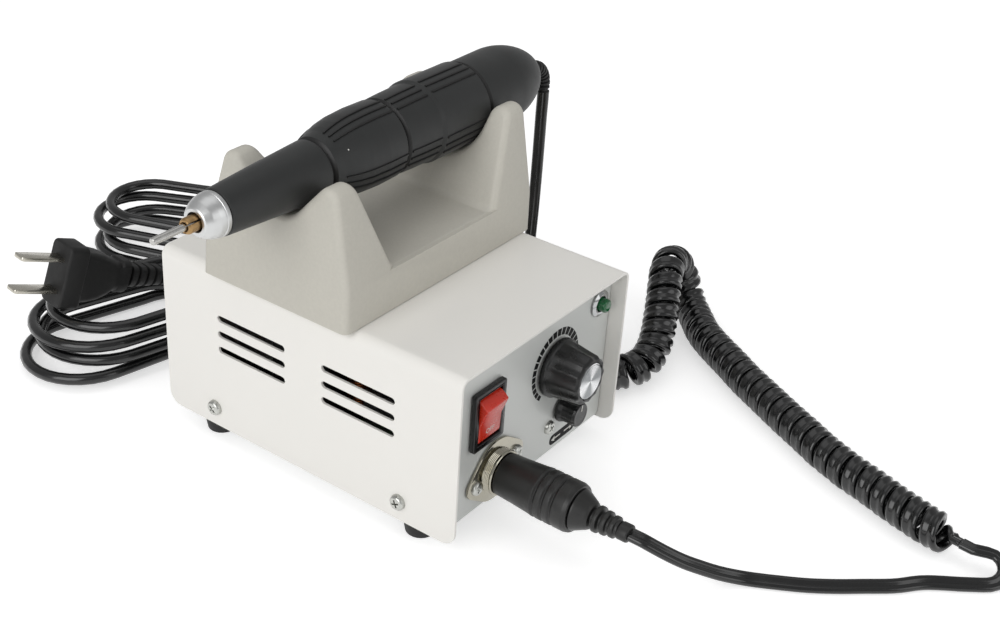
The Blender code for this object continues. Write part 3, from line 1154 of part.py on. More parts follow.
def make_cradle():
    """Moulded cradle: a low plinth with a domed, saddled wall at each end, all edges rounded."""
    top = HAND_Z + CRADLE_POST_RISE + CRADLE_POST_RADIUS
    rise = top - CRADLE_BASE
    left = wall_outline(saddle_radius(0))
    right = wall_outline(saddle_radius(REAR_STATION))
    middle = CRADLE_INNER_HALF / 2

    def end_x(z):
        return CRADLE_HALF_LENGTH - (CRADLE_HALF_LENGTH - CRADLE_TOP_HALF_LENGTH) * (z - CRADLE_BASE) / rise

    rows = [[Vector((-end_x(p.y), p.x, p.y)) for p in left], [Vector((-middle, p.x, p.y)) for p in left],
            [Vector((middle, p.x, p.y)) for p in right], [Vector((end_x(p.y), p.x, p.y)) for p in right]]
    cradle = add("cradle", lofted(rows), cradle_plastic(), (CRADLE_X, 0, 0))
    spread = (CRADLE_INNER_TOP_HALF - CRADLE_INNER_HALF) / (top - CRADLE_FLOOR)
    high = top + OVERRUN
    wide = CRADLE_INNER_HALF + spread * (high - CRADLE_FLOOR)
    valley = [(-CRADLE_INNER_HALF, CRADLE_FLOOR), (CRADLE_INNER_HALF, CRADLE_FLOOR), (wide, high),
              (-wide, high)]
    cutter = tool(extruded(valley, CRADLE_FRONT_Y - OVERRUN, CRADLE_REAR_Y + OVERRUN, "XZ"), cradle.location)
    combined(cradle, [cutter], "DIFFERENCE")
    round_edges(cradle, CRADLE_ROUND, CRADLE_BASE + SEAT)


def round_edges(obj, width, above):
    """Round the sharp edges of an object that reach above a height."""
    bm = bmesh.new()
    bm.from_mesh(obj.data)
    bmesh.ops.dissolve_limit(bm, angle_limit=math.radians(1), verts=bm.verts[:], edges=bm.edges[:])
    sharp = [e for e in bm.edges if len(e.link_faces) == 2 and e.calc_face_angle() > math.radians(SMOOTH_DEG)
             and max(v.co.z for v in e.verts) > above]
    bmesh.ops.bevel(bm, geom=sharp, offset=width, segments=2, profile=0.5, affect="EDGES",
                    clamp_overlap=True)
    bm.to_mesh(obj.data)
    bm.free()
    obj.data.shade_smooth()
    obj.data.set_sharp_from_angle(angle=math.radians(SMOOTH_DEG))


def lofted(rows, capped=True):
    """Closed skin over rows of points, with a flat cap on the first and the last row."""
    bm = bmesh.new()
    rings = [[bm.verts.new(p) for p in row] for row in rows]
    for near, far in zip(rings, rings[1:]):
        for index in range(len(near)):
            bm.faces.new((near[index - 1], near[index], far[index], far[index - 1]))
    if capped:
        bm.faces.new(rings[0])
        bm.faces.new(rings[-1])
    return bm


def on_handpiece(name, bm, surface):
    """Place a turned piece on the handpiece's axis, heights counted from the nose sleeve's front."""
    return add(name, bm, surface, (HAND_FRONT_X, HAND_Y, HAND_Z), ALONG_X)


def make_nose():
    """Aluminium nose cone, black nose sleeve with the inner barrel, and the front bearing."""
    reach = CONE_RIM_RADIUS - CONE_FRONT_RADIUS
    rim_low = -SEAT - CONE_RIM_LENGTH
    cone = [(CONE_HOLE_RADIUS, -CONE_LENGTH), (CONE_FRONT_RADIUS, -CONE_LENGTH)]
    for along, out in zip(CONE_LENGTH_SHARES, CONE_RADIUS_SHARES):
        cone.append((CONE_FRONT_RADIUS + reach * out, -CONE_LENGTH + (rim_low + CONE_LENGTH) * along))
    spigot = NOSE_BORE_RADIUS - SEAT
    cone += [(CONE_RIM_RADIUS, rim_low), (CONE_RIM_RADIUS, -SEAT), (spigot, -SEAT),
             (spigot, CONE_SPIGOT_LENGTH), (CONE_HOLE_RADIUS, CONE_SPIGOT_LENGTH)]
    on_handpiece("nose_cone", turned(cone, LARGE_STEPS, ring=True), aluminium())
    seat_end = FRONT_BEARING_STATION + BEARING_WIDTH
    barrel_end = MOTOR_STATION + BARREL_REACH
    bore = BARREL_RADIUS - BARREL_WALL
    sleeve = [(NOSE_BORE_RADIUS, 0), (NOSE_FRONT_RADIUS - SEAT, 0), (NOSE_FRONT_RADIUS, SEAT),
              (NOSE_MID_RADIUS, NOSE_LENGTH / 2), (NOSE_REAR_RADIUS, NOSE_LENGTH - GROOVE_CHAMFER),
              (NOSE_REAR_RADIUS - GROOVE_CHAMFER, NOSE_LENGTH), (BARREL_RADIUS, NOSE_LENGTH),
              (BARREL_RADIUS, barrel_end), (bore, barrel_end), (bore, seat_end), (NOSE_BORE_RADIUS, seat_end)]
    on_handpiece("nose_sleeve", turned(sleeve, LARGE_STEPS, ring=True), handpiece_black())
    inner = SPINDLE_RADIUS + SEAT
    low = FRONT_BEARING_STATION
    race = washer(inner, BEARING_RADIUS, low, low + BEARING_WIDTH)
    on_handpiece("front_bearing", turned(race, SMALL_STEPS, ring=True), bright_steel())


def make_chuck_sleeve():
    """Swelling sleeve that is turned to open the chuck, with flutes in bands."""
    low = CHUCK_STATION
    high = low + CHUCK_LENGTH
    swell = CHUCK_SWELL_RADIUS - CHUCK_WAIST_RADIUS
    bore = BARREL_RADIUS + RUN
    profile = [(bore, low), (CHUCK_WAIST_RADIUS - GROOVE_CHAMFER, low),
               (CHUCK_WAIST_RADIUS, low + GROOVE_CHAMFER)]
    for along, out in zip(CHUCK_LENGTH_SHARES, CHUCK_SWELL_SHARES):
        profile.append((CHUCK_WAIST_RADIUS + swell * out, low + CHUCK_LENGTH * along))
    profile += [(CHUCK_REAR_RADIUS, high - GROOVE_CHAMFER), (CHUCK_REAR_RADIUS - GROOVE_CHAMFER, high),
                (bore, high)]
    flutes = (low + CHUCK_LENGTH * CHUCK_LENGTH_SHARES[0] / 2, high - CHUCK_LENGTH * CHUCK_LENGTH_SHARES[0],
              BARREL_RADIUS + BARREL_WALL)
    on_handpiece("chuck_sleeve", fluted(profile, *flutes), handpiece_black())


def make_motor():
    """Motor housing, its magnet ring, and the end plate with the rear bearing and the brushes."""
    low = MOTOR_STATION
    high = low + MOTOR_LENGTH
    step = low + MOTOR_STEP_STATION
    seat = BARREL_RADIUS + SEAT
    shoulder = low + BARREL_REACH + SEAT
    profile = [(seat, low), (MOTOR_FRONT_RADIUS - GROOVE_CHAMFER, low),
               (MOTOR_FRONT_RADIUS, low + GROOVE_CHAMFER),
               ((MOTOR_FRONT_RADIUS + MOTOR_RADIUS) / 2, step - GROOVE_CHAMFER),
               (MOTOR_RADIUS, step + GROOVE_CHAMFER), (MOTOR_RADIUS, high - GROOVE_CHAMFER * 2),
               (MOTOR_RADIUS, high - GROOVE_CHAMFER), (MOTOR_RADIUS - GROOVE_CHAMFER, high),
               (HOUSING_BORE_RADIUS, high), (HOUSING_BORE_RADIUS, shoulder), (seat, shoulder)]
    flutes = (step, high - GROOVE_CHAMFER * 1.5, HOUSING_BORE_RADIUS + GROOVE_CHAMFER)
    on_handpiece("motor_housing", fluted(profile, *flutes), handpiece_black())
    outer = HOUSING_BORE_RADIUS - SEAT
    magnet = washer(outer - MAGNET_WALL, outer, ROTOR_STATION, ROTOR_END)
    on_handpiece("magnet_ring", turned(magnet, LARGE_STEPS, ring=True), core_steel())
    make_brush_holder(outer)


def make_brush_holder(outer):
    """End plate in the rear cap that holds the rear bearing and, on two arms, the brushes."""
    low = END_PLATE_STATION
    plate = washer(BEARING_RADIUS + SEAT, outer, low, low + END_PLATE_THICK)
    holder = on_handpiece("brush_holder", turned(plate, LARGE_STEPS, ring=True), black_plastic())
    brush_low = commutator_low() + (COMMUTATOR_LENGTH - BRUSH_WIDTH) / 2
    reach = math.sqrt(outer ** 2 - (BRUSH_WIDTH / 2) ** 2) - SEAT
    arms = []
    for side in (-1, 1):
        for inner, high in ((COMMUTATOR_RADIUS + RUN, brush_low + BRUSH_WIDTH),
                            (BEARING_RADIUS + RUN, low + END_PLATE_THICK / 2)):
            ends = sorted((side * inner, side * reach))
            block = [(ends[0], -BRUSH_WIDTH / 2), (ends[1], -BRUSH_WIDTH / 2), (ends[1], BRUSH_WIDTH / 2),
                     (ends[0], BRUSH_WIDTH / 2)]
            arms.append(tool(extruded(block, brush_low, high), holder.location, ALONG_X))
    combined(holder, arms, "UNION")
    race = washer(SPINDLE_RADIUS + SEAT, BEARING_RADIUS, low, low + END_PLATE_THICK)
    on_handpiece("rear_bearing", turned(race, SMALL_STEPS, ring=True), bright_steel())


def commutator_low():
    return END_PLATE_STATION - SEAT * 4 - COMMUTATOR_LENGTH


def dome_radius(station):
    """Outer radius of the rear cap's dome."""
    share = (station - (END_STATION - REAR_DOME_LENGTH)) / REAR_DOME_LENGTH
    return REAR_SWELL_RADIUS * (1 - max(share, 0) ** REAR_DOME_POWER) ** (1 / REAR_DOME_POWER)


def make_rear_cap():
    """Domed rear cap with the cord's ribbed elbow."""
    low = REAR_STATION
    dome_start = END_STATION - REAR_DOME_LENGTH
    share = (1 - (REAR_FACE_RADIUS / REAR_SWELL_RADIUS) ** REAR_DOME_POWER) ** (1 / REAR_DOME_POWER)
    face = dome_start + REAR_DOME_LENGTH * share
    steps = 7
    outer = [(REAR_FRONT_RADIUS - GROOVE_CHAMFER, low), (REAR_FRONT_RADIUS, low + GROOVE_CHAMFER)]
    for step in range(steps):
        station = dome_start + (face - dome_start) * math.sin(math.pi / 2 * step / steps)
        outer.append((dome_radius(station), station))
    hole = RELIEF_RADIUS + SEAT
    cavity_end = face - REAR_WALL * 2
    inner = [(HOUSING_BORE_RADIUS, low)]
    for step in range(3):
        station = dome_start + (cavity_end - dome_start) * step / 3
        inner.append((min(HOUSING_BORE_RADIUS, dome_radius(station) - REAR_WALL), station))
    profile = inner + [(hole, cavity_end), (hole, face), (REAR_FACE_RADIUS, face)] + outer[::-1]
    on_handpiece("rear_cap", turned(profile, LARGE_STEPS, ring=True), handpiece_black())
    return HAND_FRONT_X + face


def make_relief(face_x):
    """Ribbed strain relief that leaves the rear cap and turns down."""
    start = Vector((face_x - RELIEF_ROOT, HAND_Y, HAND_Z))
    bend = face_x + RELIEF_LEAVE
    path = [start, Vector((bend, HAND_Y, HAND_Z))]
    turns = RELIEF_RIBS * 2
    for step in range(1, turns + 1):
        angle = math.pi / 2 * step / turns
        drop = RELIEF_TURN * (1 - math.cos(angle))
        path.append(Vector((bend + RELIEF_TURN * math.sin(angle), HAND_Y, HAND_Z - drop)))
    end = path[-1] - Vector((0, 0, RELIEF_TAIL))
    path.append(end)
    rows = []
    sides = SMALL_STEPS
    for index, point in enumerate(path):
        radius = RELIEF_RADIUS - RELIEF_RIB * (index % 2 if 1 < index < len(path) - 1 else 0)
        along = path[min(index + 1, len(path) - 1)] - path[max(index - 1, 0)]
        along.normalize()
        across = Vector((0, 1, 0))
        up = along.cross(across)
        rows.append([point + radius * (across * math.cos(a) + up * math.sin(a))
                     for a in (math.tau * side / sides for side in range(sides))])
    add("handpiece_relief", lofted(rows), black_rubber())
    return end


def make_spindle():
    """Spindle with rotor and commutator, the slit collet and the shank of the bur it holds."""
    bore = SHANK_RADIUS + SEAT
    collet_low = -CONE_LENGTH - COLLET_PROUD
    collet_high = collet_low + COLLET_LENGTH
    shank_low = collet_low - SHANK_PROUD
    shank_high = shank_low + SHANK_LENGTH
    collet = [(0, collet_high), (COLLET_RADIUS, collet_high), (COLLET_RADIUS, collet_low + COLLET_SLIT),
              (COLLET_RADIUS - COLLET_SLIT, collet_low), (bore, collet_low), (bore, shank_high + SEAT),
              (0, shank_high + SEAT)]
    body = on_handpiece("collet", turned(collet, SMALL_STEPS), brass())
    slits = []
    for turn in range(3):
        half = COLLET_SLIT / 2
        slit = extruded([(0, -half), (COLLET_RADIUS * 2, -half), (COLLET_RADIUS * 2, half), (0, half)],
                        collet_low - OVERRUN, shank_high - OVERRUN)
        bmesh.ops.rotate(slit, verts=slit.verts[:], cent=(0, 0, 0),
                         matrix=Matrix.Rotation(math.tau * turn / 3, 3, "Z"))
        slits.append(tool(slit, body.location, ALONG_X))
    combined(body, slits, "DIFFERENCE")
    shank = [(0, shank_low), (SHANK_RADIUS - SHANK_TIP, shank_low), (SHANK_RADIUS, shank_low + SHANK_TIP),
             (SHANK_RADIUS, shank_high), (0, shank_high)]
    on_handpiece("bur_shank", turned(shank, SMALL_STEPS), bright_steel())
    end = END_PLATE_STATION + END_PLATE_THICK + SPINDLE_RADIUS
    low = commutator_low()
    high = low + COMMUTATOR_LENGTH
    spindle = [(0, collet_high + SEAT), (SPINDLE_RADIUS, collet_high + SEAT), (SPINDLE_RADIUS, low),
               (COMMUTATOR_RADIUS, low), (COMMUTATOR_RADIUS, high), (SPINDLE_RADIUS, high), (SPINDLE_RADIUS, end),
               (0, end)]
    on_handpiece("spindle", turned(spindle, SMALL_STEPS), bright_steel())
    rotor = washer(SPINDLE_RADIUS + SEAT, ROTOR_RADIUS, ROTOR_STATION, ROTOR_END)
    on_handpiece("rotor", turned(rotor, MIDDLE_STEPS, ring=True), core_steel())


def smooth_curve(points, spacing, passes=0):
    """Points at even spacing on a Catmull-Rom curve through the given ones, never below the floor."""
    known = [Vector(p) for p in points]
    known = [2 * known[0] - known[1]] + known + [2 * known[-1] - known[-2]]
    fine = []
    parts = 16
    for a, b, c, d in zip(known, known[1:], known[2:], known[3:]):
        for part in range(parts):
            t = part / parts
            fine.append(0.5 * (2 * b + (c - a) * t + (2 * a - 5 * b + 4 * c - d) * t ** 2
                               + (3 * b - a - 3 * c + d) * t ** 3))
    fine.append(known[-2])
    for _ in range(passes):
        fine = [fine[0]] + [(a + 2 * b + c) / 4 for a, b, c in zip(fine, fine[1:], fine[2:])] + [fine[-1]]
    lengths = [0.0]
    for near, far in zip(fine, fine[1:]):
        lengths.append(lengths[-1] + (far - near).length)
    count = max(2, round(lengths[-1] / spacing))
    spread = []
    index = 0
    for step in range(count + 1):
        want = lengths[-1] * step / count
        while index < len(fine) - 2 and lengths[index + 1] < want:
            index += 1
        share = (want - lengths[index]) / (lengths[index + 1] - lengths[index])
        spread.append(fine[index].lerp(fine[index + 1], share))
    return spread


def route_length(points):
    return sum((b - a).length for a, b in zip(points, points[1:]))


def tube(name, points, diameter, resolution):
    """A cord as a bevelled curve with filled caps."""
    curve = bpy.data.curves.new(name, "CURVE")
    curve.dimensions = "3D"
    curve.bevel_depth = diameter / 2
    curve.bevel_resolution = resolution
    curve.use_fill_caps = True
    spline = curve.splines.new("POLY")
    spline.points.add(len(points) - 1)
    for place, point in zip(spline.points, points):
        place.co = (*point, 1)
    curve.materials.append(cord_black())
    obj = bpy.data.objects.new(name, curve)
    bpy.context.scene.collection.objects.link(obj)
    print(f"{name}: {route_length(points):.3f} m long, {len(points)} points")
    return obj


def free_stretch(name, start, start_way, route, end, end_way, diameter):
    """A cord from one square end to another, straight for a diameter at both, through its route."""
    first = Vector(start) + Vector(start_way) * SEAT
    last = Vector(end) - Vector(end_way) * SEAT
    points = [first, first + Vector(start_way) * diameter] + [Vector(p) for p in route]
    points += [last - Vector(end_way) * diameter, last]
    inner = smooth_curve(points[1:-1], diameter * 2)
    lowest = FLOOR_Z + diameter / 2 + FLOOR_GAP
    for point in inner:
        point.z = max(point.z, lowest)
    return tube(name, [first] + inner + [last], diameter, 2)


def gap_between(points, radius, skip):
    """Least gap of a round cord to itself, between points more than skip steps apart."""
    least = math.inf
    for index, point in enumerate(points):
        for other in points[index + skip:]:
            least = min(least, (point - other).length - 2 * radius)
    return least


def hank(name, centre, half_length, bend, azimuth_deg, turn_way, drift, turns, start_share):
    """Long loops laid on top of each other, each one shifted a little: one unbroken tube."""
    along = Vector((math.cos(math.radians(azimuth_deg)), math.sin(math.radians(azimuth_deg)), 0))
    side = Vector((along.y, -along.x, 0)) * turn_way
    half = half_length - bend
    run = 2 * half
    lap = 2 * run + math.tau * bend

    def at(loops):
        reach = (loops % 1) * lap
        shift = Vector(drift) * (loops - start_share - turns / 2)
        rise = Vector((0, 0, HANK_CLIMB * (loops - start_share)))
        middle = Vector(centre) + Vector((0, 0, FLOOR_Z + MAINS_DIAMETER / 2 + FLOOR_GAP)) + shift + rise
        if reach < run:
            return middle + side * bend + along * (reach - half)
        reach -= run
        if reach < math.pi * bend:
            angle = reach / bend
            return middle + along * (half + bend * math.sin(angle)) + side * bend * math.cos(angle)
        reach -= math.pi * bend
        if reach < run:
            return middle - side * bend + along * (half - reach)
        angle = (reach - run) / bend
        return middle - along * (half + bend * math.sin(angle)) - side * bend * math.cos(angle)

    count = round(turns * HANK_STEPS)
    points = [at(start_share + turns * step / count) for step in range(count + 1)]
    start_way = (points[1] - points[0]).normalized()
    end_way = (points[-1] - points[-2]).normalized()
    points = [points[0] - start_way * MAINS_DIAMETER] + points + [points[-1] + end_way * MAINS_DIAMETER]
    tube(name, points, MAINS_DIAMETER, 1)
    print(f"{name}: least gap to itself {gap_between(points, MAINS_DIAMETER / 2, 6) * 1000:.2f} mm")
    return points[0], start_way, points[-1], end_way


def make_curly_cord():
    """Curly cord: a flat two-wire cable wound round its route, with straight square ends on the axis."""
    line = smooth_curve(CURL_ROUTE, CURL_THICK / 4, CURL_SMOOTHING)
    last = len(line) - 1
    tangents = [(line[min(i + 1, last)] - line[max(i - 1, 0)]).normalized() for i in range(last + 1)]
    step = (line[1] - line[0]).length
    side = tangents[0].orthogonal().normalized()
    sides = [side]
    for tangent in tangents[1:]:
        side = (side - tangent * side.dot(tangent)).normalized()
        sides.append(side)
    window = round(CURL_RADIUS / step)
    wind = CURL_RADIUS - CURL_THICK / 2
    ends = CURL_PITCH * CURL_END_SHARE
    total = step * (len(line) - 1)
    rows = []
    reach = 0.0
    turn = 0.0
    while reach < total:
        index = min(int(reach / step), len(line) - 1)
        low = max(index - window, 0)
        high = min(index + window, len(line) - 1)
        bend = (tangents[high] - tangents[low]).length / (step * (high - low))
        pitch = max(CURL_PITCH, (CURL_WIDTH + CURL_SELF_GAP) / max(1 - bend * CURL_RADIUS, CURL_LEAST_SHARE))
        ease = min(1, reach / ends, (total - reach) / ends)
        rows.append((index, turn, wind * math.sin(math.pi / 2 * ease)))
        turn += math.tau / CURL_STEPS
        reach += pitch / CURL_STEPS * (1 + (1 - ease) * CURL_END_STRETCH)
    rows.append((len(line) - 1, turn, 0))
    centres = []
    outs = []
    for index, angle, radius in rows:
        out = sides[index] * math.cos(angle) + tangents[index].cross(sides[index]) * math.sin(angle)
        centres.append(line[index] + out * radius)
        outs.append(out)
    start_way = tangents[0]
    end_way = tangents[-1]
    centres = [centres[0] - start_way * CURL_WIDTH / 2] + centres + [centres[-1] + end_way * CURL_WIDTH / 2]
    outs = [outs[0]] + outs + [outs[-1]]
    rings = []
    for i, (centre, out) in enumerate(zip(centres, outs)):
        way = (centres[min(i + 1, len(centres) - 1)] - centres[max(i - 1, 0)]).normalized()
        if i < 2:
            way = start_way
        if i > len(centres) - 3:
            way = end_way
        out = (out - way * out.dot(way)).normalized()
        wide = way.cross(out)
        rings.append([centre + wide * CURL_WIDTH * x + out * CURL_THICK * y for x, y in CURL_SECTION_SHARES])
    add("curly_cord", lofted(rings), cord_black())
    print(f"curly_cord: route {total:.3f} m, cable {route_length(centres):.3f} m")
    print(f"curly_cord: least gap to itself {ring_gap(rings) * 1000:.2f} mm")
    return centres[0], start_way, centres[-1], end_way


def ring_gap(rings):
    """Least distance between points of the skin more than two thirds of a curl apart."""
    skin = []
    for near, far in zip(rings, rings[1:]):
        skin.append([p for pair in zip(near, far) for p in (pair[0], (pair[0] + pair[1]) / 2)])
    grid = np.array([[list(p) for p in row] for row in skin])
    skip = round(CURL_STEPS * 2 / 3)
    least = math.inf
    for index in range(len(grid) - skip):
        later = grid[index + skip:index + skip + 3 * CURL_STEPS].reshape(-1, 3)
        gaps = np.linalg.norm(grid[index][:, None, :] - later[None], axis=2)
        least = min(least, float(gaps.min()))
    return least


def make_mains_plug():
    """Two-blade plug lying on the hank, head raised: ribbed relief, collar, body and head."""
    rise = math.radians(MAINS_PLUG_RISE_DEG)
    azimuth = math.radians(MAINS_PLUG_AZIMUTH_DEG)
    way = Vector((math.cos(azimuth) * math.cos(rise), math.sin(azimuth) * math.cos(rise), math.sin(rise)))
    up = Vector((-math.cos(azimuth) * math.sin(rise), -math.sin(azimuth) * math.sin(rise), math.cos(rise)))
    turn = Matrix((up, way.cross(up), way)).transposed().to_euler()
    core = MAINS_DIAMETER / 2 + CHASSIS_SHEET
    sections = []
    pitch = MAINS_RELIEF_LENGTH / MAINS_RIBS
    for rib in range(MAINS_RIBS):
        low = pitch * rib
        radius = core + (MAINS_NECK_THICK / 2 - core) * (rib + 1) / MAINS_RIBS
        sunk = radius - RELIEF_RIB * 2
        rib_end, groove_start, groove_end = [low + pitch * share for share in MAINS_RIB_SHARES]
        sections += [(radius, radius, low), (radius, radius, rib_end), (sunk, sunk, groove_start),
                     (sunk, sunk, groove_end)]
    collar = MAINS_RELIEF_LENGTH
    body = collar + MAINS_COLLAR_LENGTH
    head = body + MAINS_BODY_LENGTH
    face = head + MAINS_HEAD_LENGTH
    neck = (MAINS_NECK_HEIGHT / 2, MAINS_NECK_THICK / 2)
    wide, thick = [size * share for size, share in zip(neck, MAINS_COLLAR_SHARES)]
    narrow, waist = MAINS_WAIST_SHARES
    sections += [(wide, thick, collar), (wide, thick, body - RELIEF_RIB * 2), (neck[0], neck[1], body),
                 (MAINS_BODY_HEIGHT / 2 * narrow, MAINS_BODY_THICK / 2, body + MAINS_BODY_LENGTH * waist),
                 (MAINS_BODY_HEIGHT / 2, MAINS_BODY_THICK / 2, head - RELIEF_RIB),
                 (MAINS_HEAD_HEIGHT / 2, MAINS_HEAD_THICK / 2, head),
                 (MAINS_HEAD_HEIGHT / 2, MAINS_HEAD_THICK / 2, face - RELIEF_RIB),
                 (MAINS_HEAD_HEIGHT / 2 - RELIEF_RIB, MAINS_HEAD_THICK / 2 - RELIEF_RIB, face)]
    rows = []
    for index, (high, thick, along) in enumerate(sections):
        corner = min(high, thick) * MAINS_ROUND_SHARE if along < body + WELD else MAINS_CORNER
        rows.append([Vector((p.x, p.y, along)) for p in rectangle(high, thick, corner, 2)])
    plug = add("mains_plug", lofted(rows), black_rubber(), MAINS_PLUG_TAIL, turn)
    slots = []
    for number, side in enumerate((-1, 1), 1):
        x = side * BLADE_SPACING / 2
        low = face - BLADE_ROOT
        hole = rectangle(BLADE_THICK / 2 + SEAT, BLADE_WIDTH / 2 + SEAT, 0, 1, x)
        slots.append(tool(extruded(hole, low - SEAT, face + OVERRUN), MAINS_PLUG_TAIL, turn))
        tip = BLADE_WIDTH / 4
        outline = [(low, -BLADE_WIDTH / 2), (face + BLADE_LENGTH - tip, -BLADE_WIDTH / 2),
                   (face + BLADE_LENGTH, -tip), (face + BLADE_LENGTH, tip),
                   (face + BLADE_LENGTH - tip, BLADE_WIDTH / 2), (low, BLADE_WIDTH / 2)]
        bm = extruded(outline, x - BLADE_THICK / 2, x + BLADE_THICK / 2)
        for vert in bm.verts:
            vert.co = (vert.co.z, vert.co.y, vert.co.x)
        add(f"mains_blade_{number}", bm, brass(), MAINS_PLUG_TAIL, turn, smooth=False)
    combined(plug, slots, "DIFFERENCE")
    return Vector(MAINS_PLUG_TAIL), way


def make_cords(boot_tip, relief_end):
    """All free stretches, the curly cord and the two hanks, end to end."""
    curl_start, curl_start_way, curl_end, curl_end_way = make_curly_cord()
    plug_end = Vector((SOCKET_X, PANEL_Y - boot_tip, SOCKET_Z))
    down = Vector((0, 0, -1))
    free_stretch("handpiece_lead", relief_end, down, HAND_LEAD_ROUTE, curl_start, curl_start_way,
                 LEAD_DIAMETER)
    free_stretch("plug_lead", curl_end, curl_end_way, PLUG_LEAD_ROUTE, plug_end, Vector((0, 1, 0)),
                 LEAD_DIAMETER)
    plug_tail, plug_way = make_mains_plug()
    far_start, far_start_way, far_end, far_end_way = hank(
        "mains_hank_far", FAR_HANK_CENTRE, FAR_HANK_HALF, FAR_HANK_BEND, FAR_HANK_AZIMUTH_DEG, -1,
        FAR_HANK_DRIFT, FAR_HANK_TURNS, FAR_HANK_START_SHARE)
    near_start, near_start_way, near_end, near_end_way = hank(
        "mains_hank_near", NEAR_HANK_CENTRE, NEAR_HANK_HALF, NEAR_HANK_BEND, NEAR_HANK_AZIMUTH_DEG, 1,
        NEAR_HANK_DRIFT, NEAR_HANK_TURNS, NEAR_HANK_START_SHARE)
    gland_tip = Vector((GLAND_X, REAR_Y + SEAT + GLAND_THICK + GLAND_RELIEF_LENGTH, GLAND_Z))
    free_stretch("mains_cord_inlet", gland_tip, Vector((0, 1, 0)), INLET_ROUTE, far_start, far_start_way,
                 MAINS_DIAMETER)
    free_stretch("mains_cord_link", far_end, far_end_way, LINK_ROUTE, near_start, near_start_way, MAINS_DIAMETER)
    free_stretch("mains_cord_outlet", near_end, near_end_way, OUTLET_ROUTE, plug_tail, plug_way, MAINS_DIAMETER)


def main():
    for obj in list(bpy.data.objects):
        bpy.data.objects.remove(obj)
    make_cover()
    make_chassis()
    make_feet()
    make_cover_screws()
    make_rocker_switch()
    make_speed_control()
    make_direction_control()
    make_pilot_lamp()
    make_socket()
    boot_tip = make_lead_plug()
    make_rear_fittings()
    make_inner_parts()
    make_cradle()
    make_nose()
    make_chuck_sleeve()
    make_motor()
    relief_end = make_relief(make_rear_cap())
    make_spindle()
    make_cords(boot_tip, relief_end)


main()
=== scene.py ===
"""Looks of the dental laboratory micromotor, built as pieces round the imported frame.

The axes are the frame's own: the front panel faces -Y, the handpiece lies along X with its bur shank
towards -X, and the feet stand on z = -0.006. Lengths are in metres, apart from the corners of turned pieces
and outlines, boxes, screws and the patterns of the finishes, which are in millimetres.
"""
import math

import bmesh
import bpy
from mathutils import Matrix, Vector


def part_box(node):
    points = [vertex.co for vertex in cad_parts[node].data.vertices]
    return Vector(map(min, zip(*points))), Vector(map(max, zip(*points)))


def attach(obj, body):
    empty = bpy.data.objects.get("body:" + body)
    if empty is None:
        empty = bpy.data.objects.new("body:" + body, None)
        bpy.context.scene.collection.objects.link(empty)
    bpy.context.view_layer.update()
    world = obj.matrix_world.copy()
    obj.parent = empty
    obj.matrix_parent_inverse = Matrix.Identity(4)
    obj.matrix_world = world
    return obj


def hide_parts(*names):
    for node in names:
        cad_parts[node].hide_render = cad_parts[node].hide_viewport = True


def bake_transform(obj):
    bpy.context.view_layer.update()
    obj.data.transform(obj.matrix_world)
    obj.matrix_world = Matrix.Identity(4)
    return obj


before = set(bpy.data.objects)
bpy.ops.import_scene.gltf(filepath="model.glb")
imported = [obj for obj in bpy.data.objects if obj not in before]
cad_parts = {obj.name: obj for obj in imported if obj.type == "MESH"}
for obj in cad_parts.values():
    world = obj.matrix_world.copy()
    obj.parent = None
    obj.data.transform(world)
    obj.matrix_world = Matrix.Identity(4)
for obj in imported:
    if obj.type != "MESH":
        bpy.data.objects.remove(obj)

bl_info = {
    "name": "Laboratory micromotor",
    "version": (1, 0, 0),
    "blender": (4, 5, 0),
    "location": "3D View > Sidebar > Micromotor",
    "description": "Pieces, finishes and studio of a dental laboratory micromotor",
    "category": "Object",
}

MM = 0.001
SEAT = 0.0003  # gap that keeps touching pieces apart
COVER_LOW, COVER_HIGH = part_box("cover")
PANEL_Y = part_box("chassis")[0].y
REAR_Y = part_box("chassis")[1].y
FLOOR_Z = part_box("foot_1")[0].z

# Axes of the round pieces: x and z on the panels, and the start of the handpiece's axis
ROCKER_AT = (-0.02625, 0.0388)
DIAL_AT = (0.0136, 0.038)
DIRECTION_AT = (0.020, 0.018)
LAMP_AT = (0.039, 0.0517)
SOCKET_AT = (-0.0194, 0.0135)
PANEL_SCREW_AT = (0.0132, 0.0128)
LABEL_AT = (0.0226, 0.0056)
PRINT_RISE = 0.00003  # how far printing stands out of the panel
GLAND_AT = (0.036, 0.015)
FUSE_AT = (-0.033, 0.017)
HAND_START = Vector((-0.0765, 0.0075, 0.1066))

# Vent slots and screws on the cover's sides
VENT_Y = 0.0236  # middle of a row of slots, before and behind the case's middle
VENT_ROWS = (0.0327, 0.0389, 0.0451)
VENT_HALF_LENGTH = 0.0155
COVER_SCREW_Y, COVER_SCREW_Z = 0.0418, 0.0074

# Cradle: its floor above the cover, the domes of its posts and their height above the handpiece's axis,
# and the radii of its left and right seats
CRADLE_FLOOR = 0.0153
POST_RADIUS = 0.0044
POST_LIFT = 0.0002
LEFT_SEAT, RIGHT_SEAT = 0.0103, 0.0150

# Leads: where the handpiece's lead hangs, how far a flat lead runs straight at its ends, and its steps
LEAD_X = 0.0955
LEAD_STRAIGHT = 0.0040
LEAD_STEP = 0.0025
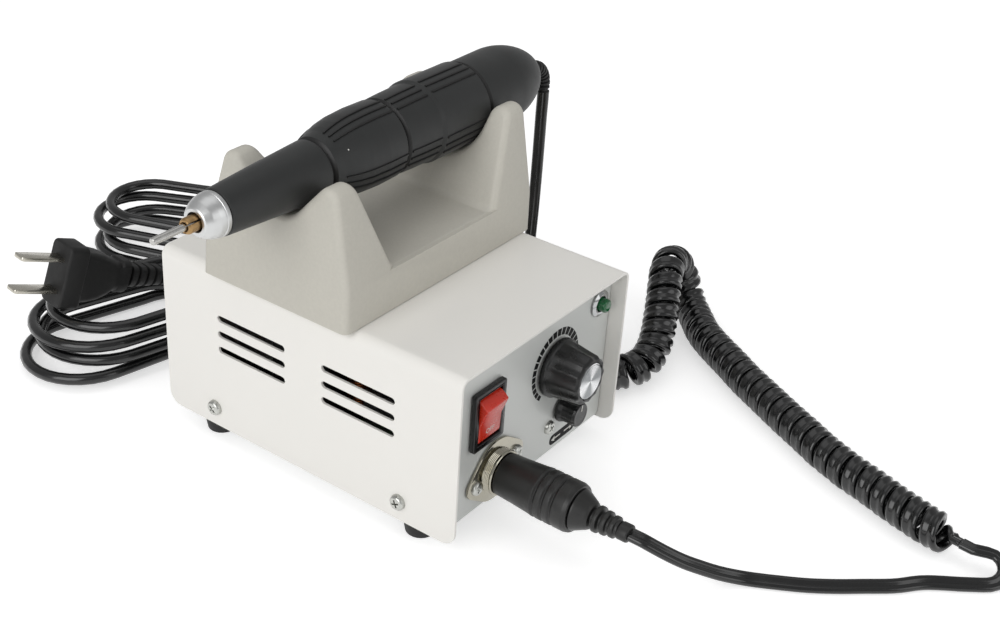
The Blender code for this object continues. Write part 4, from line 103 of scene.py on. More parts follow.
# Hanks of the mains lead: centre, half length, radius of the bend, azimuth, way round, drift per turn,
# number of turns and the share of a turn at which each one starts
FAR_HANK = ((0.0433, 0.1498, 0.0), 0.038, 0.017, math.radians(112), -1, (0.002, 0.0012, 0.0), 3.83, 0.04)
NEAR_HANK = ((-0.0203, 0.1132, 0.0), 0.038, 0.023, math.radians(165), 1, (0.003, -0.0005, 0.0), 3.68, 0.0)

# Camera of the photograph, and the place and size of each lamp
CAMERA_AT = (-0.3533, -0.2841, 0.3093)
CAMERA_RIGHT = Vector((0.5615, -0.8275, 0.0))
CAMERA_UP = Vector((0.4185, 0.2840, 0.8628))
CAMERA_ROLL = math.radians(3.91)
CAMERA_LENS = 53.78
LAMPS = {"key": ((-1.25, -0.12, 0.72), 1.1), "fill": ((0.15, -1.30, 0.60), 0.9),
         "top": ((0.15, 0.25, 1.45), 1.2)}
LAMP_AIM = Vector((0.02, 0.0, 0.05))

# Cord routes, the same points as in the part's source
CURL_ROUTE = ((0.060, 0.010, 0.0012), (0.060, -0.004, 0.0012), (0.062, -0.022, 0.0012),
              (0.067, -0.038, 0.0012), (0.0755, -0.050, 0.0012), (0.086, -0.0545, 0.002),
              (0.096, -0.0535, 0.0055), (0.1045, -0.050, 0.0115), (0.1135, -0.0455, 0.0185),
              (0.124, -0.040, 0.0235), (0.136, -0.0365, 0.0215), (0.1425, -0.0385, 0.0115),
              (0.138, -0.0455, 0.003), (0.131, -0.0535, 0.0012), (0.124, -0.060, 0.0012),
              (0.117, -0.070, 0.0012), (0.111, -0.080, 0.0012), (0.105, -0.089, 0.0012),
              (0.100, -0.098, 0.0012), (0.095, -0.107, 0.0012), (0.090, -0.116, 0.0012),
              (0.0855, -0.125, 0.0012), (0.081, -0.133, 0.0012), (0.078, -0.140, 0.0012),
              (0.075, -0.147, 0.0012), (0.073, -0.154, 0.0012), (0.0705, -0.161, 0.0012),
              (0.068, -0.168, 0.0012), (0.066, -0.175, 0.0012), (0.064, -0.182, 0.0012),
              (0.063, -0.190, 0.0012))
PLUG_LEAD_ROUTE = ((0.0655, -0.2045, 0.0), (0.062, -0.209, -0.002), (0.056, -0.208, -0.0038),
                   (0.050, -0.201, -0.0039), (0.042, -0.190, -0.0039), (0.034, -0.183, -0.0039),
                   (0.027, -0.175, -0.0039), (0.021, -0.168, -0.0039), (0.015, -0.160, -0.0039),
                   (0.0095, -0.151, -0.0039), (0.005, -0.1435, -0.0036), (-0.001, -0.1375, -0.001),
                   (-0.0065, -0.133, 0.0025), (-0.0115, -0.1285, 0.006), (-0.0155, -0.1235, 0.0095))
HAND_LEAD_ROUTE = ((0.0955, 0.0076, 0.085), (0.0955, 0.0076, 0.070), (0.0955, 0.0077, 0.055),
                   (0.0952, 0.0078, 0.040), (0.0948, 0.0082, 0.026), (0.0942, 0.010, 0.014),
                   (0.0925, 0.0145, 0.005), (0.0885, 0.0205, -0.001), (0.082, 0.0265, -0.0036),
                   (0.074, 0.0290, -0.0036), (0.0665, 0.0275, -0.0025), (0.0617, 0.0225, -0.0005))
INLET_ROUTE = ((0.0362, 0.0965, 0.0105), (0.0368, 0.1045, 0.0045), (0.0355, 0.112, -0.001),
               (0.0328, 0.1186, -0.0036))
LINK_ROUTE = ((0.0500, 0.1100, 0.0170), (0.0430, 0.1085, 0.0150), (0.0360, 0.1095, 0.0110),
              (0.0300, 0.1135, 0.0060), (0.0230, 0.1200, 0.0005), (0.0140, 0.1265, -0.0033),
              (0.0050, 0.1302, -0.0036))
OUTLET_ROUTE = ((0.0145, 0.0862, 0.0166), (0.0180, 0.0915, 0.0170), (0.0183, 0.0980, 0.0168),
                (0.0160, 0.1048, 0.0156), (0.0115, 0.1106, 0.0136), (0.0062, 0.1140, 0.0122))
PLUG_TAIL = Vector((-0.002, 0.1163, 0.0140))
PLUG_AZIMUTH = math.radians(171.0)
PLUG_RISE = math.radians(20.0)


def linear(code):
    """Linear colour of an sRGB hex code."""
    channels = [int(code[i:i + 2], 16) / 255 for i in (0, 2, 4)]
    return [c / 12.92 if c <= 0.04045 else ((c + 0.055) / 1.055) ** 2.4 for c in channels] + [1.0]


def size(name, words, default):
    """A length that a user can change."""
    return bpy.props.FloatProperty(name=name, description=words, default=default, min=0.0, unit="LENGTH",
                                   precision=5)


def colour(name, words, code):
    """A colour that a user can change."""
    return bpy.props.FloatVectorProperty(name=name, description=words, size=4, subtype="COLOR", min=0.0,
                                         max=1.0, default=linear(code))


def count(name, words, default, least, most):
    """A number of like details that a user can change."""
    return bpy.props.IntProperty(name=name, description=words, default=default, min=least, max=most)


def watts(name, words, default):
    """A lamp's power that a user can change."""
    return bpy.props.FloatProperty(name=name, description=words, default=default, min=0.0, unit="POWER")


class CaseSettings(bpy.types.PropertyGroup):
    """Sizes and colours of the sheet-metal case."""
    width: size("Width", "Width of the cover", COVER_HIGH.x - COVER_LOW.x)
    depth: size("Depth", "Depth of the cover", COVER_HIGH.y - COVER_LOW.y)
    height: size("Height", "Height of the cover", COVER_HIGH.z)
    sheet: size("Sheet", "Thickness of the cover's sheet", 0.001)
    bend: size("Bend", "Outer radius of the cover's bends", 0.0035)
    skirt: size("Skirt corner", "Radius of the cover's lower corners", 0.0052)
    vent: size("Vent width", "Width of a vent slot", 0.0026)
    paint: colour("Cover enamel", "Warm white enamel of the cover", "ECEAE5")
    panel: colour("Panel enamel", "Silver grey enamel of the tray and its panels", "D3D5D2")


class ControlSettings(bpy.types.PropertyGroup):
    """Sizes and colours of the controls on the front panel."""
    flutes: count("Knob flutes", "Scallops round the speed knob", 12, 6, 24)
    flute_depth: size("Flute depth", "Depth of the scallops", 0.0006)
    blocks: count("Scale blocks", "Printed blocks round the speed knob", 24, 8, 40)
    rocker: colour("Rocker", "Red of the rocker", "D22C14")
    lens: colour("Lens", "Green of the pilot lamp", "1E7B46")
    knob: colour("Knob", "Black of knobs and bezel", "0F1011")


class CradleSettings(bpy.types.PropertyGroup):
    """Sizes and colour of the moulded cradle."""
    edge: size("Edge radius", "Radius of the cradle's edges", 0.0023)
    inner: size("Valley half width", "Half the width of the cradle's floor", 0.0265)
    inner_top: size("Valley half width, top", "Half the valley's width at the posts' tops", 0.0397)
    plastic: colour("Cradle plastic", "Warm grey of the cradle", "C3C0B6")


class HandpieceSettings(bpy.types.PropertyGroup):
    """Sizes and colours of the handpiece."""
    columns: count("Columns", "Faces round the handpiece's sleeves", 120, 48, 240)
    groove_depth: size("Groove depth", "Depth of the long grooves", 0.0005)
    housing: colour("Housing", "Charcoal of the sleeves", "171919")
    cone: colour("Nose cone", "Polished aluminium", "CDCECE")


class CordSettings(bpy.types.PropertyGroup):
    """Sizes and colours of the cords."""
    lead_width: size("Lead width", "Width of the flat twin lead", 0.0050)
    lead_thick: size("Lead thickness", "Thickness of the flat twin lead", 0.0026)
    curl_width: size("Curl width", "Width of the cable in the curly cord", 0.0062)
    curl_thick: size("Curl thickness", "Thickness of the cable in the curly cord", 0.0028)
    curl_radius: size("Curl radius", "Outer radius of the curls", 0.0070)
    curl_pitch: size("Curl pitch", "Distance from curl to curl", 0.0068)
    mains: size("Mains diameter", "Diameter of the mains lead", 0.0045)
    sheath: colour("Sheath", "Black of the cords", "090A0B")


class StageSettings(bpy.types.PropertyGroup):
    """Studio, lamps and camera."""
    floor: size("Floor", "Side of the floor", 8.0)
    key: watts("Key light", "Power of the large lamp on the left", 10.5)
    fill: watts("Fill light", "Power of the lamp in front", 3.3)
    top: watts("Top light", "Power of the lamp overhead", 2.8)
    sky: bpy.props.FloatProperty(name="Room light", description="Strength of the even light of the room",
                                 default=0.45, min=0.0)
    pale: colour("Floor colour", "Pale colour of the floor", "EBEBEB")


GROUPS = {"case_settings": CaseSettings, "control_settings": ControlSettings,
          "cradle_settings": CradleSettings, "handpiece_settings": HandpieceSettings,
          "cord_settings": CordSettings, "stage_settings": StageSettings}


def add_node(tree, kind, settings=None, links=None):
    """Add a node, give it its settings and socket values, and link its inputs."""
    made = tree.nodes.new(kind)
    for name, value in (settings or {}).items():
        if isinstance(name, int) or name in made.inputs:
            made.inputs[name].default_value = value
        else:
            setattr(made, name, value)
    for name, source in (links or {}).items():
        tree.links.new(source, made.inputs[name])
    return made


def shades(tint, factor):
    """A colour made darker or paler by a factor."""
    return [min(channel * factor, 1.0) for channel in tint[:3]] + [1.0]


def flakes(tree, shader, place):
    """Tiny metal flakes, 0.6 mm apart so that they show."""
    cells = add_node(tree, "ShaderNodeTexVoronoi", {"Scale": 1 / (0.6 * MM), "feature": "F1"},
                     {"Vector": place})
    lift = add_node(tree, "ShaderNodeMapRange", {"From Min": 0.0, "From Max": 1.0, "To Min": 0.10,
                                                 "To Max": 0.22}, {"Value": cells.outputs["Distance"]})
    tree.links.new(lift.outputs["Result"], shader.inputs["Metallic"])


def mottle(tree, shader, place):
    """Darker flecks about a millimetre wide."""
    flecks = add_node(tree, "ShaderNodeTexNoise", {"Scale": 1 / (1.1 * MM), "Detail": 3.0}, {"Vector": place})
    strewn = add_node(tree, "ShaderNodeMapRange", {"From Min": 0.35, "From Max": 0.65, "To Min": 0.0,
                                                   "To Max": 0.35}, {"Value": flecks.outputs["Fac"]})
    tint = bpy.context.scene.cradle_settings.plastic
    overlaid(tree, shader, shades(tint, 0.86), strewn.outputs["Result"])


def stripe(tree, shader, place):
    """A pale stripe down the capacitor's left side."""
    apart = add_node(tree, "ShaderNodeSeparateXYZ", {}, {"Vector": place})
    left = add_node(tree, "ShaderNodeMath", {"operation": "LESS_THAN", 1: 0.0165}, {0: apart.outputs["X"]})
    overlaid(tree, shader, linear("B9BEC8"), left.outputs["Value"])


def overlaid(tree, shader, tint, share):
    """Lay a colour over a finish's own by a share."""
    under = shader.inputs["Base Color"].links[0].from_socket
    mixed = add_node(tree, "ShaderNodeMix", {"data_type": "RGBA", 7: tint}, {0: share, 6: under})
    tree.links.new(mixed.outputs[2], shader.inputs["Base Color"])


def traces(tree, shader, place):
    """Paler tracks on a grid of 4 mm."""
    grid = add_node(tree, "ShaderNodeTexBrick", {"Scale": 1 / (4 * MM), "Mortar Size": 0.06,
                                                 "Color1": linear("2D5E3A"), "Color2": linear("2A5536"),
                                                 "Mortar": linear("5E8A4C")}, {"Vector": place})
    tree.links.new(grid.outputs["Color"], shader.inputs["Base Color"])


def painted_reflection_sectors(tree, shader, place):
    """Painted reflection: light and dark sectors painted into the colour, three of each, standing in for the
    reflection that the rings of a faced disc spread out from its centre.
    """
    upright = add_node(tree, "ShaderNodeMapping",
                       {"vector_type": "TEXTURE", "Rotation": (math.pi / 2, 0, 0),
                        "Location": (DIAL_AT[0], PANEL_Y, DIAL_AT[1])}, {"Vector": place})
    round_it = add_node(tree, "ShaderNodeTexGradient", {"gradient_type": "RADIAL"},
                        {"Vector": upright.outputs["Vector"]})
    turns = add_node(tree, "ShaderNodeMath", {"operation": "MULTIPLY_ADD", 1: math.tau * 3, 2: 0.9},
                     {0: round_it.outputs["Fac"]})
    swing = add_node(tree, "ShaderNodeMath", {"operation": "SINE"}, {0: turns.outputs["Value"]})
    share = add_node(tree, "ShaderNodeMapRange", {"From Min": -0.6, "From Max": 0.9},
                     {"Value": swing.outputs["Value"]})
    # painted reflection: pale and dark grey sectors take the place of the cap's own colour
    mixed = add_node(tree, "ShaderNodeMix", {"data_type": "RGBA", 6: linear("8F9294"), 7: linear("E6E7E8")},
                     {0: share.outputs["Result"]})
    tree.links.new(mixed.outputs[2], shader.inputs["Base Color"])


def finish(name):
    """The finish of that name, made once from its row of the table."""
    if name not in MADE:
        MADE[name] = surface(**{key: value for key, value in FINISHES[name].items() if key != "slot"})
    return MADE[name]


def surface(name, tint, rough, patch, grain, relief, metallic=0.0, uneven=0.05, dark=0.88, ior=1.5,
            marks=None, rings=None, sockets=None, over=None):
    """A finish: broad patches in colour and gloss over a fine grain, and then its own marks.

    tint is a hex code or the name of a user's colour. patch, grain and relief are real lengths in
    millimetres: the width of a patch, of one grain and its height. marks are fine lines: pitch, height and
    direction, and rings is the centre of ring-shaped ones. over draws what only this finish has.
    """
    group, _, field = tint.partition(".")
    tint = getattr(getattr(bpy.context.scene, group), field) if field else linear(tint)
    made = bpy.data.materials.new(name)
    made.use_nodes = True
    tree = made.node_tree
    shader = tree.nodes["Principled BSDF"]
    plain = {"Metallic": metallic} if metallic else {"Metallic": metallic, "IOR": ior}
    for socket, value in {**plain, **(sockets or {})}.items():
        shader.inputs[socket].default_value = value
    place = add_node(tree, "ShaderNodeTexCoord").outputs["Object"]
    broad = add_node(tree, "ShaderNodeTexNoise", {"Scale": 1 / (patch * MM), "Detail": 4.0, "Roughness": 0.6},
                     {"Vector": place})
    mixed = add_node(tree, "ShaderNodeMix", {"data_type": "RGBA", 6: shades(tint, dark), 7: list(tint)},
                     {0: broad.outputs["Fac"]})
    gloss = add_node(tree, "ShaderNodeMapRange", {"From Min": 0.3, "From Max": 0.7, "To Min": rough - uneven,
                                                  "To Max": rough + uneven}, {"Value": broad.outputs["Fac"]})
    fine = add_node(tree, "ShaderNodeTexNoise", {"Scale": 1 / (grain * MM), "Detail": 2.0}, {"Vector": place})
    bump = add_node(tree, "ShaderNodeBump", {"Strength": 1.0, "Distance": relief * MM},
                    {"Height": fine.outputs["Fac"]})
    if marks:
        pitch, height, direction = marks
        shifted = add_node(tree, "ShaderNodeMapping",
                           {"vector_type": "POINT", "Location": [-c for c in rings or (0, 0, 0)]},
                           {"Vector": place})
        kind = {"wave_type": "RINGS", "rings_direction": direction} if rings else {
            "wave_type": "BANDS", "bands_direction": direction}
        lines = add_node(tree, "ShaderNodeTexWave", {**kind, "Scale": math.tau / 20 / (pitch * MM),
                                                     "Distortion": 0.6, "Detail": 1.0},
                         {"Vector": shifted.outputs["Vector"]})
        bump = add_node(tree, "ShaderNodeBump", {"Strength": 1.0, "Distance": height * MM},
                        {"Height": lines.outputs["Fac"], "Normal": bump.outputs["Normal"]})
    tree.links.new(mixed.outputs[2], shader.inputs["Base Color"])
    tree.links.new(gloss.outputs["Result"], shader.inputs["Roughness"])
    tree.links.new(bump.outputs["Normal"], shader.inputs["Normal"])
    if over:
        over(tree, shader, place)
    return made


MADE = {}
# slot names the frame's slot for a piece with this finish, unless the piece names another; nothing here reads
# either
FINISHES = {
    # Stoved powder enamel on sheet: a satin skin with a faint orange peel of about a millimetre
    "stoved_enamel": dict(
        name="stoved_enamel_white", tint="case_settings.paint", rough=0.34, patch=50, grain=0.9, relief=0.004,
        dark=0.965, sockets={"Coat Weight": 0.15, "Coat Roughness": 0.2}, slot="cover_paint"),
    # Silver grey stoved enamel: tiny metal flakes give the panel a soft, slightly cold sheen
    "silver_enamel": dict(
        name="stoved_enamel_silver", tint="case_settings.panel", rough=0.42, patch=30, grain=0.5,
        relief=0.004, dark=0.95, over=flakes),
    # Moulded ABS with a spark-eroded texture: matt, with grains of 0.4 mm and a barely mottled colour
    "moulded_abs": dict(
        name="moulded_abs_grey", tint="cradle_settings.plastic", rough=0.56, patch=6, grain=0.4, relief=0.03,
        dark=0.93, over=mottle, slot="cradle_plastic"),
    # Soft-touch coat on aluminium: matt charcoal that scatters light at grazing angles
    "soft_coat": dict(
        name="soft_coat_charcoal", tint="handpiece_settings.housing", rough=0.56, patch=8, grain=0.35,
        relief=0.012, dark=0.82, sockets={"Sheen Weight": 0.08, "Sheen Roughness": 0.5},
        slot="handpiece_black"),
    # Painted shade for the gaps between the sleeves, their grooves and the fuse cap's slot: darker and a
    # little glossier than the coat
    "painted_groove_shade": dict(
        name="blackened_steel", tint="060606", rough=0.5, patch=10, grain=0.4, relief=0.006,
        slot="handpiece_black"),
    # Moulded glass-filled nylon: black, satin, with a slightly cloudy gloss
    "nylon": dict(
        name="moulded_nylon_black", tint="control_settings.knob", rough=0.31, patch=4, grain=0.3,
        relief=0.008, uneven=0.08, dark=0.7, slot="black_plastic"),
    # Moulded vinyl of the lead's plug: black with a worn, greyish shine where fingers hold it
    "plug_vinyl": dict(
        name="moulded_vinyl_black", tint="1B1B1A", rough=0.40, patch=6, grain=0.5, relief=0.01, uneven=0.1,
        dark=0.62, slot="black_plastic"),
    # Moulded rubber: deep black, dull, with a powdery grain
    "rubber": dict(
        name="moulded_rubber_black", tint="0D0D0D", rough=0.62, patch=5, grain=0.3, relief=0.015, dark=0.7,
        slot="black_rubber"),
    # Extruded vinyl sheath: smooth glossy black with faint drag marks from the die
    "sheath_vinyl": dict(
        name="extruded_vinyl_black", tint="cord_settings.sheath", rough=0.22, patch=10, grain=1.2,
        relief=0.012, uneven=0.06, dark=0.7, sockets={"Coat Weight": 0.3, "Coat Roughness": 0.12},
        slot="cord_black"),
    # Moulded red polycarbonate: bright, glossy and a little translucent, as a lit rocker is
    "red_polycarbonate": dict(
        name="moulded_polycarbonate_red", tint="control_settings.rocker", rough=0.28, patch=4, grain=0.6,
        relief=0.006, dark=0.8, ior=1.58, slot="switch_red",
        sockets={"Subsurface Weight": 0.2, "Subsurface Radius": (0.0012, 0.0003, 0.0002),
                 "Subsurface Scale": 1.0}),
    # Moulded green polycarbonate lens: clear and deep, with a bright rim
    "green_lens": dict(
        name="moulded_polycarbonate_green", tint="control_settings.lens", rough=0.08, patch=2, grain=0.8,
        relief=0.01, uneven=0.03, dark=0.6, ior=1.58, sockets={"Transmission Weight": 0.35},
        slot="lens_green"),
    # Bright chrome plate over brass: a mirror with only slight waves from the base metal
    "chrome": dict(
        name="chrome_plate", tint="B4B5B6", rough=0.09, patch=6, grain=1.5, relief=0.006, metallic=1.0,
        uneven=0.04, dark=0.9, slot="bright_steel"),
    # Nickel plate on the socket: a warm, slightly yellow mirror with polishing marks
    "nickel": dict(
        name="nickel_plate", tint="B3AFA1", rough=0.14, patch=5, grain=0.8, relief=0.006, metallic=1.0,
        uneven=0.06, dark=0.8, marks=(0.4, 0.002, "Y"), rings=(SOCKET_AT[0], PANEL_Y, SOCKET_AT[1]),
        slot="bright_steel"),
    # Bright zinc plate on small screws: pale metal with a milky bloom
    "zinc": dict(
        name="zinc_plate", tint="C6C7C2", rough=0.3, patch=2, grain=0.3, relief=0.004, metallic=1.0,
        uneven=0.1, dark=0.75, slot="bright_steel"),
    # Turned and polished aluminium: silvery, with tool rings 0.25 mm apart across the axis
    "turned_aluminium": dict(
        name="turned_aluminium", tint="handpiece_settings.cone", rough=0.37, patch=12, grain=0.6,
        relief=0.002, metallic=1.0, uneven=0.03, dark=0.93, marks=(0.25, 0.0025, "X"), slot="aluminium"),
    # Faced aluminium cap: rings drawn 0.35 mm apart so that they show, and painted light and dark sectors
    # standing in for the reflection that they spread out
    "spun_aluminium": dict(
        name="faced_aluminium", tint="DADCDD", rough=0.25, patch=4, grain=0.6, relief=0.002, metallic=1.0,
        uneven=0.05, dark=0.85, marks=(0.35, 0.006, "Y"), rings=(DIAL_AT[0], PANEL_Y, DIAL_AT[1]), over=painted_reflection_sectors,
        slot="aluminium"),
    # Turned brass of the collet: yellow-brown, dulled by handling
    "turned_brass": dict(
        name="turned_brass", tint="B39266", rough=0.4, patch=2, grain=0.4, relief=0.004, metallic=1.0,
        uneven=0.08, dark=0.65, marks=(0.3, 0.003, "X"), slot="brass"),
    # Ground steel of shank, spindle and bearings: cool grey with fine lines round the axis
    "ground_steel": dict(
        name="ground_steel", tint="C2C1BE", rough=0.26, patch=3, grain=0.4, relief=0.002, metallic=1.0,
        uneven=0.06, dark=0.8, marks=(0.2, 0.0015, "X"), slot="bright_steel"),
    # Stamped, nickel-plated brass blades: pale metal with lengthwise marks
    "nickel_blade": dict(
        name="stamped_nickel", tint="C9C5BA", rough=0.27, patch=4, grain=0.5, relief=0.003, metallic=1.0,
        uneven=0.08, dark=0.8, marks=(0.5, 0.002, "Z"), slot="brass"),
    # White printing ink: thin, matt and slightly uneven
    "white_print": dict(
        name="printed_ink_white", tint="DCDAD4", rough=0.55, patch=1, grain=0.2, relief=0.002, dark=0.85,
        slot="cover_paint"),
    # Black screen-printing ink on the panel: flat black with a soft edge to its gloss
    "black_print": dict(
        name="printed_ink_black", tint="030304", rough=0.62, patch=1, grain=0.3, relief=0.002, dark=0.75,
        ior=1.3, slot="black_plastic"),
    # Glass-epoxy board under green solder mask, with paler traces about a millimetre wide
    "board_laminate": dict(
        name="glass_epoxy_green", tint="2D5E3A", rough=0.4, patch=4, grain=0.3, relief=0.004, over=traces),
    # Heat-shrunk film on the capacitor: dark blue with a pale stripe down one side
    "shrink_sleeve": dict(
        name="shrunk_film_blue", tint="25304B", rough=0.3, patch=5, grain=0.8, relief=0.006, over=stripe),
    # Stack of stamped steel sheets: dark varnished edges, the sheets drawn 0.8 mm thick so that they show
    "laminations": dict(
        name="laminated_steel", tint="6A6C6E", rough=0.5, patch=6, grain=0.4, relief=0.006, metallic=1.0,
        dark=0.7, marks=(0.8, 0.06, "Y")),
    # Sintered magnet and rotor steel: dark grey and grainy
    "magnet": dict(
        name="sintered_steel", tint="55585A", rough=0.5, patch=3, grain=0.4, relief=0.02, metallic=1.0,
        dark=0.7),
    # Extruded aluminium of heat sink and potentiometer can: pale, with drawing lines along it
    "drawn_aluminium": dict(
        name="extruded_aluminium", tint="C9CACB", rough=0.4, patch=6, grain=0.5, relief=0.004, metallic=1.0,
        dark=0.8, marks=(0.5, 0.004, "Z")),
    # Enamelled copper wire, wound in layers: warm brown and glossy
    "enamelled_copper": dict(
        name="enamelled_copper", tint="9C5730", rough=0.3, patch=4, grain=0.6, relief=0.01, metallic=1.0,
        dark=0.7, slot="copper"),
}


def turned(degrees, axis):
    """Turn by degrees about an axis."""
    return Matrix.Rotation(math.radians(degrees), 4, axis)


def on_front(x, z):
    """Place on the outer face of the front panel: local Z points out of it and local Y up."""
    return Matrix.Translation((x, PANEL_Y, z)) @ turned(90, "X")


def on_rear(x, z):
    """Place on the outer face of the rear panel: local Z points out of it and local Y down."""
    return Matrix.Translation((x, REAR_Y, z)) @ turned(-90, "X")


def on_hand():
    """Place on the handpiece's axis: local Z runs back from the front of the black nose sleeve."""
    return Matrix.Translation(HAND_START) @ turned(90, "Y")


def piece(name, bm, look, *nodes, body="base", place=None, angle=35.0, slot=None, second=None):
    """Make a finished piece of a mesh in place of the CAD nodes: shaded, and riding on its body."""
    bmesh.ops.remove_doubles(bm, verts=bm.verts[:], dist=0.000001)
    bmesh.ops.recalc_face_normals(bm, faces=bm.faces[:])
    if place:
        moved(bm, place)
    mesh = bpy.data.meshes.new(name)
    bm.to_mesh(mesh)
    bm.free()
    mesh.shade_smooth()
    mesh.set_sharp_from_angle(angle=math.radians(angle))
    for shown in (look, second) if second else (look,):
        mesh.materials.append(finish(shown))
    obj = bpy.data.objects.new(name, mesh)
    bpy.context.scene.collection.objects.link(obj)
    if body:
        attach(obj, body)
    if nodes:
        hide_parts(*nodes)
    return obj


def dress(look, *nodes):
    """Give CAD nodes that are shown as they are a finish of this file."""
    for node in nodes:
        for slot in bpy.data.objects[node].material_slots:
            slot.material = finish(look)


def verts_of(geom):
    """The vertices among mesh elements."""
    return [g for g in geom if isinstance(g, bmesh.types.BMVert)]


def edges_of(geom):
    """The edges among mesh elements."""
    return [g for g in geom if isinstance(g, bmesh.types.BMEdge)]


def moved(bm, matrix):
    """The whole mesh, moved."""
    bmesh.ops.transform(bm, matrix=matrix, verts=bm.verts[:])
    return bm


def drawn_on(bm, edges, way):
    """Draw edges on to a new edge of the sheet, and give the new edges."""
    drawn = bmesh.ops.extrude_edge_only(bm, edges=edges)["geom"]
    bmesh.ops.translate(bm, vec=way, verts=verts_of(drawn))
    return edges_of(drawn)


def looped(bm, points):
    """Closed loop of edges through new vertices."""
    verts = [bm.verts.new(point) for point in points]
    return [bm.edges.new((verts[i - 1], verts[i])) for i in range(len(verts))]


def filled(bm, edges, normal, dissolve=False):
    """Fill the flat region between loops of edges."""
    bmesh.ops.triangle_fill(bm, use_beauty=True, use_dissolve=dissolve, edges=edges, normal=normal)


def bridged(bm, loops, closed=True):
    """Skin from loop to loop, closed at both ends."""
    for near, far in zip(loops, loops[1:]):
        bmesh.ops.bridge_loops(bm, edges=near + far)
    for loop in (loops[0], loops[-1]) if closed else ():
        bmesh.ops.contextual_create(bm, geom=loop)


def skinned(bm, rings):
    """Skin over rings of vertices that match one to one, closed at both ends."""
    for near, far in zip(rings, rings[1:]):
        for index in range(len(near)):
            bm.faces.new((near[index - 1], near[index], far[index], far[index - 1]))
    bm.faces.new(rings[0])
    bm.faces.new(rings[-1])
    return bm


def profile(corners, steps=4):
    """Polyline through (radius, height, fillet) corners, each inner corner rounded with its own arc."""
    points = [Vector(corners[0][:2])]
    for before, here, after in zip(corners, corners[1:], corners[2:]):
        corner = Vector(here[:2])
        back = Vector(before[:2]) - corner
        on = Vector(after[:2]) - corner
        if len(here) < 3 or not here[2]:
            points.append(corner)
            continue
        half = back.angle(on) / 2
        reach = min(here[2] / math.tan(half), back.length * 0.49, on.length * 0.49)
        radius = reach * math.tan(half)
        middle = corner + (back.normalized() + on.normalized()).normalized() * radius / math.sin(half)
        start = corner + back.normalized() * reach - middle
        turn = start.angle_signed(corner + on.normalized() * reach - middle)
        for step in range(steps + 1):
            points.append(middle + Matrix.Rotation(-turn * step / steps, 2) @ start)
    points.append(Vector(corners[-1][:2]))
    return points


def rounded(x, y, radius, steps):
    """Rectangle with rounded corners, x and y being its half sizes, from the middle of its right side on."""
    corners = [(sx * x, sy * y, radius) for sx, sy in ((1, 1), (-1, 1), (-1, -1), (1, -1))]
    return profile([(x, 0), *corners, (x, 0)], steps)[:-1]


def metres(corners):
    """Corners given in millimetres, as metres."""
    return [[value * MM for value in corner] for corner in corners]


def spun(corners, steps=48, fillet_steps=4):
    """Solid of revolution about Z from (radius, height, fillet) corners in millimetres."""
    bm = bmesh.new()
    verts = [bm.verts.new((point.x, 0, point.y)) for point in profile(metres(corners), fillet_steps)]
    edges = [bm.edges.new(pair) for pair in zip(verts, verts[1:])]
    bmesh.ops.spin(bm, geom=verts + edges, cent=(0, 0, 0), axis=(0, 0, 1), angle=math.tau, steps=steps,
                   use_merge=True)
    bmesh.ops.remove_doubles(bm, verts=bm.verts[:], dist=0.000001)
    return bm


def outline(points, height, low=0.0):
    """Prism of an outline in the XY plane, from low on by a height, both in millimetres."""
    bm = bmesh.new()
    face = bm.faces.new([bm.verts.new((x, y, low * MM)) for x, y in points])
    raised = bmesh.ops.extrude_face_region(bm, geom=[face])["geom"]
    bmesh.ops.translate(bm, vec=(0, 0, height * MM), verts=verts_of(raised))
    return bm


def box(wide, deep, high, centre):
    """Block of the given size round a centre, in millimetres."""
    bm = bmesh.new()
    bmesh.ops.create_cube(bm, size=1.0, matrix=Matrix.Translation(Vector(centre) * MM)
                          @ Matrix.Diagonal((wide * MM, deep * MM, high * MM, 1)))
    return bm


def sharp_edges(bm, angle=35.0):
    """Edges where two faces meet at more than an angle."""
    return [e for e in bm.edges if len(e.link_faces) == 2 and e.calc_face_angle(0.0) > math.radians(angle)]


def softened(bm, width, segments=3, edges=None):
    """Round the sharp edges, or those given."""
    bmesh.ops.recalc_face_normals(bm, faces=bm.faces[:])
    bmesh.ops.bevel(bm, geom=sharp_edges(bm) if edges is None else edges, offset=width, segments=segments,
                    profile=0.5, affect="EDGES", material=-1, clamp_overlap=True)
    return bm


def joined(*meshes):
    """One mesh of several."""
    whole = meshes[0]
    for other in meshes[1:]:
        kept = bpy.data.meshes.new("joined")
        other.to_mesh(kept)
        other.free()
        whole.from_mesh(kept)
        bpy.data.meshes.remove(kept)
    return whole


def stepped(bm, edges, stops):
    """Draw a loop of edges on through (scale, rise) stops about the Z axis, and give its last loop."""
    for scale, rise in stops:
        edges = drawn_on(bm, edges, (0, 0, 0))
        verts = list({v for e in edges for v in e.verts})
        bmesh.ops.scale(bm, vec=(scale, scale, 1), verts=verts)
        bmesh.ops.translate(bm, vec=(0, 0, rise), verts=verts)
    return edges


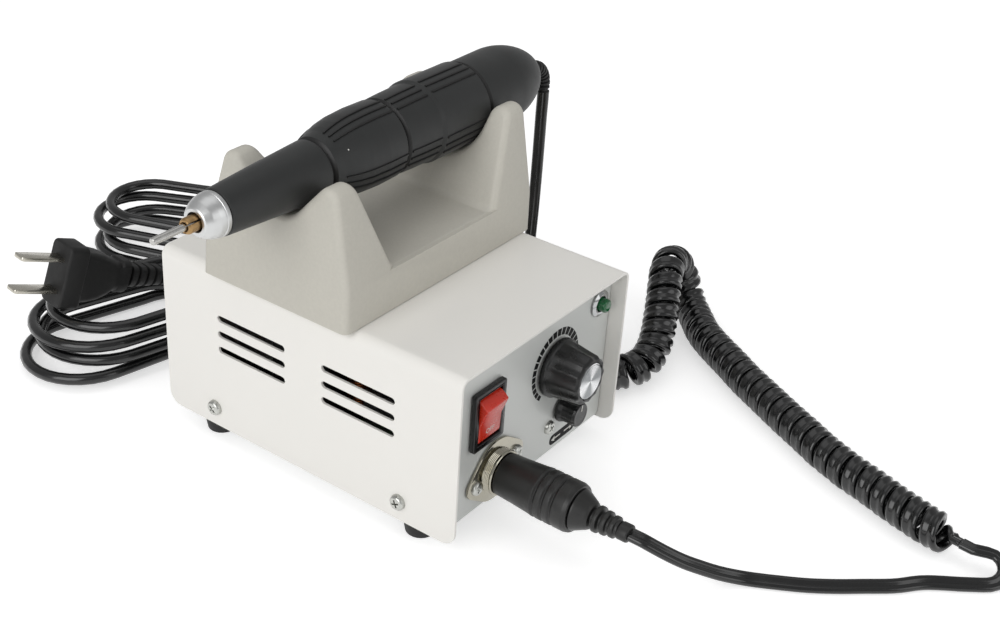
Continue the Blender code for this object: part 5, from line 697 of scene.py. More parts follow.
def pan_screw(name, node, radius, height, turn, place):
    """Pan-head screw with a cross recess, its head resting on z = 0."""
    radius, height = radius * MM, height * MM
    bm = bmesh.new()
    flat = radius * 0.66
    rim = bmesh.ops.create_circle(bm, cap_ends=False, radius=flat, segments=32,
                                  matrix=Matrix.Translation((0, 0, height)))["verts"]
    rim_edges = list({e for v in rim for e in v.link_edges})
    arm, half = flat * 0.78, flat * 0.17
    corners = [(arm, -half), (arm, half), (half, half), (half, arm), (-half, arm), (-half, half),
               (-arm, half), (-arm, -half), (-half, -half), (-half, -arm), (half, -arm), (half, -half)]
    cross = looped(bm, [Matrix.Rotation(turn, 3, "Z") @ Vector((x, y, height)) for x, y in corners])
    filled(bm, rim_edges + cross, (0, 0, 1))
    bottom = stepped(bm, cross, [(0.9, -height * 0.3), (0.45, -height * 0.35)])
    bmesh.ops.contextual_create(bm, geom=bottom)
    skirt = stepped(bm, rim_edges, [(1.2, -height * 0.1), (1.15, -height * 0.2), (1.07, -height * 0.3),
                                    (1.03, -height * 0.4)])
    shank = stepped(bm, skirt, [(0.5, 0.0), (1.0, -radius * 2)])
    bmesh.ops.contextual_create(bm, geom=shank)
    return piece(name, bm, "zinc", node, place=place)


def smooth_curve(points, spacing, passes=0):
    """Points at even spacing on a Catmull-Rom curve through the given ones."""
    known = [Vector(p) for p in points]
    known = [2 * known[0] - known[1]] + known + [2 * known[-1] - known[-2]]
    fine = []
    parts = 16
    for a, b, c, d in zip(known, known[1:], known[2:], known[3:]):
        for part in range(parts):
            t = part / parts
            fine.append(0.5 * (2 * b + (c - a) * t + (2 * a - 5 * b + 4 * c - d) * t ** 2
                               + (3 * b - a - 3 * c + d) * t ** 3))
    fine.append(known[-2])
    for _ in range(passes):
        fine = [fine[0]] + [(a + 2 * b + c) / 4 for a, b, c in zip(fine, fine[1:], fine[2:])] + [fine[-1]]
    lengths = [0.0]
    for near, far in zip(fine, fine[1:]):
        lengths.append(lengths[-1] + (far - near).length)
    parts = max(2, round(lengths[-1] / spacing))
    spread = []
    index = 0
    for step in range(parts + 1):
        want = lengths[-1] * step / parts
        while index < len(fine) - 2 and lengths[index + 1] < want:
            index += 1
        share = (want - lengths[index]) / (lengths[index + 1] - lengths[index])
        spread.append(fine[index].lerp(fine[index + 1], share))
    return spread


def route_length(points):
    """Length of a polyline."""
    return sum((b - a).length for a, b in zip(points, points[1:]))


def way_at(line, index):
    """Direction of a polyline at one of its points."""
    return (line[min(index + 1, len(line) - 1)] - line[max(index - 1, 0)]).normalized()


def twin_section(wide, thick, lobe_steps=8):
    """Outline of a flat twin lead: two round lobes that meet in a groove on each side."""
    radius = thick / 2
    centre = wide / 2 - radius
    reach = math.radians(152)
    points = []
    for side in (1, -1):
        for step in range(lobe_steps + 1):
            angle = -reach + 2 * reach * step / lobe_steps
            points.append((side * (centre + radius * math.cos(angle)), side * radius * math.sin(angle)))
    return points


def swept(centres, outs, section, starts=None, ends=None):
    """Skin of a cord: the section carried along the centres, its second direction turned towards outs."""
    bm = bmesh.new()
    rings = []
    for index, (centre, out) in enumerate(zip(centres, outs)):
        way = way_at(centres, index)
        if starts and index < 2:
            way = starts
        if ends and index > len(centres) - 3:
            way = ends
        out = (out - way * out.dot(way)).normalized()
        wide = way.cross(out)
        rings.append([bm.verts.new(centre + wide * x + out * y) for x, y in section])
    return skinned(bm, rings)


def carried(line, out):
    """Directions across a line that turn with it as little as they can."""
    outs = []
    for index in range(len(line)):
        way = way_at(line, index)
        out = (out - way * out.dot(way)).normalized()
        outs.append(out)
    return outs


def free_line(start, start_way, route, end, end_way, diameter, spacing):
    """Centreline of a free stretch between two square ends, kept on the floor where it lies there."""
    first = Vector(start) + Vector(start_way) * SEAT
    final = Vector(end) - Vector(end_way) * SEAT
    points = [first + Vector(start_way) * diameter, *route, final - Vector(end_way) * diameter]
    inner = smooth_curve(points, spacing)
    for point in inner:
        point.z = max(point.z, lying(diameter))
    return [first] + inner + [final]


def lying(diameter):
    """Height of the middle of a cord that lies on the floor."""
    return FLOOR_Z + diameter / 2 + 0.0001


def curls(cords):
    """Centres and outward directions of the curly cord, and the directions of its two straight ends."""
    line = smooth_curve(CURL_ROUTE, 0.0007, 60)
    last = len(line) - 1
    tangents = [way_at(line, index) for index in range(last + 1)]
    sides = carried(line, tangents[0].orthogonal())
    step = (line[1] - line[0]).length
    window = round(cords.curl_radius / step)
    wind = cords.curl_radius - cords.curl_thick / 2
    ease_length = cords.curl_pitch * 0.9
    total = step * last
    parts = 28
    centres, outs = [], []
    reach = turn = 0.0
    while reach < total:
        index = min(int(reach / step), last)
        low, high = max(index - window, 0), min(index + window, last)
        bend = (tangents[high] - tangents[low]).length / (step * (high - low))
        room = max(1 - bend * cords.curl_radius * 0.5, 0.5)  # what a bend leaves of the pitch on its inside
        pitch = max(cords.curl_pitch, (cords.curl_width + 0.0003) / room)
        ease = min(1, reach / ease_length, (total - reach) / ease_length)
        share = min(reach / step - index, 1.0)
        outs.append(sides[index] * math.cos(turn) + tangents[index].cross(sides[index]) * math.sin(turn))
        centres.append(line[index].lerp(line[min(index + 1, last)], share)
                       + outs[-1] * (wind * math.sin(math.pi / 2 * ease)))
        turn += math.tau / parts
        reach += pitch / parts * (1 + (1 - ease) * 0.8)
    outs.append(sides[last] * math.cos(turn) + tangents[last].cross(sides[last]) * math.sin(turn))
    centres.append(line[-1])
    start_way, end_way = tangents[0], tangents[-1]
    tail = cords.curl_width / 2
    centres = [centres[0] - start_way * tail, *centres, centres[-1] + end_way * tail]
    return centres, [outs[0], *outs, outs[-1]], start_way, end_way


def hank(centre, half_length, bend, azimuth, turn_way, drift, turns, start_share, diameter):
    """Centreline of long loops laid on top of each other, each one shifted a little."""
    along = Vector((math.cos(azimuth), math.sin(azimuth), 0))
    side = Vector((along.y, -along.x, 0)) * turn_way
    half = half_length - bend
    run = 2 * half
    lap = 2 * run + math.tau * bend

    def at(loops):
        reach = (loops % 1) * lap
        shift = Vector(drift) * (loops - start_share - turns / 2)
        shift += side * 0.0016 * math.sin(5.1 * loops + azimuth) + along * 0.0024 * math.sin(3.4 * loops)
        rise = Vector((0, 0, 0.0053 * (loops - start_share)))
        middle = Vector(centre) + Vector((0, 0, lying(diameter))) + shift + rise
        if reach < run:
            return middle + side * bend + along * (reach - half)
        reach -= run
        if reach < math.pi * bend:
            angle = reach / bend
            return middle + along * (half + bend * math.sin(angle)) + side * bend * math.cos(angle)
        reach -= math.pi * bend
        if reach < run:
            return middle - side * bend + along * (half - reach)
        angle = (reach - run) / bend
        return middle - along * (half + bend * math.sin(angle)) - side * bend * math.cos(angle)

    parts = round(turns * 48)
    points = [at(start_share + turns * step / parts) for step in range(parts + 1)]
    start_way = (points[2] - points[0]).normalized()
    end_way = (points[-1] - points[-3]).normalized()
    return [points[0] - start_way * diameter] + points + [points[-1] + end_way * diameter], start_way, end_way


def plug_place():
    """Place of the mains plug: local Z runs from its tail to its blades, local X towards the upper blade."""
    flat = Vector((math.cos(PLUG_AZIMUTH), math.sin(PLUG_AZIMUTH), 0))
    way = flat * math.cos(PLUG_RISE) + Vector((0, 0, math.sin(PLUG_RISE)))
    up = Vector((0, 0, math.cos(PLUG_RISE))) - flat * math.sin(PLUG_RISE)
    return Matrix.Translation(PLUG_TAIL) @ Matrix((up, way.cross(up), way)).transposed().to_4x4(), way


class MICROMOTOR_OT_stage(bpy.types.Operator):
    """Build the floor, the soft studio lamps and the camera"""
    bl_idname = "micromotor.stage"
    bl_label = "Stage"

    def execute(self, context):
        stage = context.scene.stage_settings
        self.build_floor(context, stage)
        self.build_room(context, stage)
        for name, (where, width) in LAMPS.items():
            lamp = bpy.data.lights.new(name, "AREA")
            lamp.shape = "SQUARE"
            lamp.size = width
            lamp.energy = getattr(stage, name)
            lamp_object = bpy.data.objects.new(name, lamp)
            lamp_object.location = where
            lamp_object.rotation_euler = (LAMP_AIM - Vector(where)).to_track_quat("-Z", "Y").to_euler()
            context.scene.collection.objects.link(lamp_object)
        self.build_camera(context)
        return {"FINISHED"}

    def build_floor(self, context, stage):
        """Pale floor that shows white to the camera away from the shadows."""
        bm = bmesh.new()
        bmesh.ops.create_grid(bm, x_segments=1, y_segments=1, size=stage.floor / 2,
                              matrix=Matrix.Translation((0, 0, FLOOR_Z)))
        mesh = bpy.data.meshes.new("floor")
        bm.to_mesh(mesh)
        bm.free()
        paper = bpy.data.materials.new("matt_paper_floor")
        paper.use_nodes = True
        tree = paper.node_tree
        shader = tree.nodes["Principled BSDF"]
        shader.inputs["Roughness"].default_value = 0.9
        shader.inputs["Specular IOR Level"].default_value = 0.1
        place = add_node(tree, "ShaderNodeTexCoord").outputs["Object"]
        fibre = add_node(tree, "ShaderNodeTexNoise", {"Scale": 900.0, "Detail": 3.0}, {"Vector": place})
        mixed = add_node(tree, "ShaderNodeMix", {"data_type": "RGBA", 6: shades(stage.pale, 0.985),
                                                 7: stage.pale}, {0: fibre.outputs["Fac"]})
        tree.links.new(mixed.outputs[2], shader.inputs["Base Color"])
        path = add_node(tree, "ShaderNodeLightPath")
        seen = add_node(tree, "ShaderNodeMath", {"operation": "MAXIMUM"},
                        {0: path.outputs["Is Camera Ray"], 1: path.outputs["Is Glossy Ray"]})
        seen_too = add_node(tree, "ShaderNodeMath", {"operation": "MAXIMUM"},
                            {0: seen.outputs["Value"], 1: path.outputs["Is Transmission Ray"]})
        lifted = add_node(tree, "ShaderNodeMath", {"operation": "MULTIPLY", 1: 0.5},
                          {0: seen_too.outputs["Value"]})
        glow = add_node(tree, "ShaderNodeEmission", {}, {"Strength": lifted.outputs["Value"]})
        both = add_node(tree, "ShaderNodeAddShader", {},
                        {0: shader.outputs["BSDF"], 1: glow.outputs["Emission"]})
        tree.links.new(both.outputs["Shader"], tree.nodes["Material Output"].inputs["Surface"])
        mesh.materials.append(paper)
        floor = bpy.data.objects.new("floor", mesh)
        context.scene.collection.objects.link(floor)

    def build_room(self, context, stage):
        """Even room light, which the camera sees as white."""
        world = bpy.data.worlds.new("studio")
        context.scene.world = world
        world.use_nodes = True
        tree = world.node_tree
        plain = tree.nodes["Background"]
        plain.inputs["Strength"].default_value = stage.sky
        white = add_node(tree, "ShaderNodeBackground", {"Strength": 1.0})
        for light in (plain, white):
            light.inputs["Color"].default_value = (1.0, 1.0, 1.0, 1.0)
        path = add_node(tree, "ShaderNodeLightPath")
        mixed = add_node(tree, "ShaderNodeMixShader", {},
                         {0: path.outputs["Is Camera Ray"], 1: plain.outputs["Background"],
                          2: white.outputs["Background"]})
        tree.links.new(mixed.outputs["Shader"], tree.nodes["World Output"].inputs["Surface"])
        context.scene.view_settings.view_transform = "Standard"

    def build_camera(self, context):
        """Camera at the photograph's viewpoint, rolled by almost four degrees."""
        across = CAMERA_RIGHT * math.cos(CAMERA_ROLL) + CAMERA_UP * math.sin(CAMERA_ROLL)
        rise = CAMERA_UP * math.cos(CAMERA_ROLL) - CAMERA_RIGHT * math.sin(CAMERA_ROLL)
        lens = bpy.data.cameras.new("camera")
        lens.sensor_width = 36.0
        lens.lens = CAMERA_LENS
        lens.clip_start = 0.01
        lens.clip_end = 50.0
        camera = bpy.data.objects.new("camera", lens)
        turn = Matrix((across, rise, across.cross(rise))).transposed().to_4x4()
        camera.matrix_world = Matrix.Translation(CAMERA_AT) @ turn
        context.scene.collection.objects.link(camera)
        context.scene.camera = camera


def flat_cable(name, node, line, out, cords, body):
    """Flat twin lead along a line."""
    section = twin_section(cords.lead_width, cords.lead_thick)
    return piece(name, swept(line, carried(line, out), section), "sheath_vinyl", node, body=body, angle=60)


class MICROMOTOR_OT_handpiece_lead(bpy.types.Operator):
    """Hang the flat twin lead from the handpiece to the curly cord"""
    bl_idname = "micromotor.handpiece_lead"
    bl_label = "Handpiece lead"

    def execute(self, context):
        cords = context.scene.cord_settings
        centres, _, start_way, _ = curls(cords)
        start = Vector((LEAD_X, HAND_START.y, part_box("handpiece_relief")[0].z))
        line = free_line(start, (0, 0, -1), HAND_LEAD_ROUTE, centres[0], start_way, LEAD_STRAIGHT, LEAD_STEP)
        lead = flat_cable("flat_lead", "handpiece_lead", line, Vector((1, 0, 0)), cords, None)
        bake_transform(lead)
        return {"FINISHED"}


class MICROMOTOR_OT_curly_cord(bpy.types.Operator):
    """Wind the curly cord along its route on the bench"""
    bl_idname = "micromotor.curly_cord"
    bl_label = "Curly cord"

    def execute(self, context):
        cords = context.scene.cord_settings
        centres, outs, start_way, end_way = curls(cords)
        section = twin_section(cords.curl_width, cords.curl_thick, 6)
        coil = piece("curled_cable", swept(centres, outs, section, start_way, end_way), "sheath_vinyl",
                     "curly_cord", angle=60)
        return {"FINISHED"}


class MICROMOTOR_OT_plug_lead(bpy.types.Operator):
    """Lay the flat lead from the curly cord to the round plug"""
    bl_idname = "micromotor.plug_lead"
    bl_label = "Plug lead"

    def execute(self, context):
        cords = context.scene.cord_settings
        centres, _, _, end_way = curls(cords)
        tip = Vector((SOCKET_AT[0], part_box("plug_boot")[0].y, SOCKET_AT[1]))
        line = free_line(centres[-1], end_way, PLUG_LEAD_ROUTE, tip, (0, 1, 0), LEAD_STRAIGHT, LEAD_STEP)
        lead = flat_cable("plug_lead_cable", "plug_lead", line, Vector((0, 0, 1)), cords, "base")
        return {"FINISHED"}


class MICROMOTOR_OT_mains_lead(bpy.types.Operator):
    """Wind the mains lead in its two hanks, from the gland to the mains plug"""
    bl_idname = "micromotor.mains_lead"
    bl_label = "Mains lead"

    def execute(self, context):
        thick = context.scene.cord_settings.mains
        far, far_start, far_end = hank(*FAR_HANK, thick)
        near, near_start, near_end = hank(*NEAR_HANK, thick)
        tip = Vector((GLAND_AT[0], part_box("mains_gland")[1].y, GLAND_AT[1]))
        way = plug_place()[1]
        line = free_line(tip, (0, 1, 0), INLET_ROUTE, far[0], far_start, thick, thick / 2)[:-1]
        line += far + free_line(far[-1], far_end, LINK_ROUTE, near[0], near_start, thick, thick / 2)[1:-1]
        line += near + free_line(near[-1], near_end, OUTLET_ROUTE, PLUG_TAIL, way, thick, thick / 2)[1:]
        curve = bpy.data.curves.new("mains_cable", "CURVE")
        curve.dimensions = "3D"
        curve.bevel_depth = thick / 2
        curve.bevel_resolution = 4
        curve.use_fill_caps = True
        spline = curve.splines.new("POLY")
        spline.points.add(len(line) - 1)
        for knot, point in zip(spline.points, line):
            knot.co = (*point, 1)
        curve.materials.append(finish("sheath_vinyl"))
        cable = bpy.data.objects.new("mains_cable", curve)
        context.scene.collection.objects.link(cable)
        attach(cable, "base")
        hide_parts("mains_cord_inlet", "mains_hank_far", "mains_cord_link", "mains_hank_near",
                    "mains_cord_outlet")
        return {"FINISHED"}


class MICROMOTOR_OT_cover(bpy.types.Operator):
    """Fold the cover, with its vent slots, and set its four screws"""
    bl_idname = "micromotor.cover"
    bl_label = "Cover"

    def execute(self, context):
        case = context.scene.case_settings
        half, y, shoulder = case.width / 2, case.depth / 2, case.height - case.bend
        strip = case.bend * 0.2  # narrow flat strips beside the bend keep its shading off the large faces
        seam = shoulder - strip
        bm = bmesh.new()
        side = [bm.verts.new((-half, p.x, p.y)) for p in
                profile([(-y, seam), (-y, 0, case.skirt), (y, 0, case.skirt), (y, seam)], 8)]
        edges = [bm.edges.new(pair) for pair in zip(side, side[1:])]
        top_edge = bm.edges.new((side[-1], side[0]))
        slots = []
        for end in (-1, 1):
            for row in VENT_ROWS:
                slots += looped(bm, self.slot(-half, end * VENT_Y, row, VENT_HALF_LENGTH, case.vent / 2))
        filled(bm, edges + [top_edge] + slots, (-1, 0, 0))
        rim = drawn_on(bm, [top_edge], (0, 0, strip))
        bent = bmesh.ops.spin(bm, geom=rim + list({v for e in rim for v in e.verts}), angle=math.radians(90),
                              cent=(case.bend - half, 0, shoulder), axis=(0, 1, 0), steps=8)["geom_last"]
        last = drawn_on(bm, edges_of(bent), (strip, 0, 0))
        drawn_on(bm, last, (half - case.bend - strip, 0, 0))
        bmesh.ops.mirror(bm, geom=bm.verts[:] + bm.edges[:] + bm.faces[:], matrix=Matrix.Identity(4),
                         merge_dist=0.00001, axis="X")
        self.thicken(piece("folded_cover", bm, "stoved_enamel", "cover", angle=30), case.sheet)
        for number, (sx, sy) in enumerate(((-1, -1), (-1, 1), (1, -1), (1, 1)), 1):
            place = Matrix.Translation((sx * half, sy * COVER_SCREW_Y, COVER_SCREW_Z)) @ turned(sx * 90, "Y")
            pan_screw(f"cover_pan_screw_{number}", f"cover_screw_{number}", 2.9, 1.9, 0.4 * number, place)
        return {"FINISHED"}

    def slot(self, x, y, z, half_length, radius):
        """Points round one slot in the side, its ends half round."""
        points = []
        for end in (1, -1):
            for step in range(7):
                angle = math.radians(-90 + 30 * step)
                points.append((x, y + end * (half_length - radius + radius * math.cos(angle)),
                               z + end * radius * math.sin(angle)))
        return points

    def thicken(self, sheet, thickness):
        """Give the sheet its thickness inwards and a fine edge."""
        if sheet.data.polygons[0].normal.x > 0:
            sheet.data.flip_normals()
        wall = sheet.modifiers.new("sheet", "SOLIDIFY")
        wall.thickness = thickness
        wall.offset = -1.0
        edge = sheet.modifiers.new("edge", "BEVEL")
        edge.width = 0.00018
        edge.segments = 2
        edge.limit_method = "ANGLE"
        edge.harden_normals = True
        edge.angle_limit = math.radians(50)


class MICROMOTOR_OT_tray(bpy.types.Operator):
    """Dress the folded tray with its panels, and set the feet, the panel's screw and its printing"""
    bl_idname = "micromotor.tray"
    bl_label = "Tray, feet and printing"

    def execute(self, context):
        dress("silver_enamel", "chassis")
        for number in range(1, 5):
            low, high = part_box(f"foot_{number}")
            foot = spun([(0, 0.9), (1.8, 0.9, 0.3), (2.0, 0, 0.3), (5.2, 0, 0.6), (6.2, 5.7, 0.4), (1.8, 5.7),
                         (1.8, 9.2), (0, 9.2)])
            piece(f"rubber_foot_{number}", foot, "rubber", f"foot_{number}",
                  place=Matrix.Translation(((low.x + high.x) / 2, (low.y + high.y) / 2, FLOOR_Z)))
        pan_screw("panel_pan_screw", "panel_screw", 2.6, 1.5, 0.5, on_front(*PANEL_SCREW_AT))
        self.print_scale(context.scene.control_settings.blocks)
        self.print_label()
        return {"FINISHED"}

    def print_scale(self, blocks):
        """Printed blocks round the speed knob, broader towards the fast end."""
        bm = bmesh.new()
        start, sweep, inner = math.radians(228), math.radians(-276), 0.0114
        half = abs(sweep) / blocks * 0.44  # a block is a little narrower than its share of the sweep
        for block in range(blocks):
            share = block / (blocks - 1)
            angle = start + sweep * share
            outer = inner + 0.0018 + 0.0011 * min(1, share * 1.6)
            corners = [(radius * math.cos(angle + side), radius * math.sin(angle + side), PRINT_RISE)
                       for radius, side in ((inner, -half), (outer, -half), (outer, half), (inner, half))]
            bmesh.ops.extrude_discrete_faces(bm, faces=[bm.faces.new([bm.verts.new(c) for c in corners])])
        piece("printed_scale", bm, "black_print", place=on_front(*DIAL_AT))

    def print_label(self):
        """Plain printed field by the direction knob, with an arrow to each end."""
        field = outline([(p.y, -p.x) for p in rounded(0.0021, 0.0080, 0.00209, 6)], 0.02, 0.01)
        piece("printed_field", field, "black_print", place=on_front(*LABEL_AT))
        marks = bmesh.new()
        head, tail = ((6.8, 0.0), (4.8, 1.1), (4.8, -1.1)), ((4.8, 0.3), (1.2, 0.3), (1.2, -0.3), (4.8, -0.3))
        for side in (-1, 1):
            for shape in (head, tail):
                marks.faces.new([marks.verts.new((side * x * MM, y * MM, 0.00005)) for x, y in shape])
        piece("printed_arrows", marks, "white_print", place=on_front(*LABEL_AT))


class MICROMOTOR_OT_rocker_switch(bpy.types.Operator):
    """Build the rocker switch's bezel and its red rocker"""
    bl_idname = "micromotor.rocker_switch"
    bl_label = "Rocker switch"

    def execute(self, context):
        self.build_bezel()
        pivot = Matrix.Translation((ROCKER_AT[0], PANEL_Y + 0.0015, ROCKER_AT[1])) @ turned(12, "X")
        bm = moved(outline(metres(self.rocker_side()), 11.6, -5.8),
                   Matrix(((0, 0, 1, 0), (1, 0, 0, 0), (0, 1, 0, 0), (0, 0, 0, 1))))
        softened(bm, 0.0004, 3, sharp_edges(bm, 20))
        pins = moved(spun([(0, -6.6), (1.1, -6.6), (1.1, 6.6), (0, 6.6)], 24), turned(90, "Y"))
        piece("red_rocker", joined(bm, pins), "red_polycarbonate", "rocker", body="rocker", place=pivot,
              angle=30)
        self.mark(pivot)
        return {"FINISHED"}

    def build_bezel(self):
        """Bezel frame with a raised, rounded rim round the rocker, and the switch body behind it."""
        bm = bmesh.new()
        rim = looped(bm, [(p.y, -p.x, SEAT) for p in rounded(0.0110, 0.00825, 0.0010, 4)])
        hole = looped(bm, [(x * 0.0062, y * 0.0090, SEAT) for x, y in ((1, -1), (1, 1), (-1, 1), (-1, -1))])
        filled(bm, rim + hole, (0, 0, 1), True)
        raised = bmesh.ops.extrude_face_region(bm, geom=bm.faces[:])["geom"]
        bmesh.ops.translate(bm, vec=(0, 0, 0.0020), verts=verts_of(raised))
        softened(bm, 0.00035, 3)
        body = box(13.8, 19.6, 5.0, (0, 0, -15))
        walls = [box(0.6, 19.6, 15.0, (side * 6.6, 0, -5.2)) for side in (-1, 1)]
        ends = [box(12.6, 0.6, 15.0, (0, side * 9.5, -5.2)) for side in (-1, 1)]
        lugs = [box(4.8, 0.8, 7.0, (0, side * 4, -20.9)) for side in (-1, 1)]
        piece("switch_bezel", joined(bm, body, *walls, *ends, *lugs), "nylon", "rocker_frame",
              place=on_front(*ROCKER_AT), angle=30)

    def rocker_side(self):
        """Side view of the rocker about its pivot: a valley in front between two arcs."""
        sweep, steps = 8.6, 12
        upper = []
        for step in range(steps + 1):
            angle = math.radians(38) * (1 - step / steps) - math.radians(22) * step / steps
            upper.append((-sweep * math.sin(angle), sweep * math.cos(angle)))
        return [(-4.2, 0.0)] + upper + [(y, -z) for y, z in reversed(upper)]

    def mark(self, pivot):
        """The word OFF, printed on the rocker's lower half."""
        text = bpy.data.curves.new("off", "FONT")
        text.body = "OFF"
        text.size = 0.0026
        text.align_x = "CENTER"
        text.align_y = "CENTER"
        text.extrude = 0.00001
        holder = bpy.data.objects.new("off", text)
        bpy.context.scene.collection.objects.link(holder)
        bpy.context.view_layer.update()
        mesh = bpy.data.meshes.new_from_object(holder.evaluated_get(bpy.context.evaluated_depsgraph_get()))
        bpy.data.objects.remove(holder)
        bm = bmesh.new()
        bm.from_mesh(mesh)
        bpy.data.meshes.remove(mesh)
        lean = math.atan2(5.29 - 4.2, 6.78)  # slope of the rocker's face from its valley to its lower end
        flat = Matrix.Translation((0, -0.00485, -0.0040)) @ Matrix.Rotation(math.radians(90) - lean, 4, "X")
        piece("printed_off", bm, "white_print", body="rocker", place=pivot @ flat, slot="switch_red")


class MICROMOTOR_OT_speed_dial(bpy.types.Operator):
    """Build the fluted speed knob with its faced metal cap"""
    bl_idname = "micromotor.speed_dial"
    bl_label = "Speed dial"

    def execute(self, context):
        controls = context.scene.control_settings
        knob = spun([(0, -6.2), (3, -6.2), (3, 2.7), (6.4, 2.7), (6.4, 0.8), (10.75, 0.8, 0.3),
                     (10.75, 2.6, 0.5), (10.2, 3.2, 0.4), (9.9, 6.0), (9.3, 10.0), (8.85, 13.8, 0.4),
                     (8.2, 14.8, 0.4), (7.0, 14.8, 0.2), (6.9, 13.65), (0, 13.65)], controls.flutes * 8, 3)
        for vert in knob.verts:
            if vert.co.xy.length > 0.0071 and vert.co.z > 0.0031:
                fade = min(1.0, (vert.co.z - 0.0031) / 0.0015)
                fluted(knob, vert, controls.flutes, controls.flute_depth * fade, 0.6)
        place = on_front(*DIAL_AT)
        piece("fluted_knob", knob, "nylon", "speed_knob", body="speed_knob", place=place, angle=40)
        cap = spun([(0, 14.0), (6.6, 14.0), (6.6, 14.8, 0.3), (5.8, 14.9, 0.2), (0, 14.75)], 72)
        piece("faced_cap", cap, "spun_aluminium", "speed_knob_cap", body="speed_knob", place=place)
        return {"FINISHED"}


def fluted(bm, vert, flutes, depth, breadth):
    """Draw a vertex of a knob in towards its axis, by waves round it."""
    wave = 0.5 - 0.5 * math.cos(flutes * math.atan2(vert.co.y, vert.co.x))
    share = 1 - depth * wave ** breadth / vert.co.xy.length
    bmesh.ops.scale(bm, vec=(share, share, 1), verts=[vert])


class MICROMOTOR_OT_direction_knob(bpy.types.Operator):
    """Build the small waisted direction knob with its pointer line"""
    bl_idname = "micromotor.direction_knob"
    bl_label = "Direction knob"

    def execute(self, context):
        place = on_front(*DIRECTION_AT)
        knob = spun([(0, -7.2), (1.5, -7.2), (1.5, 0.6), (5, 0.6, 0.3), (5, 1.8, 0.4), (4.4, 3.0, 1.2),
                     (4.3, 5.0, 1.2), (4.7, 7.6, 0.6), (4.2, 8.6, 0.5), (3.1, 8.45, 0.3), (0, 8.45)], 96, 3)
        for vert in knob.verts:
            if vert.co.xy.length > 0.0036 and 0.0021 < vert.co.z < 0.0084:
                fluted(knob, vert, 16, 0.00025, 1)
        piece("waisted_knob", knob, "nylon", "direction_knob", body="direction_knob", place=place, angle=40)
        line = joined(box(0.6, 2.4, 0.06, (0, 2.8, 8.58)), box(0.6, 0.06, 3.0, (0, 4.7, 7.0)))
        piece("pointer_line", moved(line, turned(-8, "Z")), "white_print", body="direction_knob", place=place)
        return {"FINISHED"}


class MICROMOTOR_OT_pilot_lamp(bpy.types.Operator):
    """Build the pilot lamp: chromed bezel and green lens"""
    bl_idname = "micromotor.pilot_lamp"
    bl_label = "Pilot lamp"

    def execute(self, context):
        place = on_front(*LAMP_AT)
        bezel = spun([(2.8, -7.9), (2.8, 0.8), (3.0, 1.4, 0.2), (3.8, 1.5, 0.3), (5.0, 0.8, 0.2), (5.0, 0.3),
                      (3.8, 0.3), (3.8, -7.9), (2.8, -7.9)])
        piece("chromed_bezel", bezel, "chrome", "lamp_bezel", place=place)
        lens = spun([(0, -6.0), (2.7, -6.0), (2.7, -1.3), (2.5, -1.3), (2.5, 1.9), (2.5, 4.1, 2.3),
                     (0, 4.1)], 48, 8)
        piece("green_lens_dome", lens, "green_lens", "lamp_lens", place=place)
        return {"FINISHED"}


class MICROMOTOR_OT_socket(bpy.types.Operator):
    """Build the round socket: rhombic flange, threaded barrel and its two screws"""
    bl_idname = "micromotor.socket"
    bl_label = "Socket"

    def execute(self, context):
        place = on_front(*SOCKET_AT) @ turned(7, "Z")
        flange = softened(outline(metres(self.rhombus()), 1.0, SEAT / MM), 0.0003, 2)
        thread = [(7.1, -7.8), (7.1, 4.4, 0.2), (7.4, 4.8), (7.9, 4.8, 0.2), (8.2, 4.4)]
        for turn in range(5):
            low = 4.0 - turn * 0.55
            thread += [(8.2, low), (7.9, low - 0.27)]
        thread += [(8.2, 1.2), (9.4, 1.2, 0.4), (9.6, 0.6), (8.2, 0.6), (8.2, -9), (4.0, -9), (4.0, -7.8),
                   (7.1, -7.8)]
        piece("nickel_socket", joined(flange, spun(thread, 72, 2)), "nickel", "socket_shell", place=place)
        dress("nylon", "socket_insert")
        for number, side in enumerate((-1, 1), 1):
            seat = place @ Matrix.Translation((side * 0.01115, 0, 0.0013))
            pan_screw(f"socket_pan_screw_{number}", f"socket_screw_{number}", 2.6, 1.5, 0.7 * side, seat)
        return {"FINISHED"}

    def rhombus(self):
        """Middle circle and two ear circles, joined by their outer tangents."""
        reach, body, ear = 11.15, 11.8, 4.4
        lean = math.acos((body - ear) / reach)
        points = []
        for side in (0, math.pi):
            for step in range(13):
                angle = side - lean + 2 * lean * step / 12
                points.append((reach * math.cos(side) + ear * math.cos(angle),
                               reach * math.sin(side) + ear * math.sin(angle)))
            for step in range(13):
                angle = side + lean + (math.pi - 2 * lean) * step / 12
                points.append((body * math.cos(angle), body * math.sin(angle)))
        return points


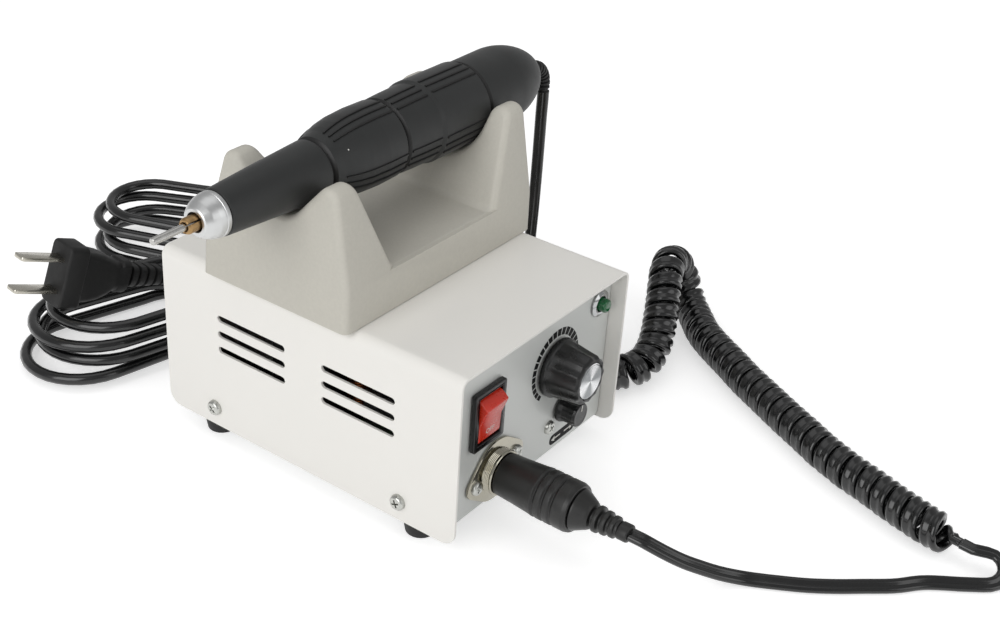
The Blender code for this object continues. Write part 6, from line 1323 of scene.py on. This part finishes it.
class MICROMOTOR_OT_lead_plug(bpy.types.Operator):
    """Build the lead's round plug: shell, grooved grip and ribbed boot"""
    bl_idname = "micromotor.lead_plug"
    bl_label = "Lead plug"

    def execute(self, context):
        place = on_front(*SOCKET_AT)
        shell = spun([(6.1, 0), (6.7, 0, 0.2), (6.7, 12.1), (6.1, 12.1), (6.1, 0)])
        piece("plug_shell_tube", shell, "nickel", "plug_shell", place=place)
        grip = [(0, 12.4), (7.0, 12.4), (7.0, 5.1), (7.45, 5.1, 0.3), (7.9, 12.5, 6), (8.4, 18.5, 4)]
        for groove in range(3):
            low = 20.8 + groove * 3.4
            grip += [(8.7, low - 0.3, 0.3), (8.4, low, 0.1), (8.1, low + 0.3, 0.1), (8.1, low + 0.6, 0.1),
                     (8.4, low + 0.9, 0.1), (8.7, low + 1.2, 0.3)]
        grip += [(8.7, 32.5, 0.8), (8.2, 34.1, 0.5), (4.5, 34.1), (4.5, 29.8), (0, 29.8)]
        piece("grooved_grip", spun(grip, 72), "plug_vinyl", "plug_body", place=place)
        boot = [(0, 30.1), (4.2, 30.1), (4.2, 34.4), (7.4, 34.4, 0.6), (7.0, 35.2, 0.8), (5.0, 39.2, 1.0),
                (4.4, 40.0, 0.3)]
        for rib, radius in enumerate((4.6, 4.2, 3.8)):
            low = 39.9 + 3 * rib
            boot += [(2.9, low + 0.2, 0.3), (2.9, low + 1.2, 0.3), (radius, low + 1.4, 0.4),
                     (radius, low + 3.0, 0.4)]
        boot += [(2.9, 49.1, 0.3), (2.9, 50.1, 0.3), (3.4, 50.3, 0.5), (3.4, 53.9, 0.6), (0, 53.9)]
        made = spun(boot, 48, 3)
        block = [v for v in made.verts if v.co.z > 0.0499]
        bmesh.ops.scale(made, vec=(1.0, 0.86, 1.0), verts=block)
        piece("ribbed_boot", made, "plug_vinyl", "plug_boot", place=place, slot="black_rubber")
        return {"FINISHED"}


class MICROMOTOR_OT_rear_fittings(bpy.types.Operator):
    """Build the mains gland with its ribbed relief, and the fuse holder with its cap, whose slot is a thin
    sheet of painted shade
    """
    bl_idname = "micromotor.rear_fittings"
    bl_label = "Rear fittings"

    def execute(self, context):
        seat = SEAT / MM
        gland = [(0, -6.5), (5.8, -6.5, 0.6), (5.8, -1.5), (4.8, -1.5), (4.8, seat), (6.2, seat, 0.3),
                 (6.2, 3.3, 0.8), (5.0, 3.4, 0.3)]
        for rib in range(6):
            low, radius = 4.0 + 3.8 * rib, 4.8 - 0.28 * rib
            gland += [(radius - 0.6, low, 0.2), (radius - 0.6, low + 1.2, 0.2), (radius, low + 1.5, 0.3),
                      (radius - 0.1, low + 3.6, 0.3)]
        gland += [(3.1, 27.3, 0.6), (0, 27.3)]
        piece("ribbed_gland", spun(gland, 48, 3), "rubber", "mains_gland", place=on_rear(*GLAND_AT))
        holder = spun([(0, -26), (3.7, -26, 0.4), (6.2, -20.8, 0.8), (6.2, seat), (8.5, seat, 0.2),
                       (8.5, 1.8, 0.5), (7.5, 1.9, 0.2), (7.5, 6.8, 0.6), (6.4, 7.8, 0.4), (0, 7.8)], 64)
        crown = []
        for face in holder.faces:
            middle = face.calc_center_median()
            if 0.0026 < middle.z < 0.0062 and int(math.degrees(math.atan2(middle.y, middle.x)) // 11.25) % 2:
                crown.append(face)
        bmesh.ops.inset_region(holder, faces=crown, thickness=0.0001, depth=-0.0002, use_even_offset=True)
        piece("fuse_holder_body", holder, "nylon", "fuse_holder", place=on_rear(*FUSE_AT))
        # A thin sheet of painted shade stands for the cap's slot.
        piece("fuse_cap_slot", box(10.0, 1.4, 0.1, (0, 0, 7.82)), "painted_groove_shade", place=on_rear(*FUSE_AT),
              slot="black_plastic")
        return {"FINISHED"}


class MICROMOTOR_OT_mains_plug(bpy.types.Operator):
    """Build the two-blade mains plug that lies on the hank"""
    bl_idname = "micromotor.mains_plug"
    bl_label = "Mains plug"

    def execute(self, context):
        place = plug_place()[0]
        # Sections from the tail to the face: half sizes, place along the plug and roundness
        sections = []
        for rib in range(5):
            low, radius = 4 * rib, 3.45 + 0.26 * (rib + 1)
            sections += [(radius, radius, low, 0.98), (radius, radius, low + 2.4, 0.98),
                         (radius - 1, radius - 1, low + 2.7, 0.98), (radius - 1, radius - 1, low + 3.8, 0.98)]
        sections += [(6.4, 5.0, 20.0, 0.96), (6.9, 5.5, 20.4, 0.96), (6.9, 5.5, 23.6, 0.96),
                     (6.2, 5.0, 24.3, 0.9), (6.4, 5.1, 26.2, 0.8), (7.8, 5.5, 29.2, 0.6),
                     (9.2, 5.6, 33.0, 0.5), (9.9, 5.6, 37.0, 0.42), (10.25, 5.6, 40.5, 0.38),
                     (10.4, 5.7, 40.9, 0.38), (11.9, 6.3, 41.1, 0.34), (12.3, 6.6, 41.6, 0.32),
                     (12.4, 6.6, 42.0, 0.32), (12.4, 6.6, 48.5, 0.32), (12.2, 6.4, 49.1, 0.32),
                     (11.8, 6.0, 49.5, 0.32)]
        bm = bmesh.new()
        bridged(bm, [looped(bm, [(p.x, p.y, along * MM) for p in
                                 rounded(high * MM, thick * MM, min(high, thick) * share * MM, 7)])
                     for high, thick, along, share in sections])
        piece("moulded_mains_plug", bm, "rubber", "mains_plug", place=place, angle=42)
        for number, side in enumerate((-1, 1), 1):
            shape = profile(metres([(44.5, 0), (44.5, -3.15), (67.0, -3.15, 1.2), (67.0, 3.15, 1.2),
                                    (44.5, 3.15), (44.5, 0)]), 5)[:-1]
            swing = Matrix(((0, 0, 1, side * 0.00635), (0, 1, 0, 0), (1, 0, 0, 0), (0, 0, 0, 1)))
            piece(f"plated_blade_{number}", softened(outline(shape, 1.5, -0.75), 0.0002, 2), "nickel_blade",
                  f"mains_blade_{number}", place=place @ swing)
        return {"FINISHED"}


class MICROMOTOR_OT_cradle(bpy.types.Operator):
    """Mould the cradle: a plinth with a domed, saddled wall at each end and rounded edges"""
    bl_idname = "micromotor.cradle"
    bl_label = "Cradle"

    def execute(self, context):
        cradle = context.scene.cradle_settings
        base = COVER_HIGH.z + SEAT
        floor = COVER_HIGH.z + CRADLE_FLOOR
        top = HAND_START.z + POST_LIFT + POST_RADIUS
        left = self.wall(LEFT_SEAT, base, floor)
        right = self.wall(RIGHT_SEAT, base, floor)

        def end_x(z):
            return 0.0502 - 0.0011 * (z - base) / (top - base)  # the ends lean in by 1.1 mm

        rows = [[(-end_x(p.y), p.x, p.y) for p in left], [(-cradle.inner / 2, p.x, p.y) for p in left],
                [(cradle.inner / 2, p.x, p.y) for p in right], [(end_x(p.y), p.x, p.y) for p in right]]
        bm = bmesh.new()
        skinned(bm, [[bm.verts.new(p) for p in row] for row in rows])
        bmesh.ops.recalc_face_normals(bm, faces=bm.faces[:])
        self.cut_valley(bm, cradle, floor, top)
        bmesh.ops.dissolve_limit(bm, angle_limit=math.radians(0.5), verts=bm.verts[:], edges=bm.edges[:])
        edges = [e for e in sharp_edges(bm, 30) if max(v.co.z for v in e.verts) > base + SEAT]
        softened(bm, cradle.edge, 5, edges)
        piece("moulded_cradle", bm, "moulded_abs", "cradle", place=Matrix.Translation((-0.001, 0, 0)),
              angle=40)
        return {"FINISHED"}

    def cut_valley(self, bm, cradle, floor, top):
        """Cut the valley between the walls and close what the cut opens."""
        near = 0.00001
        spread = (cradle.inner_top - cradle.inner) / (top - floor)
        planes = [(0, Vector((0, 0, 1)))] + [(side * cradle.inner, Vector((side, 0, -spread)).normalized())
                                             for side in (-1, 1)]
        for x, normal in planes:
            bmesh.ops.bisect_plane(bm, geom=bm.verts[:] + bm.edges[:] + bm.faces[:], dist=0.0000001,
                                   plane_co=(x, 0, floor), plane_no=normal)
        gone = []
        for face in bm.faces:
            middle = face.calc_center_median()
            if middle.z > floor + near and abs(middle.x) < cradle.inner + spread * (middle.z - floor) - near:
                gone.append(face)
        bmesh.ops.delete(bm, geom=gone, context="FACES")
        for side in (-1, 1):
            ends = sorted((v for v in bm.verts if abs(v.co.x - side * cradle.inner) < near
                           and abs(v.co.z - floor) < near), key=lambda v: v.co.y)
            bm.edges.new((ends[0], ends[-1]))
        open_edges = [e for e in bm.edges if len(e.link_faces) < 2]
        holes = [[e for e in open_edges if all(side * v.co.x > cradle.inner - near for v in e.verts)]
                 for side in (-1, 1)]
        holes.append([e for e in open_edges if all(abs(v.co.x) < cradle.inner + near
                                                   and abs(v.co.z - floor) < near for v in e.verts)])
        for hole in holes:
            bmesh.ops.contextual_create(bm, geom=hole)

    def wall(self, seat, base, floor):
        """Outline across the handpiece: two domed posts with a round seat between them."""
        post, spread = POST_RADIUS, 0.020
        front_y, rear_y, draft = -0.0215, 0.0415, 0.0009
        centre = Vector((HAND_START.y, HAND_START.z))
        front = centre + Vector((-spread, POST_LIFT))
        rear = centre + Vector((spread, POST_LIFT))
        foot = Vector((front_y, floor))
        reach = centre - front
        inner = math.atan2(reach.y, reach.x) + math.acos((seat + post) / reach.length)
        points = [Vector((front_y, base)), foot]
        points += self.arc(front, post, self.flank(foot, front, post), inner, 14)
        across = -seat * Vector((math.cos(inner), math.sin(inner)))
        start = math.atan2(across.y, across.x) % math.tau
        points += self.arc(centre, seat, start, 3 * math.pi - start, 22)
        rear_foot = Vector((rear_y - draft, floor))
        mirrored = Vector((2 * centre.x - rear_foot.x, rear_foot.y))
        points += self.arc(rear, post, math.pi - inner, math.pi - self.flank(mirrored, front, post), 14)
        return points + [rear_foot, Vector((rear_y, base))]

    def flank(self, foot, dome, radius):
        """Angle at which the flank from the foot touches the dome."""
        reach = foot - dome
        return (math.atan2(reach.y, reach.x) - math.acos(radius / reach.length)) % math.tau

    def arc(self, centre, radius, start, end, steps):
        """Points on an arc, both ends kept."""
        angles = [start + (end - start) * step / steps for step in range(steps + 1)]
        return [centre + radius * Vector((math.cos(angle), math.sin(angle))) for angle in angles]


def grooves(bm, hand, low, high, least_radius):
    """Press long grooves into a turned sleeve: four bands of three lines, with plain stretches between, their
    floors and walls given painted shade.
    """
    pressed = []
    for face in bm.faces:
        middle = face.calc_center_median()
        angle = math.degrees(math.atan2(middle.y, middle.x)) % 90
        if low * MM < middle.z < high * MM and math.hypot(middle.x, middle.y) > least_radius * MM:
            if any(line <= angle < line + 360 / hand.columns for line in (3.0, 15.0, 27.0)):
                pressed.append(face)
    walls = bmesh.ops.inset_region(bm, faces=pressed, thickness=0.00008, depth=-hand.groove_depth,
                                   use_even_offset=True, use_boundary=True)["faces"]
    # painted shade in the grooves
    for face in pressed + walls:
        face.material_index = 1


def sleeve(name, bm, node, *bands, body="handpiece"):
    """Piece of the handpiece in the soft coat, its faces within bands along the axis given painted shade."""
    for face in bm.faces:
        if any(low * MM < face.calc_center_median().z < high * MM for low, high in bands):
            # painted shade on the faces beside the seams
            face.material_index = 1
    return piece(name, bm, "soft_coat", node, body=body, place=on_hand(), second="painted_groove_shade")


def painted_shade_ring(name, inner, outer, low, high):
    """Ring of painted shade in the gap between two sleeves."""
    ring = spun([(inner, low), (outer, low), (outer, high), (inner, high), (inner, low)], 96)
    piece(name, ring, "painted_groove_shade", body="handpiece", place=on_hand())


class MICROMOTOR_OT_nose(bpy.types.Operator):
    """Turn the nose: polished cone and black sleeve"""
    bl_idname = "micromotor.nose"
    bl_label = "Nose"

    def execute(self, context):
        cone = spun([(3.2, 5.0), (3.2, -8.5, 0.2), (4.2, -8.5, 0.3), (4.7, -8.2, 0.6), (6.0, -6.3, 3.0),
                     (6.9, -4.0, 3.0), (7.25, -2.1, 0.2), (7.0, -1.9, 0.1), (7.3, -1.7, 0.1),
                     (7.3, -0.3, 0.2), (5.9, -0.3), (5.9, 5.0), (3.2, 5.0)], 96)
        piece("polished_cone", cone, "turned_aluminium", "nose_cone", body="handpiece", place=on_hand())
        shell = spun([(6.2, 13), (6.2, 0), (7.3, 0, 0.3), (7.6, 0.6, 0.3), (8.9, 20.9, 20), (10.0, 40.9, 0.3),
                      (9.0, 41.6, 0.1), (8.6, 41.8), (8.6, 78.8), (7.4, 78.8), (7.4, 13), (6.2, 13)], 96)
        sleeve("nose_shell", shell, "nose_sleeve", (40.9, 41.9))
        painted_shade_ring("groove_ring_front", 8.4, 8.9, 41.78, 42.22)
        return {"FINISHED"}


class MICROMOTOR_OT_chuck_sleeve(bpy.types.Operator):
    """Turn the swelling chuck sleeve and press its grooves"""
    bl_idname = "micromotor.chuck_sleeve"
    bl_label = "Chuck sleeve"

    def execute(self, context):
        hand = context.scene.handpiece_settings
        low, high = 42.2, 74.4
        shell = spun([(8.8, low), (9.0, low + 0.2, 0.1), (10.2, low + 1.0, 0.3), (11.0, low + 4.5, 6),
                      (11.75, low + 6.5, 6), (12.7, low + 10.0, 6), (13.4, low + 14.5, 6),
                      (13.8, low + 22.5, 8), (13.65, high - 1.0, 0.3), (12.3, high - 0.2, 0.1), (12.0, high),
                      (8.8, high), (8.8, low)], hand.columns)
        grooves(shell, hand, low + 3.5, high - 4.2, 9.8)
        sleeve("grooved_chuck_sleeve", shell, "chuck_sleeve", (low - 0.1, low + 1.0),
               (high - 1.0, high + 0.1), body="chuck_sleeve")
        dot = bmesh.new()
        bmesh.ops.create_uvsphere(dot, u_segments=12, v_segments=6, radius=0.00028)
        bmesh.ops.scale(dot, vec=(1, 1, 0.3), verts=dot.verts[:])
        turn = on_hand() @ turned(-128, "Z") @ Matrix.Translation((0.01185, 0, 0.0487)) @ turned(90, "Y")
        piece("setting_dot", dot, "white_print", body="chuck_sleeve", place=turn)
        return {"FINISHED"}


class MICROMOTOR_OT_motor_housing(bpy.types.Operator):
    """Turn the motor housing with its step and its grooves"""
    bl_idname = "micromotor.motor_housing"
    bl_label = "Motor housing"

    def execute(self, context):
        hand = context.scene.handpiece_settings
        low, step, high = 74.8, 92.4, 118.4
        shell = spun([(8.9, low), (12.0, low), (12.3, low + 0.2, 0.1), (13.4, low + 1.0, 0.3),
                      (13.75, low + 8, 6), (13.95, step - 1.0, 0.8), (14.7, step + 0.6, 0.8),
                      (14.7, step + 3.0), (14.7, high - 1.1, 0.3), (13.4, high - 0.2, 0.1), (13.0, high),
                      (11.7, high), (11.7, low + 4.3), (8.9, low + 4.3), (8.9, low)], hand.columns)
        grooves(shell, hand, step + 1.2, high - 1.6, 13.5)
        grooves(shell, hand, low + 1.5, step - 1.6, 13.0)
        sleeve("grooved_motor_housing", shell, "motor_housing", (low - 0.1, low + 1.0),
               (high - 1.1, high + 0.1))
        for name, where, radius in (("middle", low, 12.2), ("rear", high + 0.4, 12.9)):
            painted_shade_ring(f"groove_ring_{name}", 12.0, radius, where - 0.42, where + 0.02)
        return {"FINISHED"}


class MICROMOTOR_OT_rear_cap(bpy.types.Operator):
    """Turn the domed rear cap and bend the ribbed relief out of it"""
    bl_idname = "micromotor.rear_cap"
    bl_label = "Rear cap"

    def execute(self, context):
        low, radius, dome, power = 118.8, 14.2, 24, 1.8
        start = low + 43.7 - dome
        face = start + dome * (1 - (4.2 / radius) ** power) ** (1 / power)
        corners = [(11.7, low), (13.0, low), (13.3, low + 0.2, 0.1), (14.0, low + 1.0, 0.3)]
        for step in range(25):
            station = start + (face - start) * math.sin(math.pi / 2 * step / 24)
            corners.append((radius * (1 - max((station - start) / dome, 0) ** power) ** (1 / power), station))
        corners += [(3.6, face + 0.2, 0.3), (3.05, face, 0.1), (3.05, face - 5.2), (8.0, face - 6.0),
                    (11.7, start), (11.7, low)]
        sleeve("domed_rear_cap", spun(corners, 120), "rear_cap", (low - 0.1, low + 1.0))
        self.build_relief(HAND_START.x + face * MM)
        return {"FINISHED"}

    def build_relief(self, face_x):
        """Ribbed strain relief that leaves the cap and turns down."""
        y, z = HAND_START.y, HAND_START.z
        bend, turn, tail, total = face_x + 0.002, 0.0082, 0.003, 64
        path = [Vector((face_x - 0.006 + 0.001 * step, y, z)) for step in range(6)]
        path += [Vector((face_x + 0.0004 * step, y, z)) for step in range(5)]
        for step in range(1, total + 1):
            angle = math.pi / 2 * step / total
            path.append(Vector((bend + turn * math.sin(angle), y, z - turn * (1 - math.cos(angle)))))
        last = path[-1]
        path += [last - Vector((0, 0, tail * step / 6)) for step in range(1, 7)]
        bm = bmesh.new()
        loops = []
        for index, point in enumerate(path):
            groove = index > 10 and (route_length(path[:index + 1]) * 1000) % 1.9 < 0.7
            along, across = way_at(path, index), Vector((0, 1, 0))
            frame_turn = Matrix((across, along.cross(across), along)).transposed().to_4x4()
            ring = bmesh.ops.create_circle(bm, cap_ends=False, segments=28,
                                           radius=0.00215 if groove else 0.00275,
                                           matrix=Matrix.Translation(point) @ frame_turn)["verts"]
            loops.append(list({e for v in ring for e in v.link_edges}))
        bridged(bm, loops)
        piece("ribbed_elbow", bm, "rubber", "handpiece_relief", body="handpiece", angle=50)


class MICROMOTOR_OT_spindle(bpy.types.Operator):
    """Build the slit collet and the bur's shank, and dress spindle, rotor and bearings"""
    bl_idname = "micromotor.spindle"
    bl_label = "Spindle"

    def execute(self, context):
        corners = [(1.48, 5.5), (2.6, 5.5), (2.6, -11.6, 0.3), (2.2, -12.5, 0.3), (1.55, -12.5, 0.1),
                   (1.48, -11.7), (1.48, 5.5)]
        petal = bmesh.new()
        face = petal.faces.new([petal.verts.new((p.x, 0, p.y)) for p in profile(metres(corners), 3)[:-1]])
        bmesh.ops.spin(petal, geom=[face], cent=(0, 0, 0), axis=(0, 0, 1), angle=math.radians(106), steps=16)
        others = [moved(petal.copy(), turned(120 * third, "Z")) for third in (1, 2)]
        piece("slit_collet", joined(petal, *others), "turned_brass", "collet", body="spindle",
              place=on_hand())
        shank = spun([(0, -25), (0.95, -25, 0.1), (1.175, -24.7, 0.1), (1.175, 1), (0, 1)])
        piece("ground_shank", shank, "ground_steel", "bur_shank", body="spindle", place=on_hand())
        dress("ground_steel", "spindle", "front_bearing", "rear_bearing")
        dress("magnet", "rotor", "magnet_ring")
        dress("nylon", "brush_holder")
        return {"FINISHED"}


class MICROMOTOR_OT_inner_parts(bpy.types.Operator):
    """Wind the transformer's coil and dress the parts inside the case"""
    bl_idname = "micromotor.inner_parts"
    bl_label = "Inner parts"

    def execute(self, context):
        dress("board_laminate", "circuit_board")
        dress("shrink_sleeve", "capacitor")
        dress("drawn_aluminium", "heat_sink", "potentiometer")
        dress("laminations", "transformer_core")
        dress("nylon", "direction_switch")
        low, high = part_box("transformer_winding")
        centre, half = (low + high) / 2, (high - low) / 2
        layers = 30
        rise = (high.z - low.z) / layers
        bm = bmesh.new()
        loops = []
        for layer in range(layers):
            for share, inset in ((0.08, 0.00025), (0.5, 0.0), (0.92, 0.00025)):
                loops.append(looped(bm, [(centre.x + p.x, centre.y + p.y, low.z + rise * (layer + share))
                                         for p in rounded(half.x - inset, half.y - inset, 0.0075, 5)]))
        middle = [looped(bm, [(centre.x + x * 0.0098, centre.y + y * 0.0133, z)
                              for x, y in ((1, -1), (1, 1), (-1, 1), (-1, -1))])
                  for z in (low.z + rise * 0.08, high.z - rise * 0.08)]
        bridged(bm, loops, False)
        bridged(bm, middle, False)
        filled(bm, loops[0] + middle[0], (0, 0, 1))
        filled(bm, loops[-1] + middle[1], (0, 0, 1))
        piece("wound_coil", bm, "enamelled_copper", "transformer_winding", angle=60)
        return {"FINISHED"}


OPERATORS = (MICROMOTOR_OT_stage, MICROMOTOR_OT_handpiece_lead, MICROMOTOR_OT_curly_cord,
             MICROMOTOR_OT_lead_plug, MICROMOTOR_OT_plug_lead, MICROMOTOR_OT_mains_plug,
             MICROMOTOR_OT_mains_lead, MICROMOTOR_OT_cover, MICROMOTOR_OT_tray, MICROMOTOR_OT_rocker_switch,
             MICROMOTOR_OT_speed_dial, MICROMOTOR_OT_direction_knob, MICROMOTOR_OT_pilot_lamp,
             MICROMOTOR_OT_socket, MICROMOTOR_OT_rear_fittings, MICROMOTOR_OT_cradle, MICROMOTOR_OT_nose,
             MICROMOTOR_OT_chuck_sleeve, MICROMOTOR_OT_motor_housing, MICROMOTOR_OT_rear_cap,
             MICROMOTOR_OT_spindle, MICROMOTOR_OT_inner_parts)


class MICROMOTOR_PT_pieces(bpy.types.Panel):
    """Sidebar list of the settings and of the operators that build the pieces"""
    bl_idname = "MICROMOTOR_PT_pieces"
    bl_label = "Micromotor"
    bl_space_type = "VIEW_3D"
    bl_region_type = "UI"
    bl_category = "Micromotor"

    def draw(self, context):
        for name, group in GROUPS.items():
            fields = self.layout.box()
            for field in group.__annotations__:
                fields.prop(getattr(context.scene, name), field)
        for operator in OPERATORS:
            self.layout.operator(operator.bl_idname)


def register():
    for name, group in GROUPS.items():
        bpy.utils.register_class(group)
        setattr(bpy.types.Scene, name, bpy.props.PointerProperty(type=group))
    for operator in OPERATORS:
        bpy.utils.register_class(operator)
    bpy.utils.register_class(MICROMOTOR_PT_pieces)


def unregister():
    bpy.utils.unregister_class(MICROMOTOR_PT_pieces)
    for operator in reversed(OPERATORS):
        bpy.utils.unregister_class(operator)
    for name, group in reversed(GROUPS.items()):
        delattr(bpy.types.Scene, name)
        bpy.utils.unregister_class(group)


def main():
    register()
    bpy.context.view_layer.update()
    for operator in OPERATORS:
        group, name = operator.bl_idname.split(".")
        getattr(getattr(bpy.ops, group), name)()


if __name__ == "__main__":
    main()
